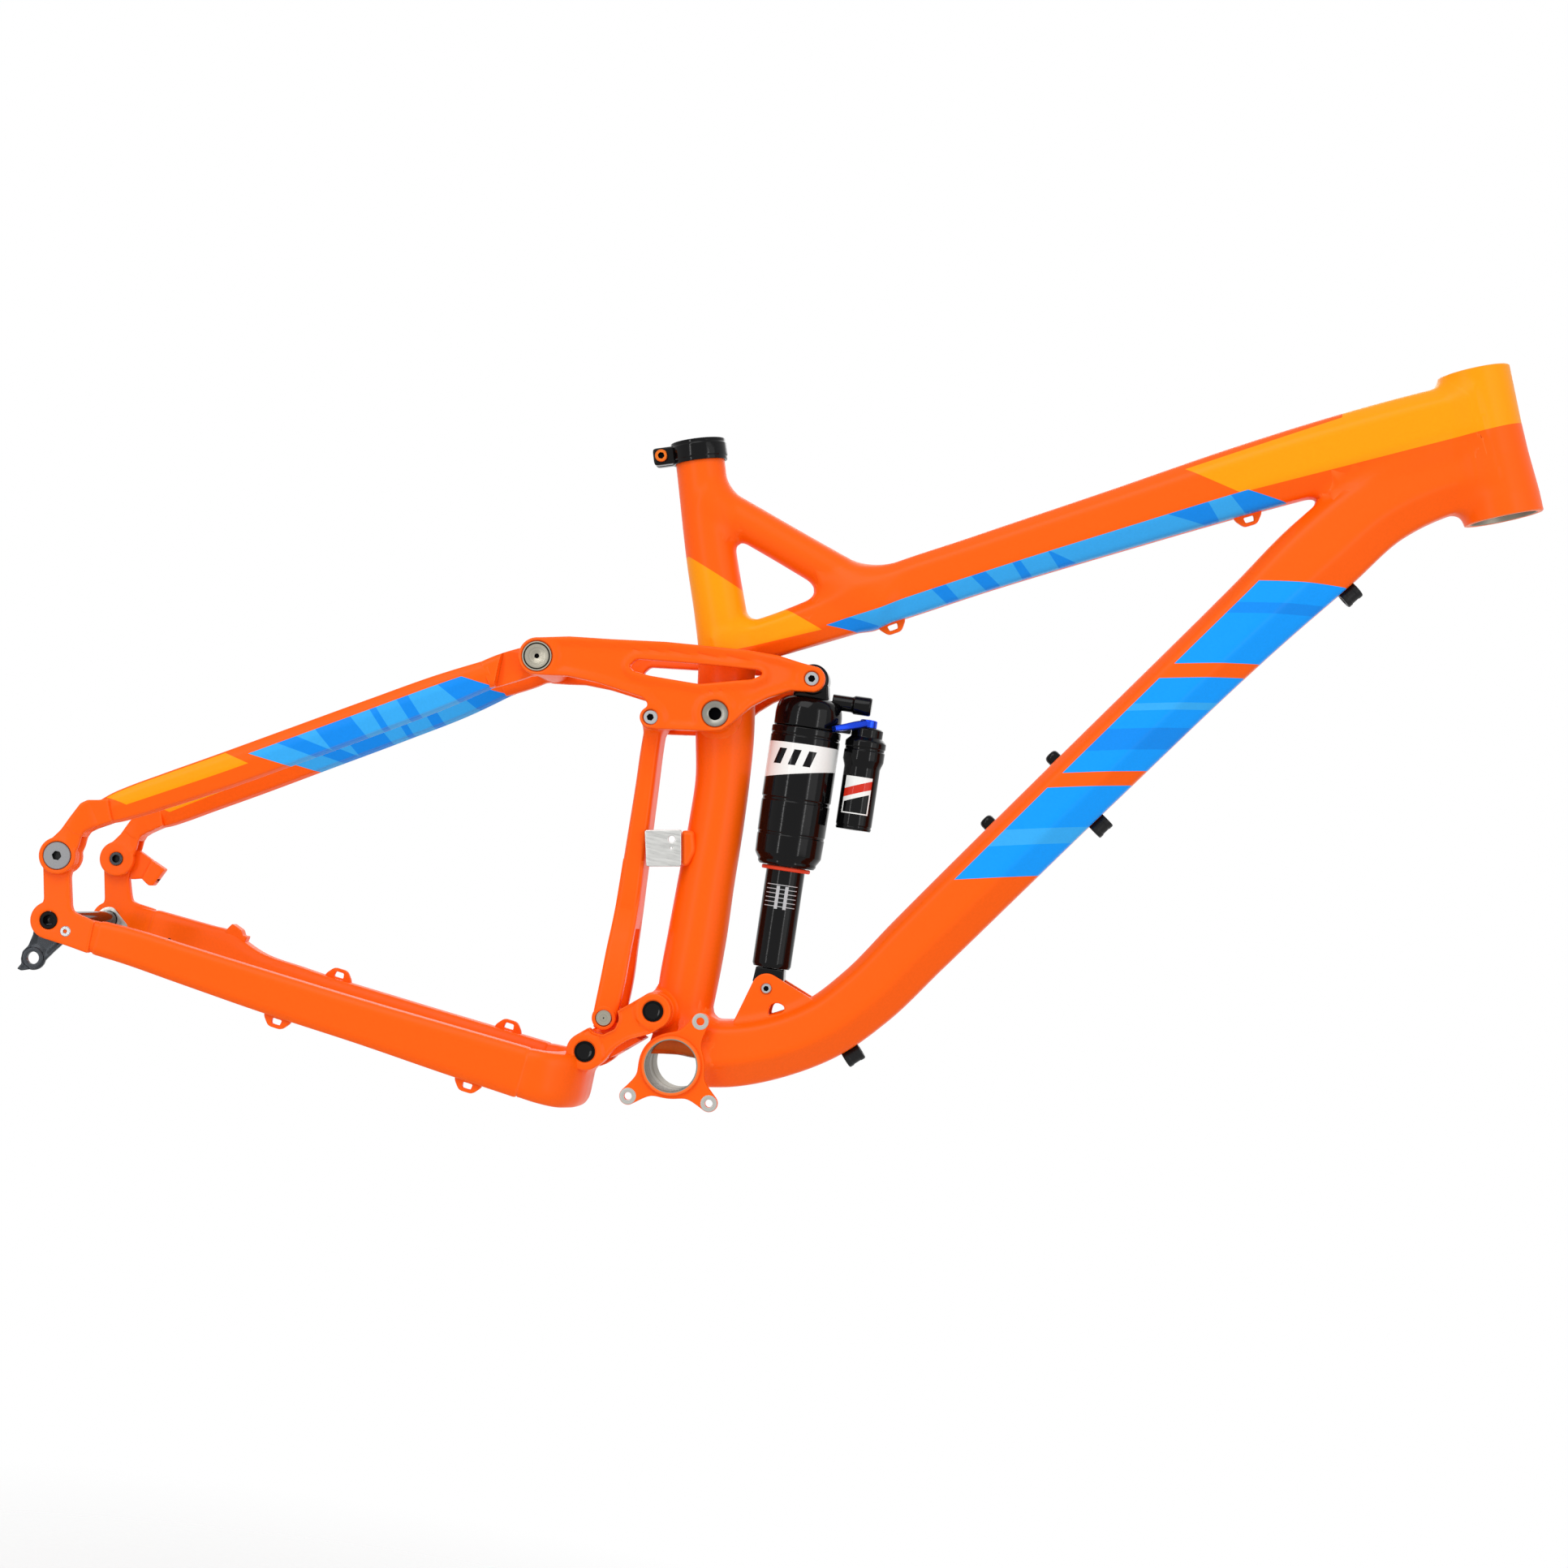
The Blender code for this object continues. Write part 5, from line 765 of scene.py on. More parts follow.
# Brushed sheet aluminium: pale, with fine streaks one way.
brushed_alloy = finish("brushed_aluminium", "#C9C9C6", metallic=1.0, rough=0.34, vary=0.12, grain=1.2,
                       bump=0.1,
                       stretch=(0.12, 1.0, 1.0))
plate_line = eased([(-52.7, 154.9), (-46.4, 130.4), (-22.6, 135.4), (-27.9, 160.4)], 1.2, True)
points, faces = forged(plate_line, [circle((-33.0, 152.5), 2.5), circle((-32.2, 146.5), 0.9, 16)],
                       PLATE_THICK, 0.5)
points[:, 1] -= PLATE_FACE + PLATE_THICK / 2
piece("front_derailleur_plate", points, faces, brushed_alloy, "front_triangle", ["front_derailleur_mount"])
boss_line = eased([(-28.2, 160.0), (-23.0, 135.6), (-18.6, 136.8), (-15.4, 148.0), (-19.6, 161.4)], 3.0,
                  True)
points, faces = forged(boss_line, [], 14.0, 3.4, None, 1.4, 0.8)
points[:, 1] -= 13.0
piece("front_derailleur_boss", points, faces, orange_coat, "front_triangle")

# Cable guides: small alloy lugs welded to the tubes, each with a slot that a zip tie and a cable pass
# through.
guide_line = eased([(-10.0, -4.0), (10.0, -4.0), (10.0, 1.0), (4.8, 7.4), (-4.8, 7.4), (-10.0, 1.0)], 2.4,
                   True)
guide_slot = eased([(-3.6, 1.0), (3.6, 1.0), (3.0, 5.0), (-3.0, 5.0)], 1.0, True)
guide_points, guide_faces = forged(guide_line, [guide_slot], 5.0, 0.8, spacing=1.6, step=0.8)


def at_x(rows, x):
    """The row of a line at one x, with the way along it there."""
    along, _, up = rails(rows)
    return [np.array([np.interp(x, rows[:, 0], column[:, k]) for k in range(column.shape[1])])
            for column in (rows, along, up)]


for label, x in (("rear", 74.5), ("front", 299.7)):
    row, ahead, up = at_x(top_rows, x)
    lug = placed(guide_points, row[:3] - up * row[3] / 2, ahead, -up)
    piece(f"top_tube_guide_{label}", lug, guide_faces, orange_coat, "front_triangle",
          [f"top_tube_guide_{label}"])

# Cable clips: black moulded ferrules screwed to the underside of the down tube.
# Black nylon: dark grey, half matt, with a fine moulded grain.
black_nylon = finish("black_nylon", "#0D0D0E", rough=0.42, vary=0.08, grain=0.6, bump=0.12, specular=0.22)
ferrule = eased([(2.6, -6.4), (5.8, -6.4), (6.4, -5.8), (6.4, -3.0), (6.0, -2.6), (6.0, 2.6), (6.4, 3.0),
                 (6.4, 5.8),
                 (5.8, 6.4), (2.6, 6.4)], 0.3, True)
for number, x in enumerate((364.0, 230.7, 100.8), 1):
    row, ahead, up = at_x(down_rows, x)
    points, faces, uv = spun(ferrule, row[:3] - up * (row[3] / 2 + 4.2), ahead, 40, True)
    piece(f"cable_clip_{number}", points, faces, black_nylon, "front_triangle", [f"cable_clip_{number}"])

# Bottle bolts: two black button-head bolts in riveted nuts on top of the down tube, each on a low orange
# boss.
button = [(0.01, 4.4), (1.7, 4.4), (1.7, 6.4), (2.2, 6.4), (3.8, 6.0), (4.8, 4.8), (5.1, 3.3), (5.1, 0.3),
          (2.5, 0.3),
          (2.5, -6.0), (0.01, -6.0)]
raised = eased([(2.6, -4.0), (7.4, -4.0), (6.6, 0.2), (2.6, 0.2)], 0.6, True)
for label, x in (("lower", 200.6), ("upper", 236.0)):
    row, ahead, up = at_x(down_rows, x)
    seat = row[:3] + up * row[3] / 2
    points, faces, uv = spun(button, seat, up, 48, hexagon=(1, 2))
    piece(f"bottle_bolt_{label}", points, faces, gloss_black, "front_triangle", [f"bottle_bolt_{label}"])
    points, faces, uv = spun(raised, seat, up, 48, True)
    piece(f"bottle_boss_{label}", points, faces, orange_coat, "front_triangle")

# Lower shock bolt: a steel screw across the two shock mounts.
# Zinc-plated steel: a little darker and bluer than aluminium, with turned rings, and its hex sockets
# painted near black as shade.
plated_steel = finish("plated_steel", "#B4B6B8", PAINTED_RECESS_SHADE, metallic=1.0, rough=0.26, vary=0.08, grain=0.5,
                      bump=0.1,
                      source="UV")
profile, flats, _ = headed(2.6, 3.6, 18.0, 1.7)
points, faces, uv = spun(profile, (52.0, 0, 64.8), (0, 1, 0), 48, False, flats)
piece("shock_lower_bolt", points, faces, plated_steel, "front_triangle", ["shock_lower_bolt"],
      uv)

# Rocker: two forged alloy plates that hang on the seat tube and carry the seatstays behind, the strut below
# and the shock in front. Each has a long window, a dished web between raised rims, and flush bosses for its
# four pins.
SEATSTAY_PIVOT, ROCKER_PIVOT = (-147.1, 256.9), (-19.8, 243.1)
STRUT_TOP, SHOCK_TOP = (-62.6, 231.7), (39.5, 280.9)
ROCKER_THICK = 10.0
ROCKER_LINE = [(-170.0, 46.5), (-120.0, 46.5), (-62.6, 38.0), (-34.0, 33.8), (-6.0, 33.8), (28.0, 19.5),
               (60.0, 19.5)]


def arc(centre, radius, start, stop, count=24):
    turn = np.radians(np.linspace(start, stop, count))
    return np.column_stack([centre[0] + radius * np.cos(turn), centre[1] + radius * np.sin(turn)]).tolist()


def smooth_loop(loop, count, soft):
    """A closed loop stepped evenly, with its waves damped by a Gaussian of width soft, a share of its
    length."""
    ring = np.vstack([loop, loop[:1]])
    reach = np.concatenate([[0.0], np.cumsum(np.linalg.norm(np.diff(ring, axis=0), axis=1))])
    step = np.linspace(0.0, reach[-1], count, endpoint=False)
    even = np.column_stack([np.interp(step, reach, ring[:, k]) for k in (0, 1)])
    wave = np.fft.fftfreq(count, 1.0 / count)[:, None]
    return np.fft.ifft(np.fft.fft(even, axis=0) * np.exp(-2.0 * (np.pi * wave * soft) ** 2), axis=0).real


def ramp(value, low, high):
    """Smooth step from 0 to 1: t * t * (3 - 2 t)."""
    t = np.clip((value - low) / (high - low), 0.0, 1.0)
    return t * t * (3.0 - 2.0 * t)


rocker_loop = (
    arc(SEATSTAY_PIVOT, 13.0, 265.0, 95.0)
    + [(-128.0, 274.6), (-99.7, 278.7), (-63.0, 284.7), (-40.7, 287.2), (-8.8, 290.4), (14.6, 291.7),
       (30.4, 290.2)]
    + arc(SHOCK_TOP, 9.2, 70.0, -70.0)
    + [(27.0, 270.0), (12.5, 261.2), (3.0, 252.8), (-7.0, 239.2), (-13.5, 232.6), (-22.0, 230.4),
       (-57.0, 224.6)]
    + arc(STRUT_TOP, 7.4, 275.0, 120.0)
    + [(-66.6, 241.0), (-71.0, 244.0), (-83.0, 245.3), (-105.0, 247.6), (-124.0, 247.6), (-137.0, 245.4)]
)
rocker_window = eased([(-84.0, 263.5), (-80.0, 269.0), (-38.2, 274.6), (4.0, 279.0), (6.6, 276.5),
                       (0.0, 271.5),
                       (-34.7, 261.0), (-69.0, 259.6), (-81.0, 260.4)], 2.0, True)
rocker_pins = [(SEATSTAY_PIVOT, 6.0, 10.4), (ROCKER_PIVOT, 7.5, 9.1), (STRUT_TOP, 4.0, 5.0),
               (SHOCK_TOP, 4.0, 5.0)]


def rocker_dish(x, z, depth):
    away = np.min([np.hypot(x - c[0], z - c[1]) - head for c, _, head in rocker_pins], axis=0)
    return -1.7 * ramp(depth, 3.2, 6.2) * ramp(away, 3.4, 7.0)


rocker_holes = [circle(centre, head + 0.35, 56) for centre, _, head in rocker_pins]
points, faces = forged(smooth_loop(np.array(rocker_loop), 420, 0.0016), [rocker_window] + rocker_holes,
                       ROCKER_THICK,
                       1.5, rocker_dish, 2.2, 1.1)
spread = np.linspace(-7.0, 7.0, 9)[None]
offset = np.interp(points[:, :1] + spread, *zip(*ROCKER_LINE)).mean(axis=1)
for side, sign in (("right", -1.0), ("left", 1.0)):
    plate = np.column_stack([points[:, 0], sign * (offset + points[:, 1]), points[:, 2]])
    piece(f"rocker_{side}", plate, faces, orange_coat, "rocker", [f"rocker_{side}"])
rocker_half = {centre: float(np.interp(centre[0], *zip(*ROCKER_LINE))) + ROCKER_THICK / 2 - 0.2
               for centre, _, _ in rocker_pins}
# Sleeves behind the heads: the walls of the recesses in which the pins sit.
for number, (centre, radius, head) in enumerate(rocker_pins, 1):
    for side, sign in (("right", -1.0), ("left", 1.0)):
        face = rocker_half[centre]
        wall = eased([(head + 0.15, face - 1.0), (head + 1.2, face - 1.0), (head + 1.2, face - 8.0),
                      (radius, face - 8.0),
                      (radius, face - 2.7), (head + 0.15, face - 2.7)], 0.1, True)
        points, faces, uv = spun(wall, (centre[0], 0, centre[1]), (0, sign, 0), 56, True)
        piece(f"rocker_seat_{number}_{side}", points, faces, orange_coat, "rocker")

# Rocker pins: hollow steel axle at the seat tube, an axle with wide brushed caps at the seatstays, and two
# socket bolts at the strut and the shock.
# Grey hard-anodised alloy: darker than bare metal, satin, with turned rings, and the axle's bore painted
# near black as shade.
grey_alloy = finish("grey_hard_anodised", "#8B8880", PAINTED_RECESS_SHADE, metallic=1.0, rough=0.32, vary=0.1, grain=0.5,
                    bump=0.14,
                    source="UV")
for name, centre, radius, head, socket, bore, material in (
        ("rocker_pivot_axle", ROCKER_PIVOT, 7.5, 9.1, 0.0, 4.4, grey_alloy),
        ("strut_upper_bolt", STRUT_TOP, 4.0, 5.0, 2.2, 0.0, plated_steel),
        ("shock_upper_bolt", SHOCK_TOP, 4.0, 5.0, 2.2, 0.0, plated_steel)):
    profile, flats, deep = headed(radius, head, rocker_half[centre], socket, bore)
    points, faces, uv = spun(profile, (centre[0], 0, centre[1]), (0, 1, 0), 60, False, flats, deep)
    piece(name, points, faces, material, "rocker", [name], uv)
face = rocker_half[SEATSTAY_PIVOT]
cap = [(0.01, 1.6), (1.5, 1.6), (1.6, 0.2), (1.9, 0.0), (8.3, 0.0), (8.5, 0.5), (9.1, 0.5), (9.3, 0.0),
       (10.1, 0.0),
       (10.4, 0.4), (10.4, 2.6), (6.0, 2.6)]
profile = [(r, a - face) for r, a in cap] + [(r, face - a) for r, a in reversed(cap)]
# The cap's centre recess, the rows named in sunk, is painted near black as shade.
points, faces, uv = spun(profile, (SEATSTAY_PIVOT[0], 0, SEATSTAY_PIVOT[1]), (0, 1, 0), 72,
                         sunk=(1, 2, 21, 22))
# Brushed cap alloy: a warm mid grey with fine rings, and a dark line where the cap's groove lies in shadow.
groove = ("#2A2824", [("UV", (9.2, -1000.0), (9.2, 1000.0)), ("UV", (8.4, 1000.0), (8.4, -1000.0))])
cap_alloy = finish("brushed_cap_aluminium", "#A19C8E", [groove] + PAINTED_RECESS_SHADE, metallic=1.0, rough=0.34,
                   vary=0.14, grain=0.35,
                   bump=0.18, source="UV")
piece("seatstay_pivot_axle", points, faces, cap_alloy, "rocker", ["seatstay_pivot_axle"], uv)

# Strut: a forged link behind the seat tube, a broad beam with a cross boss on top and two legs that
# straddle the lower link. Its lower pin has plain flush caps.
STRUT_FOOT = (-53.0, 22.2)
BEAM = [(-62.5, 0, 230.0, 13.0, 35.0), (-61.8, 0, 212.0, 13.2, 36.5), (-60.0, 0, 187.0, 13.6, 37.0),
        (-57.1, 0, 141.0, 15.0, 37.0), (-54.4, 0, 98.0, 16.2, 37.0), (-54.0, 0, 86.0, 16.0, 33.0)]
LEG = [(-56.6, 13.4, 133.0, 14.9, 9.6), (-55.6, 13.4, 117.0, 15.4, 9.6), (-54.4, 13.9, 97.0, 16.1, 9.8),
       (-53.9, 16.2, 84.0, 16.4, 10.2), (-53.6, 19.0, 73.0, 16.6, 10.4), (-52.6, 24.0, 48.0, 17.0, 10.2),
       (-52.6, 25.0, 36.0, 16.8, 9.8),
       (-52.9, 25.0, 23.0, 16.2, 9.0)]
BEAM_SECTION = [(0.0, 1.0), (0.8, 1.0), (1.0, 0.72), (1.0, -0.72), (0.8, -1.0), (0.0, -1.0)]
beam_loop = section(BEAM_SECTION, 64, 0.012)
top_boss = rod_gap((STRUT_TOP[0], -31.2, STRUT_TOP[1]), (STRUT_TOP[0], 31.2, STRUT_TOP[1]), 8.3, 8.3)
points, _ = skin(run(BEAM, 150), beam_loop)
points = weld(points, outward(points), [top_boss], 5.0)
parts = [(points, grid_faces(150, 64))]
for sign in (-1.0, 1.0):
    leg = np.array(LEG) * (1, sign, 1, 1, 1)
    points, _ = skin(run(leg, 90), beam_loop)
    parts.append((points.reshape(-1, 3), grid_faces(90, 64)))
    foot = eased([(5.9, 20.0), (7.9, 20.0), (8.4, 20.5), (8.4, 29.5), (7.9, 30.0), (5.9, 30.0)], 0.4, True)
    parts.append(spun(foot, (STRUT_FOOT[0], 0, STRUT_FOOT[1]), (0, sign, 0), 56, True)[:2])
bar_end = eased([(4.3, -31.2), (7.7, -31.2), (8.3, -30.6), (8.3, 30.6), (7.7, 31.2), (4.3, 31.2)], 0.3, True)
parts.append(spun(bar_end, (STRUT_TOP[0], 0, STRUT_TOP[1]), (0, 1, 0), 56, True)[:2])


def gathered(parts):
    """Several closed surfaces as one set of points and faces."""
    starts = np.cumsum([0] + [len(points) for points, _ in parts])
    faces = [[index + start for index in face] for (_, group), start in zip(parts, starts) for face in group]
    return np.vstack([points for points, _ in parts]), faces


points, faces = gathered(parts)
piece("strut", points, faces, orange_coat, "strut", ["strut"])
profile, _, _ = headed(4.0, 5.6, 30.2, 0.0)
points, faces, uv = spun(profile, (STRUT_FOOT[0], 0, STRUT_FOOT[1]), (0, 1, 0), 56)
piece("strut_lower_pin", points, faces, cap_alloy, "strut", ["strut_lower_pin"], uv)

# Lower link: a short forged link between the seat tube and the chainstay yoke, two arms joined by a bridge,
# with a lug for the strut. Its pivots are black axles whose caps sit in ring bosses.
MAIN_PIVOT, CHAINSTAY_PIVOT = (-19.7, 34.2), (-60.2, -2.7)
LINK_IN, LINK_OUT = 24.3, 37.8
link_way = np.subtract(MAIN_PIVOT, CHAINSTAY_PIVOT)
link_turn = math.degrees(math.atan2(link_way[1], link_way[0]))
link_loop = np.array(arc(MAIN_PIVOT, 12.4, link_turn - 90.0, link_turn + 90.0, 40)
                     + arc(CHAINSTAY_PIVOT, 13.0, link_turn + 90.0, link_turn + 270.0, 40))
link_loop = smooth_loop(link_loop, 260, 0.0)
from_foot = link_loop - STRUT_FOOT
reach = np.linalg.norm(from_foot, axis=1, keepdims=True)
link_loop = np.array(STRUT_FOOT) + from_foot / reach * np.maximum(reach, 11.4)
link_way = link_way / np.linalg.norm(link_way)
link_up = np.array([-link_way[1], link_way[0]])
link_ends = [MAIN_PIVOT, CHAINSTAY_PIVOT]
far = (link_loop - CHAINSTAY_PIVOT) @ link_way
waist = 4.4 * ramp(far, 4.0, 22.0) * (1.0 - ramp(far, 28.0, 48.0))
link_loop = link_loop + np.where((link_loop - CHAINSTAY_PIVOT) @ link_up < 0.0, waist, 0.0)[:,
                                                                                            None] * link_up


def link_dish(x, z, depth):
    away = np.min([np.hypot(x - c[0], z - c[1]) for c in link_ends], axis=0)
    return -1.8 * ramp(away, 11.8, 13.6) * ramp(depth, 0.2, 2.0)


link_holes = [circle(end, 7.5, 56) for end in link_ends]
arm, arm_faces = forged(smooth_loop(link_loop, 260, 0.002), link_holes, LINK_OUT - LINK_IN, 1.4, link_dish,
                        1.8, 0.9)
parts = [(arm + (0, sign * (LINK_IN + LINK_OUT) / 2, 0), arm_faces) for sign in (-1.0, 1.0)]
bridge = (arc(CHAINSTAY_PIVOT, 16.6, link_turn - 48.0, link_turn + 48.0, 20)
          + arc(STRUT_FOOT, 9.0, link_turn + 175.0, link_turn + 5.0, 24)
          + arc(MAIN_PIVOT, 22.4, link_turn + 180.0 - 34.0, link_turn + 180.0 + 34.0, 20))
hole = [circle(STRUT_FOOT, 5.4, 32)]
parts.append(forged(smooth_loop(np.array(bridge), 160, 0.004), hole, 38.8, 1.0, None, 3.0, 1.2))
web = (arc(CHAINSTAY_PIVOT, 16.6, link_turn - 48.0, link_turn + 30.0, 20)
       + arc(MAIN_PIVOT, 22.4, link_turn + 180.0 - 15.0, link_turn + 180.0 + 34.0, 20))
parts.append(forged(smooth_loop(np.array(web), 120, 0.004), [], 2 * LINK_IN + 2.0, 0.5, None, 3.0, 1.4))
points, faces = gathered(parts)
piece("lower_link", points, faces, orange_coat, "lower_link", ["lower_link"])
for name, centre in (("main_pivot_axle", MAIN_PIVOT), ("chainstay_pivot_axle", CHAINSTAY_PIVOT)):
    face = LINK_OUT - 0.2
    cap = [(0.01, 0.75), (2.6, 0.6), (4.4, 0.2), (5.1, 0.0), (5.5, 0.0), (5.8, 0.5), (6.2, 0.5), (6.5, 0.0),
           (6.9, 0.0),
           (7.2, 0.4), (7.2, 2.6), (6.0, 2.6)]
    profile = [(r, a - face) for r, a in cap] + [(r, face - a) for r, a in reversed(cap)]
    points, faces, uv = spun(profile, (centre[0], 0, centre[1]), (0, 1, 0), 60)
    piece(name, points, faces, gloss_black, "lower_link", [name])
    for side, sign in (("right", -1.0), ("left", 1.0)):
        wall = eased([(7.3, face - 0.6), (8.2, face - 0.6), (8.2, face - 13.0), (6.2, face - 13.0),
                      (6.2, face - 2.8),
                      (7.3, face - 2.8)], 0.1, True)
        points, faces, uv = spun(wall, (centre[0], 0, centre[1]), (0, sign, 0), 56, True)
        piece(f"{name}_seat_{side}", points, faces, orange_coat, "lower_link")

# Chainstays: tapered alloy tubes, flat-sided and deeper towards the front, welded to a forged yoke that
# turns on the lower link. The left one is deeper behind, where the brake post stands on it.
CHAINSTAY_FRONT = [(-285.0, 57.0, -6.6, 28.6, 19.0), (-208.0, 52.0, -14.2, 30.3, 19.5),
                   (-150.0, 48.5, -20.0, 33.3, 20.0),
                   (-97.0, 45.5, -25.0, 35.6, 20.0)]
CHAINSTAY_REAR = {
    "right": [(-402.0, 69.0, 5.9, 23.6, 17.0), (-380.0, 67.5, 4.5, 24.8, 18.0),
              (-340.0, 63.0, -0.2, 26.4, 18.5)],
    "left": [(-402.0, 69.0, 9.5, 32.0, 17.0), (-380.0, 67.5, 7.9, 32.6, 18.0),
             (-358.0, 65.5, 5.4, 35.2, 18.3),
             (-345.0, 64.1, 4.1, 36.2, 18.4), (-334.0, 62.8, 0.9, 33.0, 18.5),
             (-322.0, 61.2, -1.6, 29.0, 18.6)],
}
STAY_SECTION = [(0.0, 1.0), (0.74, 0.98), (1.0, 0.7), (1.0, -0.66), (0.72, -0.98), (0.0, -1.0)]
stay_loop = section(STAY_SECTION, 72, 0.014)
SIDES = (("right", -1.0), ("left", 1.0))
chain_rows = {}
for side, sign in SIDES:
    rows = run(np.array(CHAINSTAY_REAR[side] + CHAINSTAY_FRONT) * (1, sign, 1, 1, 1), 320)
    chain_rows[side] = rows
    points, uv = skin(rows, stay_loop)
    edge = np.clip(np.minimum(np.arange(320), np.arange(320)[::-1]) / 3.0, 0.0, 1.0)
    middle = rows[:, None, :3]
    points = middle + (points - middle) * (0.93 + 0.07 * np.sqrt(1 - (1 - edge) ** 2))[:, None, None]
    piece(f"chainstay_{side}", points.reshape(-1, 3), grid_faces(320, 72), orange_coat, "chainstay",
          [f"chainstay_{side}"])

# Chainstay yoke: one forging that runs from stay to stay round the tyre, with a bearing boss across its
# front.
YOKE_HALF = [(-98.0, -45.5, -25.0, 34.0, 18.6), (-95.0, -45.4, -25.0, 34.6, 19.4),
             (-86.0, -44.4, -25.4, 36.0, 19.6),
             (-76.0, -38.4, -25.4, 37.6, 20.0), (-69.4, -27.0, -24.6, 38.0, 21.0),
             (-67.2, -13.0, -24.2, 38.0, 21.6),
             (-67.0, 0.0, -24.2, 38.0, 21.6)]


def level_skin(rows, loop):
    """An outline carried along a level line: across it is the way along turned by a quarter turn, and up is
    up."""
    along = np.gradient(rows[:, :3], axis=0)
    across = np.column_stack([-along[:, 1], along[:, 0], np.zeros(len(rows))])
    across /= np.linalg.norm(across, axis=1, keepdims=True)
    sides = loop[:, 0] * rows[:, 4:5] / 2
    rises = loop[:, 1] * rows[:, 3:4] / 2
    return rows[:, None, :3] + sides[..., None] * across[:, None] + rises[...,
                                                                          None] * np.array([0.0, 0.0, 1.0])


yoke_rows = run(np.array(YOKE_HALF + [(x, -y, z, h, w) for x, y, z, h, w in YOKE_HALF[-2::-1]]), 260)
boss_ends = [(CHAINSTAY_PIVOT[0], y, CHAINSTAY_PIVOT[1]) for y in (-24.0, 24.0)]
points = level_skin(yoke_rows, section(STAY_SECTION, 72, 0.02))
points = weld(points, outward(points), [rod_gap(*boss_ends, 11.5, 11.5)], 5.0)
boss = eased([(6.3, -24.0), (10.9, -24.0), (11.5, -23.4), (11.5, 23.4), (10.9, 24.0), (6.3, 24.0)], 0.4,
             True)
boss_mesh = spun(boss, (CHAINSTAY_PIVOT[0], 0, CHAINSTAY_PIVOT[1]), (0, 1, 0), 64, True)[:2]
points, faces = gathered([(points, grid_faces(260, 72)), boss_mesh])
piece("chainstay_yoke", points, faces, orange_coat, "chainstay", ["chainstay_yoke"])

# Chainstay cable guides: the same lugs as on the top tube, two below the right stay and two above the left
# one.
for side, label, x, way in (("right", "rear", -268.8, -1.0), ("right", "front", -131.4, -1.0),
                            ("left", "rear", -258.4, 1.0), ("left", "front", -129.2, 1.0)):
    row, ahead, up = at_x(chain_rows[side], x)
    ahead, up = np.array([ahead[0], 0.0, ahead[2]]), np.array([-ahead[2], 0.0, ahead[0]])
    lug = placed(guide_points, row[:3] + up * way * row[3] / 2, ahead, up * way)
    piece(f"{side}_guide_{label}", lug, guide_faces, orange_coat, "chainstay", [f"{side}_guide_{label}"])

# Dropouts: forged ends, each a plate with an axle boss below and a tongue above, and a block that is welded
# into the end of its chainstay. The left one carries the upper post for the brake.
REAR_AXLE, DROPOUT_PIVOT = (-435.5, 11.0), (-437.5, 55.7)
DROPOUT_IN, DROPOUT_OUT = 71.0, 79.0
tongue_rear = arc(DROPOUT_PIVOT, 12.5, -35.0, 215.0) + [(-446.0, 42.0), (-441.9, 25.0)] + arc(REAR_AXLE,
                                                                                              12.9, 120.0,
                                                                                              262.0)
TONGUE_FRONT = {
    "right": [(-420.0, -3.4), (-404.0, -5.6), (-404.0, 16.6), (-416.5, 19.2), (-420.6, 20.6), (-422.4, 24.0),
              (-427.4, 43.0)],
    "left": [(-420.0, -4.2), (-404.0, -6.4), (-404.0, 25.2), (-417.6, 26.6), (-421.6, 27.6), (-423.4, 31.0),
             (-427.4, 43.0)],
}
tongue_holes = [circle(REAR_AXLE, 6.3, 48), circle(DROPOUT_PIVOT, 8.8, 48)]
BLOCK = {
    "right": [(-428.0, 75.0, 5.0, 12.0, 7.4), (-419.0, 74.4, 6.4, 19.0, 8.6),
              (-410.0, 72.0, 6.2, 21.6, 12.6),
              (-403.0, 69.8, 6.0, 21.8, 15.0), (-396.0, 69.0, 5.6, 21.8, 15.0)],
    "left": [(-428.0, 75.0, 9.0, 18.0, 7.4), (-419.0, 74.4, 10.4, 27.0, 8.6),
             (-410.0, 72.0, 9.9, 29.6, 12.6),
             (-403.0, 69.8, 9.5, 30.0, 15.0), (-396.0, 69.0, 9.3, 30.0, 15.0)],
}
post_loop = eased([(-432.0, 62.0), (-424.9, 65.0), (-412.0, 59.2), (-408.0, 44.0), (-418.7, 45.0),
                   (-426.6, 42.6)], 2.2, True)
post_block = eased([(-413.6, 59.8), (-402.4, 55.2), (-408.6, 41.8), (-411.8, 41.2), (-417.8, 45.0)], 1.2,
                   True)
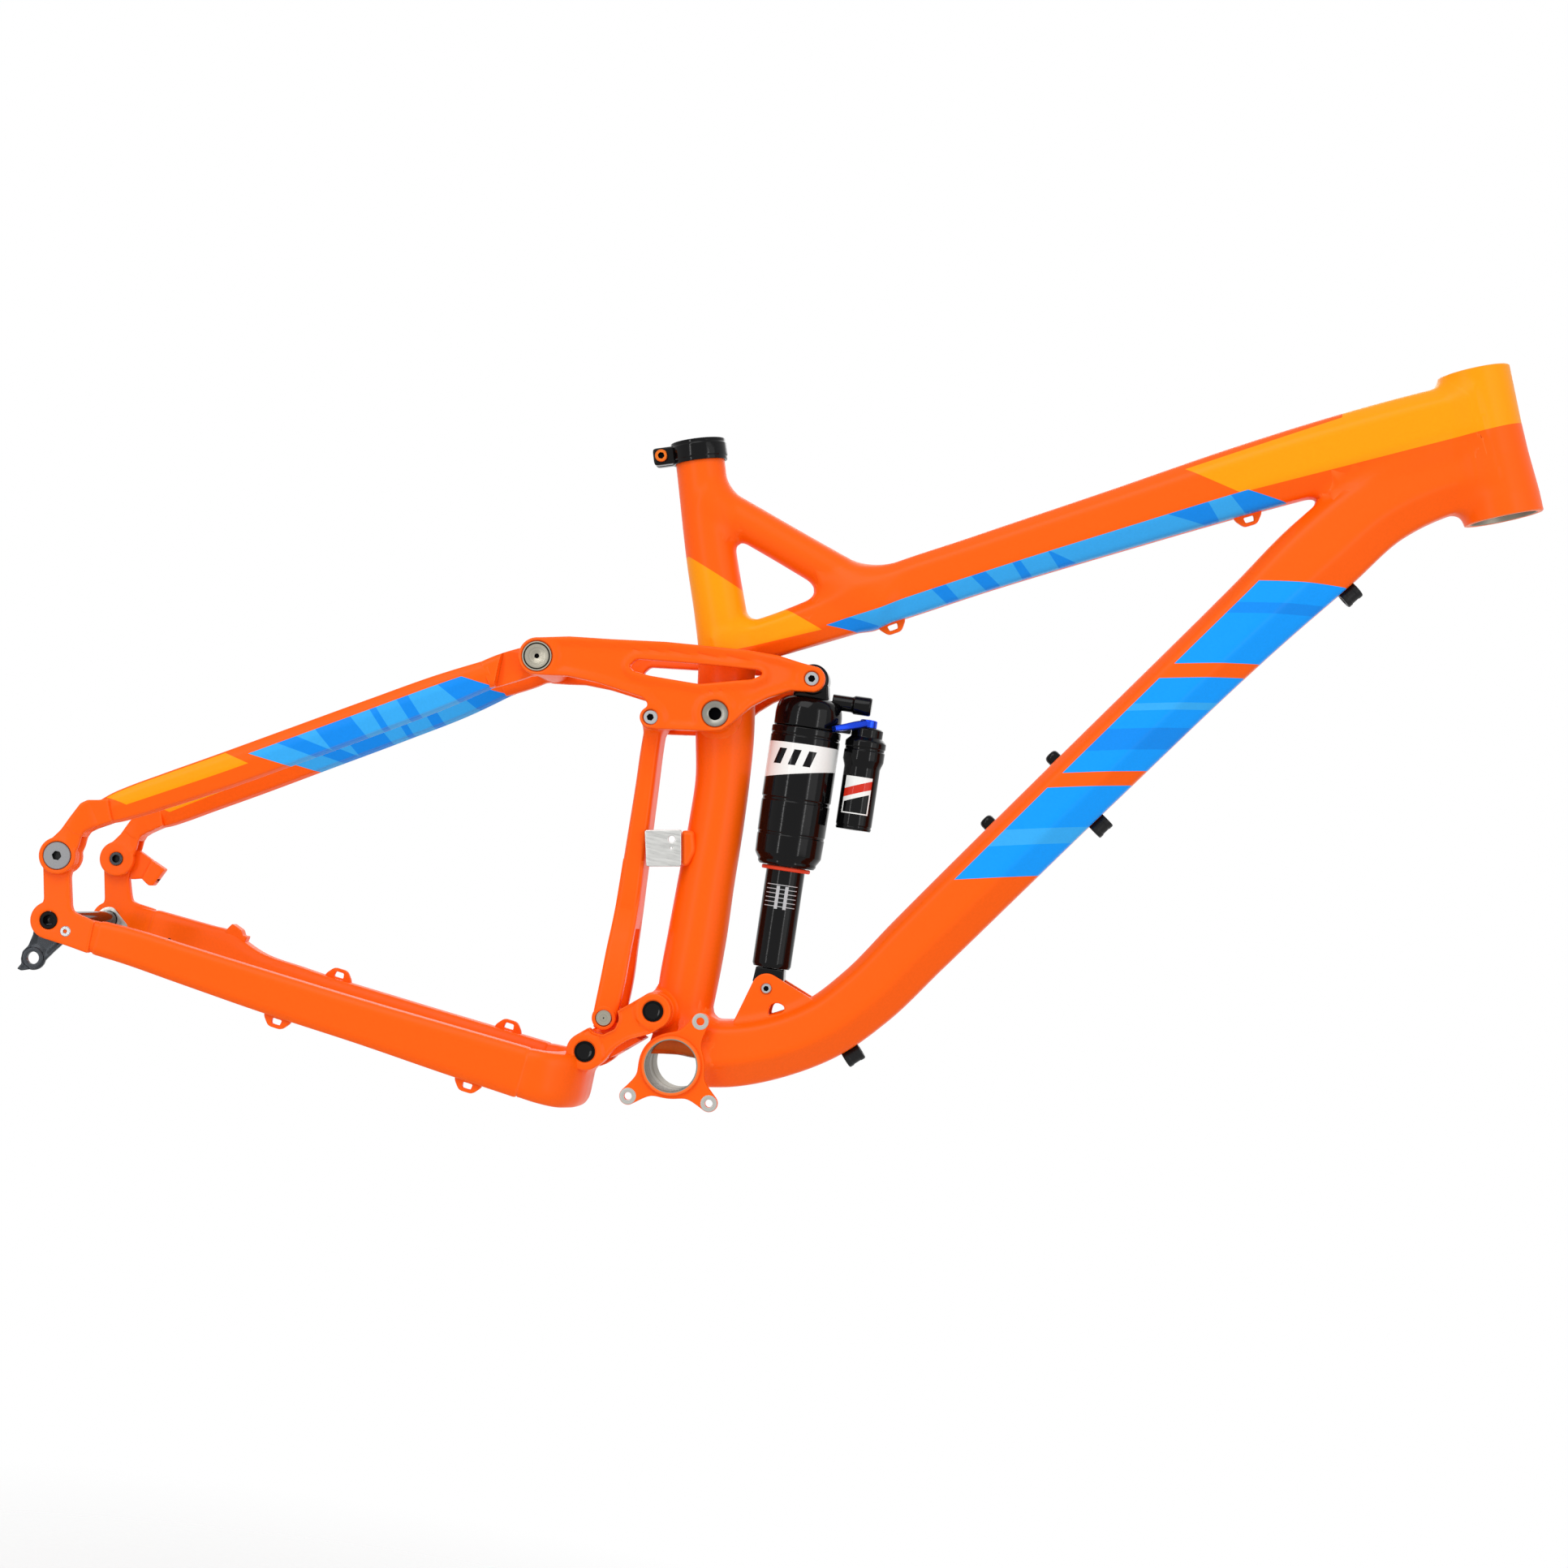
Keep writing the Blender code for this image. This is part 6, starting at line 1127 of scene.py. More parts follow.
for side, sign in SIDES:
    outline = smooth_loop(np.array(tongue_rear + TONGUE_FRONT[side]), 320, 0.003)
    tongue = forged(outline, tongue_holes, DROPOUT_OUT - DROPOUT_IN, 1.4, None, 2.2, 1.0)
    parts = [((tongue[0] + (0, (DROPOUT_IN + DROPOUT_OUT) / 2, 0)) * (1, sign, 1), tongue[1])]
    block, _ = skin(run(np.array(BLOCK[side]) * (1, sign, 1, 1, 1), 60), stay_loop)
    parts.append((block.reshape(-1, 3), grid_faces(60, 72)))
    ring = eased([(6.3, 78.4), (9.0, 78.4), (9.4, 78.0), (9.4, 71.4), (9.0, 71.0), (6.3, 71.0)], 0.3, True)
    parts.append(spun(ring, (REAR_AXLE[0], 0, REAR_AXLE[1]), (0, sign, 0), 48, True)[:2])
    if side == "left":
        for outline, thick in ((post_loop, 7.4), (post_block, 10.4)):
            post = forged(outline, [], thick, 0.9, None, 2.2, 0.8)
            parts.append((post[0] + (0, 75.0, 0), post[1]))
    points, faces = gathered(parts)
    piece(f"dropout_{side}", points, faces, orange_coat, "chainstay", [f"dropout_{side}"])

# Axle faces: the milled seats of the axle, left bare on the inside of each dropout, with a short ramp that
# leads the hub's end in from the front.
ramp_line = arc(REAR_AXLE, 9.2, 75.0, 250.0) + [(-419.0, 1.6), (-418.4, 7.4), (-421.6, 10.4)]
ramp_points, ramp_faces = forged(eased(ramp_line, 0.6, True, 3), [circle(REAR_AXLE, 6.2, 48)], 1.0, 0.25,
                                 None, 1.6, 0.7)
milled_alloy = finish("milled_aluminium", "#BDBCB7", metallic=1.0, rough=0.36, vary=0.1, grain=0.7,
                      bump=0.12,
                      stretch=(1.0, 1.0, 0.15))
for side, sign in SIDES:
    points = (ramp_points + (0, 71.0, 0)) * (1, sign, 1)
    piece(f"axle_face_{side}", points, ramp_faces, milled_alloy, "chainstay")

# Derailleur hanger: a small replaceable alloy arm inside the right dropout, held by the axle and one screw.
HANGER_EYE, HANGER_BOLT = (-441.6, -16.6), (-422.2, 6.1)
# Dark grey anodised alloy: satin, paler along its edges, partly where it rubs and partly a painted highlight.
dark_alloy = finish("dark_grey_anodised", "#34373B", metallic=0.7, rough=0.34, vary=0.08, grain=0.6,
                    bump=0.06,
                    worn_edge_and_highlight="#8A8C90")
hanger_arm = eased([(-445.6, 6.0), (-445.2, -1.0), (-446.8, -9.1), (-449.9, -13.7), (-450.0, -19.0),
                    (-448.9, -22.0),
                    (-451.2, -26.2), (-448.1, -26.9), (-441.7, -24.6), (-436.6, -21.3), (-434.3, -18.4),
                    (-428.6, -9.8),
                    (-420.5, 1.0), (-424.0, 12.0)], 0.7, True)
hanger_holes = [circle(HANGER_EYE, 4.3, 40), circle(REAR_AXLE, 6.4, 40)]


def hanger_dish(x, z, depth):
    return -1.1 * ramp(depth, 1.6, 2.6) * ramp(np.hypot(x - HANGER_EYE[0], z - HANGER_EYE[1]), 8.0, 9.4)


arm = forged(hanger_arm, hanger_holes[:1], 3.7, 0.7, hanger_dish, 1.4, 0.6)
parts = [(arm[0] - (0, 72.85, 0), arm[1])]
for centre, radius, hole, low, high in ((REAR_AXLE, 10.6, 6.3, -74.7, -71.0),
                                        (HANGER_EYE, 8.4, 4.3, -74.7, -71.0),
                                        (HANGER_EYE, 7.4, 4.3, -75.5, -71.4),
                                        (HANGER_BOLT, 5.6, 2.6, -74.7, -71.0)):
    ring = eased([(hole, low), (radius - 0.5, low), (radius, low + 0.5), (radius, high - 0.5),
                  (radius - 0.5, high),
                  (hole, high)], 0.2, True)
    parts.append(spun(ring, (centre[0], 0, centre[1]), (0, 1, 0), 48, True)[:2])
points, faces = gathered(parts)
piece("derailleur_hanger", points, faces, dark_alloy, "chainstay", ["derailleur_hanger"])
screw = [(0.01, -77.8), (1.3, -77.8), (1.3, -79.6), (1.7, -79.6), (3.2, -79.6), (3.7, -79.1), (3.7, -76.9),
         (2.5, -76.9),
         (2.5, -71.0), (0.01, -71.0)]
points, faces, uv = spun(screw, (HANGER_BOLT[0], 0, HANGER_BOLT[1]), (0, 1, 0), 40, False, (1, 2))
piece("hanger_bolt", points, faces, plated_steel, "chainstay", ["hanger_bolt"], uv)

# Brake post: a forged lug with a threaded hole on top of the left chainstay.
post_line = eased([(-349.0, 4.0), (-346.0, 21.6), (-342.0, 27.6), (-334.6, 24.4), (-332.6, 20.6),
                   (-329.4, 21.0),
                   (-330.2, 15.8), (-326.8, 11.6), (-315.0, 9.6), (-316.0, 0.0)], 1.0, True)
points, faces = forged(post_line, [], 13.0, 1.2, None, 1.8, 0.7)
points[:, 1] += 63.0
piece("brake_post", points, faces, orange_coat, "chainstay", ["brake_post"])
# Drain hole: a small hole drilled in the inside of the left chainstay, ahead of its weld, drawn as a thin
# black disc on the stay's face: painted shade of the hole.
drain = eased([(0.01, 58.75), (1.2, 58.75), (1.3, 58.9), (1.3, 60.5), (0.01, 60.5)], 0.05)
points, faces, uv = spun(drain, (-385.3, 0, 6.5), (0, 1, 0), 32)
piece("chainstay_drain_hole", points, faces, black_nylon, "chainstay")

# Rear axle: a hollow black through-axle that screws into the hanger and draws the two dropouts onto the hub.
axle_profile = [(0.01, -74.0), (3.4, -73.8), (3.4, -78.2), (3.8, -78.8), (5.6, -78.8), (6.0, -78.4),
                (6.0, 79.3), (8.6, 79.3),
                (9.0, 79.7), (9.0, 83.4), (8.4, 84.0), (4.2, 84.0), (3.9, 83.7), (3.9, 79.0), (0.01, 79.0)]
points, faces, uv = spun(axle_profile, (REAR_AXLE[0], 0, REAR_AXLE[1]), (0, 1, 0), 60, False, (1, 2, 12, 13))
piece("rear_axle", points, faces, gloss_black, "rear_axle", ["rear_axle"])

# Seatstays: slim alloy tubes with a crease along each side, welded to a yoke in front and to clevises
# behind. A blue band fills the facet below the crease in front, and an amber one lies above it behind.
SEATSTAY = [(-418.0, 69.4, 89.6, 16.0, 13.0), (-409.0, 66.6, 95.3, 20.6, 16.2),
            (-398.0, 63.3, 102.2, 22.8, 17.2),
            (-380.0, 58.5, 113.3, 24.0, 17.5), (-345.0, 52.0, 134.5, 25.4, 18.0),
            (-300.0, 49.0, 162.3, 25.6, 18.0),
            (-250.0, 47.5, 193.2, 25.4, 18.0), (-205.0, 45.5, 221.3, 24.0, 18.0),
            (-178.0, 41.0, 238.6, 20.0, 17.0)]
SEATSTAY_SECTION = [(0.0, 1.0), (0.66, 0.94), (0.93, 0.55), (1.0, 0.02), (0.72, -0.86), (0.0, -1.0)]
seat_loop = section(SEATSTAY_SECTION, 72, 0.01)
seat_rows_line = run(SEATSTAY, 300)
seatstay_patches = band(seat_rows_line, -100.0, 860.0, [(AMBER, -412, -403, -339, -328)])
seatstay_patches += band(seat_rows_line, -995.0, 390.0, [
    (SKY, -326, -306, -194, -176), (AZURE, -308, -290, -296, -279), (AZURE, -284, -279, -262, -257),
    (AZURE, -250, -247, -246, -243), (AZURE, -233, -230, -226, -223), (AZURE, -208, -200, -194, -176)])
seatstay_coat = finish("satin_coat_seatstay", ORANGE, seatstay_patches, **PAINT)
for side, sign in SIDES:
    points, uv = skin(run(np.array(SEATSTAY) * (1, sign, 1, 1, 1), 300), seat_loop)
    piece(f"seatstay_{side}", points.reshape(-1, 3), grid_faces(300, 72), seatstay_coat, "seatstay",
          [f"seatstay_{side}"],
          uv=uv)

# Seatstay yoke: a forged bearing barrel between the rocker plates, with a stub for each stay.
STUB = [(-181.0, 41.6, 236.8, 19.4, 16.4), (-172.0, 39.6, 242.4, 21.0, 15.4),
        (-160.0, 35.8, 249.4, 21.6, 11.6),
        (-147.1, 35.2, 256.9, 19.0, 11.0)]
barrel_ends = [(SEATSTAY_PIVOT[0], y, SEATSTAY_PIVOT[1]) for y in (-41.2, 41.2)]
barrel = eased([(6.3, -41.2), (11.7, -41.2), (12.3, -40.6), (12.3, 40.6), (11.7, 41.2), (6.3, 41.2)], 0.4,
               True)
parts = [spun(barrel, (SEATSTAY_PIVOT[0], 0, SEATSTAY_PIVOT[1]), (0, 1, 0), 64, True)[:2]]
for side, sign in SIDES:
    points, _ = skin(run(np.array(STUB) * (1, sign, 1, 1, 1), 70), stay_loop)
    points = weld(points, outward(points), [rod_gap(*barrel_ends, 12.3, 12.3)], 3.0)
    parts.append((points, grid_faces(70, 72)))
points, faces = gathered(parts)
points[:, 1] = np.where(points[:, 0] > -172.0, np.clip(points[:, 1], -41.2, 41.2), points[:, 1])
piece("seatstay_yoke", points, faces, orange_coat, "seatstay", ["seatstay_yoke"])

# Clevises: forged ends of the seatstays that straddle the tongues of the dropouts, two cheeks under a solid
# root.
CLEVIS_CHEEKS = ((64.0, 70.6), (79.4, 85.0))
CLEVIS_LINE = [(-460.0, 74.5), (-427.0, 74.5), (-411.0, 67.4), (-400.0, 63.9)]
clevis_top = [(-424.4, 71.6), (-422.8, 75.6), (-419.0, 78.8), (-407.2, 86.4), (-412.6, 100.6),
              (-418.8, 98.6), (-425.4, 97.2),
              (-429.4, 94.0), (-435.0, 82.2), (-438.8, 73.6)]
ear_line = arc(DROPOUT_PIVOT, 12.7, 118.0, 382.0, 48)
cheek_loop = smooth_loop(np.array(ear_line + [(-424.6, 66.0)] + clevis_top), 280, 0.003)
root_loop = smooth_loop(np.array(clevis_top + [(-436.0, 75.4), (-430.3, 72.0)]), 200, 0.004)


def ear_step(x, z, depth):
    return -0.8 * ramp(np.hypot(x - DROPOUT_PIVOT[0], z - DROPOUT_PIVOT[1]), 12.2, 13.4)


def root_taper(x, z, depth):
    return -1.9 * ramp(0.85 * (x + 420.0) + 0.53 * (z - 88.0), -3.0, 11.0)


for side, sign in SIDES:
    parts = []
    for low, high in CLEVIS_CHEEKS:
        cheek = forged(cheek_loop, [circle(DROPOUT_PIVOT, 9.7 if low > 75.0 else 4.4, 48)], high - low, 1.3,
                       ear_step, 2.0, 1.0)
        parts.append((cheek[0] + (0, (low + high) / 2 - 74.5, 0), cheek[1]))
    parts.append(forged(root_loop, [], 20.2, 2.0, root_taper, 2.0, 1.0))
    points, faces = gathered(parts)
    bend = np.interp(points[:, :1] + spread, *zip(*CLEVIS_LINE)).mean(axis=1)
    points = np.column_stack([points[:, 0], sign * (points[:, 1] + bend), points[:, 2]])
    piece(f"seatstay_clevis_{side}", points, faces, orange_coat, "seatstay", [f"seatstay_clevis_{side}"])

# Dropout bolts: each clamps a wide turned cap outside its clevis, with a hexagonal socket, and ends inside
# in a black ring nut.
# Matt grey anodised alloy: an even mid grey with hardly any grain, and painted black in the socket as
# its shade.
matt_alloy = finish("matt_grey_anodised", "#8A8A8C", PAINTED_RECESS_SHADE, metallic=0.5, rough=0.5, vary=0.04, grain=0.5,
                    bump=0.04,
                    source="UV")
# Dark turned alloy: the same grey nearly black, brighter on the rim of the nut, and painted black down
# its bore as shade.
nut_alloy = finish("dark_turned_alloy", "#3E4044", PAINTED_RECESS_SHADE, metallic=0.8, rough=0.34, vary=0.06, grain=0.5,
                   bump=0.06,
                   source="UV")
for side, sign in SIDES:
    cap = [(0.01, 81.4), (2.9, 81.4), (2.9, 84.6), (3.3, 84.8), (3.7, 84.8), (8.5, 84.8), (8.9, 84.8),
           (9.4, 84.3),
           (9.4, 83.0), (4.0, 83.0), (4.0, 67.0), (0.01, 67.0)]
    points, faces, uv = spun(cap, (DROPOUT_PIVOT[0], 0, DROPOUT_PIVOT[1]), (0, sign, 0), 60, False, (1, 2))
    piece(f"dropout_bolt_{side}", points, faces, matt_alloy, "seatstay", [f"dropout_bolt_{side}"],
          uv)
    nut = [(0.01, 66.4), (2.7, 66.4), (2.7, 62.9), (3.0, 62.6), (3.4, 62.6), (3.7, 62.9), (4.4, 62.9),
           (4.8, 63.3), (4.8, 64.4),
           (4.2, 64.4), (4.2, 66.8), (0.01, 66.8)]
    points, faces, uv = spun(nut, (DROPOUT_PIVOT[0], 0, DROPOUT_PIVOT[1]), (0, sign, 0), 48, False, (),
                             (1, 2))
    piece(f"dropout_nut_{side}", points, faces, nut_alloy, "seatstay", uv=uv)


# Shock head: a gloss black forging with the upper eye, a domed top that closes the air can, and an arm that
# carries the reservoir.
SHOCK_FOOT = (52.0, 64.8)
shock_origin = np.array([SHOCK_TOP[0], 0.0, SHOCK_TOP[1]])
shock_line = np.array([SHOCK_FOOT[0] - SHOCK_TOP[0], 0.0, SHOCK_FOOT[1] - SHOCK_TOP[1]])
shock_length = float(np.linalg.norm(shock_line))
shock_down = shock_line / shock_length
shock_ahead = np.array([-shock_down[2], 0.0, shock_down[0]])


def along_shock(points):
    """Points of (distance in front of the shock's axis, y, distance down from its upper eye) set into the
    frame."""
    return placed(np.asarray(points, float), shock_origin, shock_ahead, shock_down)


dome = [(0.01, 11.8), (13.0, 11.8), (17.4, 12.6), (20.8, 15.2), (22.7, 19.2), (23.4, 24.0), (23.4, 33.2),
        (22.6, 33.7),
        (0.01, 33.7)]
eye = eased([(4.3, -12.3), (9.6, -12.3), (11.0, -11.0), (11.0, 11.0), (9.6, 12.3), (4.3, 12.3)], 0.6, True)
parts = [spun(eased(dome, 1.6), shock_origin, shock_down, 80)[:2],
         spun(eye, shock_origin, (0, 1, 0), 64, True)[:2]]
neck = eased([(-10.9, 2.0), (-12.8, 16.0), (13.4, 16.0), (10.9, 2.0)], 1.0, True)
neck_points, neck_faces = forged(neck, [], 23.0, 1.5, None, 2.4, 1.0)
parts.append((along_shock(neck_points), neck_faces))
arm_line = eased([(10.0, 27.6), (30.9, 27.6), (30.9, 33.4), (10.0, 33.4)], 1.2, True)
arm_points, arm_faces = forged(arm_line, [], 14.0, 1.6, None, 2.0, 0.8)
parts.append((along_shock(arm_points), arm_faces))
points, faces = gathered(parts)
piece("shock_head", points, faces, gloss_black, "shock_body", ["shock_head"])
spacer = eased([(4.2, -14.3), (7.2, -14.3), (7.6, -13.9), (7.6, 13.9), (7.2, 14.3), (4.2, 14.3)], 0.2, True)
points, faces, uv = spun(spacer, shock_origin, (0, 1, 0), 48, True)
piece("shock_spacer", points, faces, grey_alloy, "shock_body", uv=uv)

# Air can: a gloss black turned sleeve with a ledge, grooves and a chamfered foot, screwed onto the head. A
# white slanted band is printed round it.
CAN = [(21.5, 34.0), (23.7, 34.0), (24.3, 34.6), (24.3, 38.6), (23.8, 39.1), (23.8, 40.3), (24.3, 40.8),
       (24.3, 83.5),
       (23.5, 84.3), (23.5, 86.0), (24.0, 86.6), (23.7, 108.0), (23.2, 108.5), (23.2, 109.7), (23.6, 110.2),
       (23.2, 123.0),
       (22.0, 125.2), (20.4, 127.6), (20.4, 129.2), (19.0, 131.0), (13.9, 131.0), (13.9, 124.0),
       (21.0, 124.0)]
WHITE = "#F1F1EE"
points, faces, _ = spun(eased(CAN, 0.4, True), shock_origin, shock_down, 96, True)
from_axis = points - shock_origin
uv = np.column_stack([from_axis @ shock_ahead, from_axis @ shock_down])
printed = finish("gloss_black_printed", "#060607", [
    (WHITE, around("UV", [(-40.0, 45.9), (40.0, 45.2), (40.0, 58.6), (-40.0, 74.2)])),
    *[("#060607", around("UV", [(u, 50.0), (u + 5.2, 50.0), (u + 2.0, 61.0),
                                (u - 3.2, 61.0)])) for u in (-15.0, -4.6, 5.8)],
], **GLOSS)
piece("shock_air_can", points, faces, printed, "shock_body", ["shock_air_can"], uv)

# Travel ring: a red rubber O-ring on the shaft that shows how far the shock has moved.
# Red rubber: dull, even, faintly grained.
red_rubber = finish("red_rubber", "#E2401C", rough=0.55, vary=0.08, grain=0.5, bump=0.1, specular=0.3)
ring = eased([(13.7, 131.3), (16.4, 131.3), (17.0, 132.0), (17.0, 133.5), (16.4, 134.2), (13.7, 134.2)], 0.6,
             True)
points, faces, uv = spun(ring, shock_origin, shock_down, 72, True)
piece("shock_travel_ring", points, faces, red_rubber, "shock_body", ["shock_travel_ring"])

# Reservoir: a gloss black cylinder in front of the can, with a ribbed collar and a white label with a
# slanted red bar and a black field.
reservoir_origin = shock_origin + shock_ahead * 42.2
RESERVOIR = [(0.01, 27.4), (9.6, 27.4), (11.0, 28.6), (11.0, 34.0), (13.6, 36.4), (14.3, 37.4), (14.3, 41.0),
             (13.7, 41.5),
             (13.7, 43.2), (14.3, 43.7), (14.3, 50.2), (12.9, 54.2), (12.6, 55.4), (12.6, 95.6),
             (12.2, 96.1), (12.2, 97.0),
             (12.6, 97.4), (12.0, 99.0), (5.0, 99.0), (4.6, 98.2), (0.01, 98.2)]
points, faces, _ = spun(eased(RESERVOIR, 0.4), reservoir_origin, shock_down, 72)
from_axis = points - reservoir_origin
uv = np.column_stack([from_axis @ shock_ahead, from_axis @ shock_down])
labelled = finish("gloss_black_labelled", "#060607", [
    (WHITE, around("UV", [(-9.4, 62.0), (9.0, 62.0), (9.0, 88.0), (-9.4, 88.0)])),
    ("#D0301F", around("UV", [(-9.4, 71.0), (9.0, 64.0), (9.0, 70.0), (-9.4, 77.0)])),
    ("#0A0A0B", around("UV", [(-8.6, 80.0), (8.2, 73.6), (8.2, 87.2), (-8.6, 87.2)])),
], **GLOSS)
piece("shock_reservoir", points, faces, labelled, "shock_body", ["shock_reservoir"], uv)

# Air valve: a short stem in the head with a knurled black cap.
stem = [(0.01, 15.0), (5.5, 15.0), (5.5, 28.8), (5.9, 29.8), (6.6, 30.6), (6.6, 41.4), (5.9, 42.5),
        (0.01, 42.5)]
points, faces, uv = spun(eased(stem, 0.4), shock_origin + shock_down * 12.6, shock_ahead, 96)
out = points - shock_origin - shock_down * 12.6
far = out @ shock_ahead
radial = out - far[:, None] * shock_ahead
turn = np.arctan2(radial[:, 1], radial @ shock_down)
ribbed = ramp(far, 31.0, 32.0) * (1.0 - ramp(far, 40.0, 41.0))
points = points - radial * (0.05 * ribbed * (0.5 + 0.5 * np.cos(24 * turn)))[:, None]
piece("shock_valve", points, faces, gloss_black, "shock_body", ["shock_valve"])

# Compression lever: a blue anodised lever that turns on top of the reservoir.
# Blue anodised alloy: deep tinted metal with blue highlights.
blue_alloy = finish("blue_anodised", "#1A45D8", metallic=0.85, rough=0.25, vary=0.06, grain=0.6, bump=0.05)
hub = eased([(0.01, 21.6), (5.4, 21.6), (6.0, 22.2), (6.0, 27.1), (0.01, 27.1)], 0.4)
PADDLE = np.array([(42.2, 0.0, 24.2, 5.2, 8.0), (35.0, -7.8, 26.6, 5.6, 6.6), (27.6, -15.2, 29.4, 4.8, 5.6),
                   (20.2, -21.4, 32.0, 3.8, 4.6)])
paddle_rows = run(np.column_stack([along_shock(PADDLE[:, :3]), PADDLE[:, 3:]]), 60)
points, _ = skin(paddle_rows, section(BEAM_SECTION, 40, 0.03))
points, faces = gathered([spun(hub, reservoir_origin, shock_down, 56)[:2],
                          (points.reshape(-1, 3), grid_faces(60, 40))])
piece("shock_lever", points, faces, blue_alloy, "shock_lever", ["shock_lever"])

# Shaft: the hard-anodised damper body that slides into the can, with a printed scale of fine silver lines.
# Black hard-anodised alloy: smooth and dark, almost a mirror along its length.
rings = np.linspace(101.0, 200.0, 60)
profile = np.vstack([[(0.01, 100.0)], [(13.0, 100.0)], np.column_stack([np.full(60, 13.5), rings]),
                     [(12.5, 202.0)],
                     [(0.01, 202.0)]])
points, faces, _ = spun(profile, shock_origin, shock_down, 80)
from_axis = points - shock_origin
uv = np.column_stack([from_axis @ shock_ahead, from_axis @ shock_down])
SILVER_INK = "#B9BABC"
ticks = [(SILVER_INK, around("UV", [(-10.5, a), (10.5, a), (10.5, a + 0.5),
                                    (-10.5, a + 0.5)])) for a in range(144, 160, 3)]
ticks += [(SILVER_INK, around("UV", [(u, 145.0), (u + 2.2, 145.0), (u + 2.2, 161.0),
                                     (u, 161.0)])) for u in (-3.4, 2.6)]
scaled_shaft = finish("black_hard_anodised", "#070708", ticks, rough=0.13, vary=0.04, grain=0.8, bump=0.02,
                      specular=0.16)
piece("shock_shaft", points, faces, scaled_shaft, "shock_rod", ["shock_shaft"], uv)

# Lower eye: a black forged eyelet on the end of the shaft, between the two shock mounts.
foot_origin = (SHOCK_FOOT[0], 0, SHOCK_FOOT[1])
eye = eased([(7.4, -11.8), (9.8, -11.8), (10.8, -10.8), (10.8, 10.8), (9.8, 11.8), (7.4, 11.8)], 0.5, True)
neck = eased([(-9.8, 202.3), (-10.8, shock_length - 3.0), (10.8, shock_length - 3.0), (9.8, 202.3)], 0.8,
             True)
neck_points, neck_faces = forged(neck, [], 22.0, 1.2, None, 2.2, 0.9)
points, faces = gathered([spun(eye, foot_origin, (0, 1, 0), 60, True)[:2],
                          (along_shock(neck_points), neck_faces)])
piece("shock_lower_eye", points, faces, gloss_black, "shock_rod", ["shock_lower_eye"])

# Studio: a pale floor far below the hanging frame that fades into white all round, and wide soft lamps
# above and in front, at the level where a colour renders about as written. The camera stands on the drive
# side with a long lens.
STUDIO_FLOOR = -0.55
FLOOR_FADE = (0.3, 1.0)
floor_mesh = bpy.data.meshes.new("studio_floor")
floor_mesh.from_pydata([(-3, -3, STUDIO_FLOOR), (3, -3, STUDIO_FLOOR), (3, 3, STUDIO_FLOOR),
                        (-3, 3, STUDIO_FLOOR)], [],
                       [(0, 1, 2, 3)])
floor = bpy.data.objects.new("studio_floor", floor_mesh)
bpy.context.scene.collection.objects.link(floor)
matt_white = finish("matt_white_floor", "#F4F4F4", rough=0.8, vary=0.02, grain=4.0, bump=0.02, specular=0.1)
tree = matt_white.node_tree
place = add(tree, "TexCoord")
flat = add(tree, "VectorMath", {"operation": "MULTIPLY", 1: (1.0, 1.0, 0.0)}, {0: place.outputs["Object"]})
far = add(tree, "VectorMath", {"operation": "LENGTH"}, {0: flat.outputs[0]})
fade = add(tree, "MapRange", {1: FLOOR_FADE[0], 2: FLOOR_FADE[1]}, {0: far.outputs["Value"]})
clear = add(tree, "BsdfTransparent")
blend = add(tree, "MixShader", None, {0: fade.outputs[0], 1: tree.nodes["Principled BSDF"].outputs[0],
                                      2: clear.outputs[0]})
tree.links.new(tree.nodes["Material Output"].inputs["Surface"], blend.outputs[0])
floor_mesh.materials.append(matt_white)
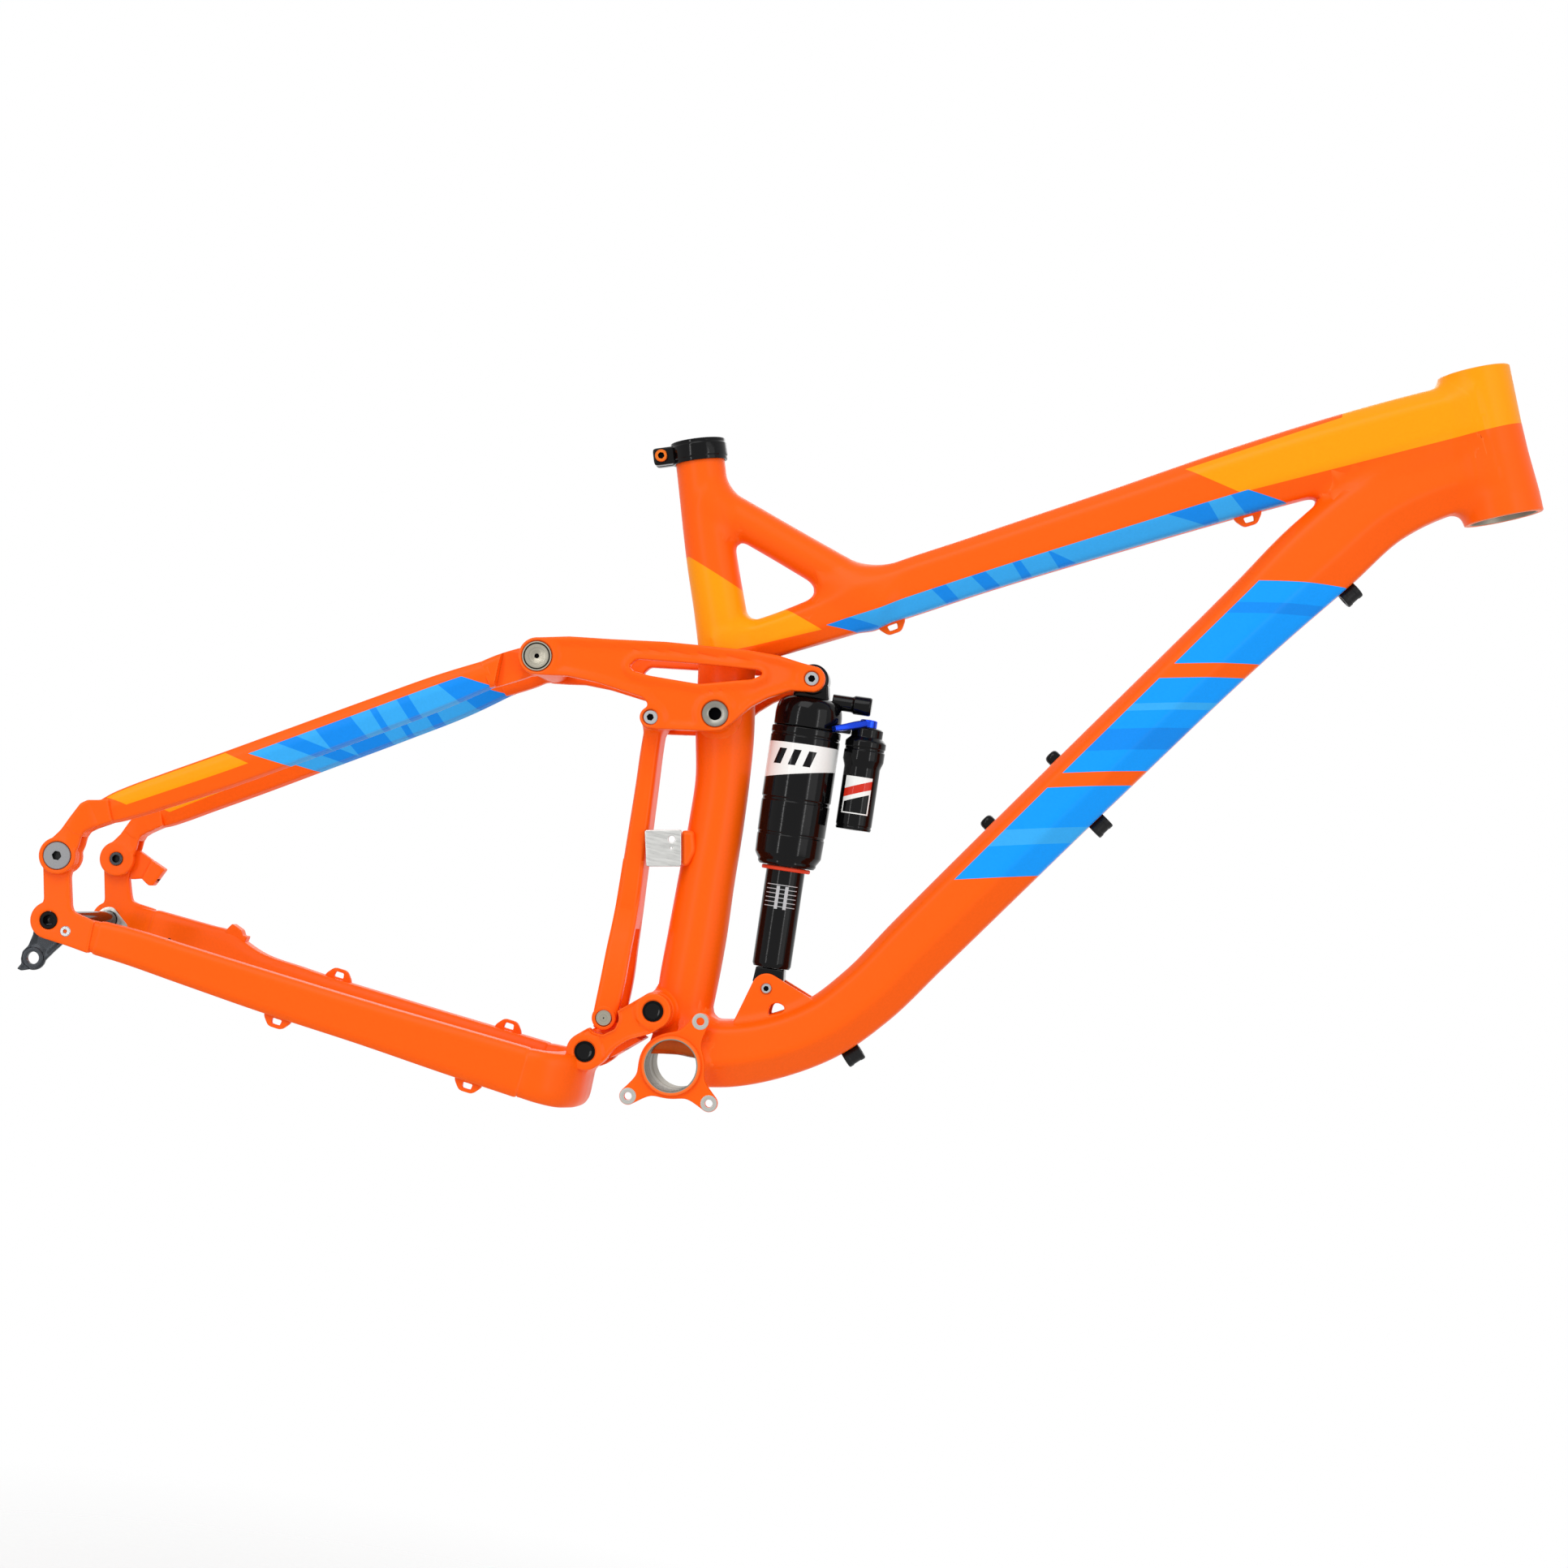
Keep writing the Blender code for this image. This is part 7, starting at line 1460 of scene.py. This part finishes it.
for name, spot, aim, width, height, power in (
        ("lamp_key", (-0.9, -2.2, 2.6), (0.05, 0.0, 0.25), 2.2, 2.2, 42.0),
        ("lamp_side", (2.2, -1.8, 0.9), (0.05, 0.0, 0.25), 1.8, 1.8, 13.0),
        ("lamp_back", (0.2, 2.4, 2.0), (0.05, 0.0, 0.25), 2.2, 2.2, 22.0),
        ("lamp_strip_left", (-1.25, -1.95, 0.4), (0.05, 0.0, 0.2), 0.12, 1.8, 8.0),
        ("lamp_strip_right", (1.55, -1.9, 0.4), (0.05, 0.0, 0.2), 0.12, 1.8, 6.0)):
    lamp = bpy.data.lights.new(name, "AREA")
    lamp.shape = "RECTANGLE"
    lamp.size, lamp.size_y, lamp.energy = width, height, power
    lamp_object = bpy.data.objects.new(name, lamp)
    lamp_object.location = spot
    lamp_object.rotation_euler = (Vector(aim) - Vector(spot)).to_track_quat("-Z", "Y").to_euler()
    bpy.context.scene.collection.objects.link(lamp_object)
world = bpy.data.worlds.new("studio_white")
bpy.context.scene.world = world
world.use_nodes = True
sky = world.node_tree
ray = add(sky, "LightPath")
seen = add(sky, "Math", {"operation": "MAXIMUM"},
           {0: ray.outputs["Is Camera Ray"], 1: ray.outputs["Is Glossy Ray"]})
seen = add(sky, "Math", {"operation": "MAXIMUM"},
           {0: seen.outputs[0], 1: ray.outputs["Is Transmission Ray"]})
level = add(sky, "MapRange", {3: 0.62, 4: 1.0}, {0: seen.outputs[0]})
glow = sky.nodes["Background"]
glow.inputs["Color"].default_value = (1.0, 1.0, 1.0, 1.0)
sky.links.new(glow.inputs["Strength"], level.outputs[0])
bpy.context.scene.view_settings.view_transform = "Standard"

CAMERA_PLACE = (0.2252, -2.3301, 0.1584)
CAMERA_RIGHT = (0.97592, 0.07602, 0.20445)
CAMERA_DOWN = (0.20217, 0.03668, -0.97866)
CAMERA_AHEAD = (-0.08190, 0.99643, 0.02043)
lens = bpy.data.cameras.new("photo_camera")
lens.lens, lens.sensor_width, lens.sensor_height = 76.94, 36.0, 36.0
camera = bpy.data.objects.new("photo_camera", lens)
axes = [Vector(CAMERA_RIGHT), -Vector(CAMERA_DOWN), -Vector(CAMERA_AHEAD)]
camera.matrix_world = Matrix.Translation(CAMERA_PLACE) @ Matrix(axes).transposed().to_4x4()
bpy.context.scene.collection.objects.link(camera)
bpy.context.scene.camera = camera
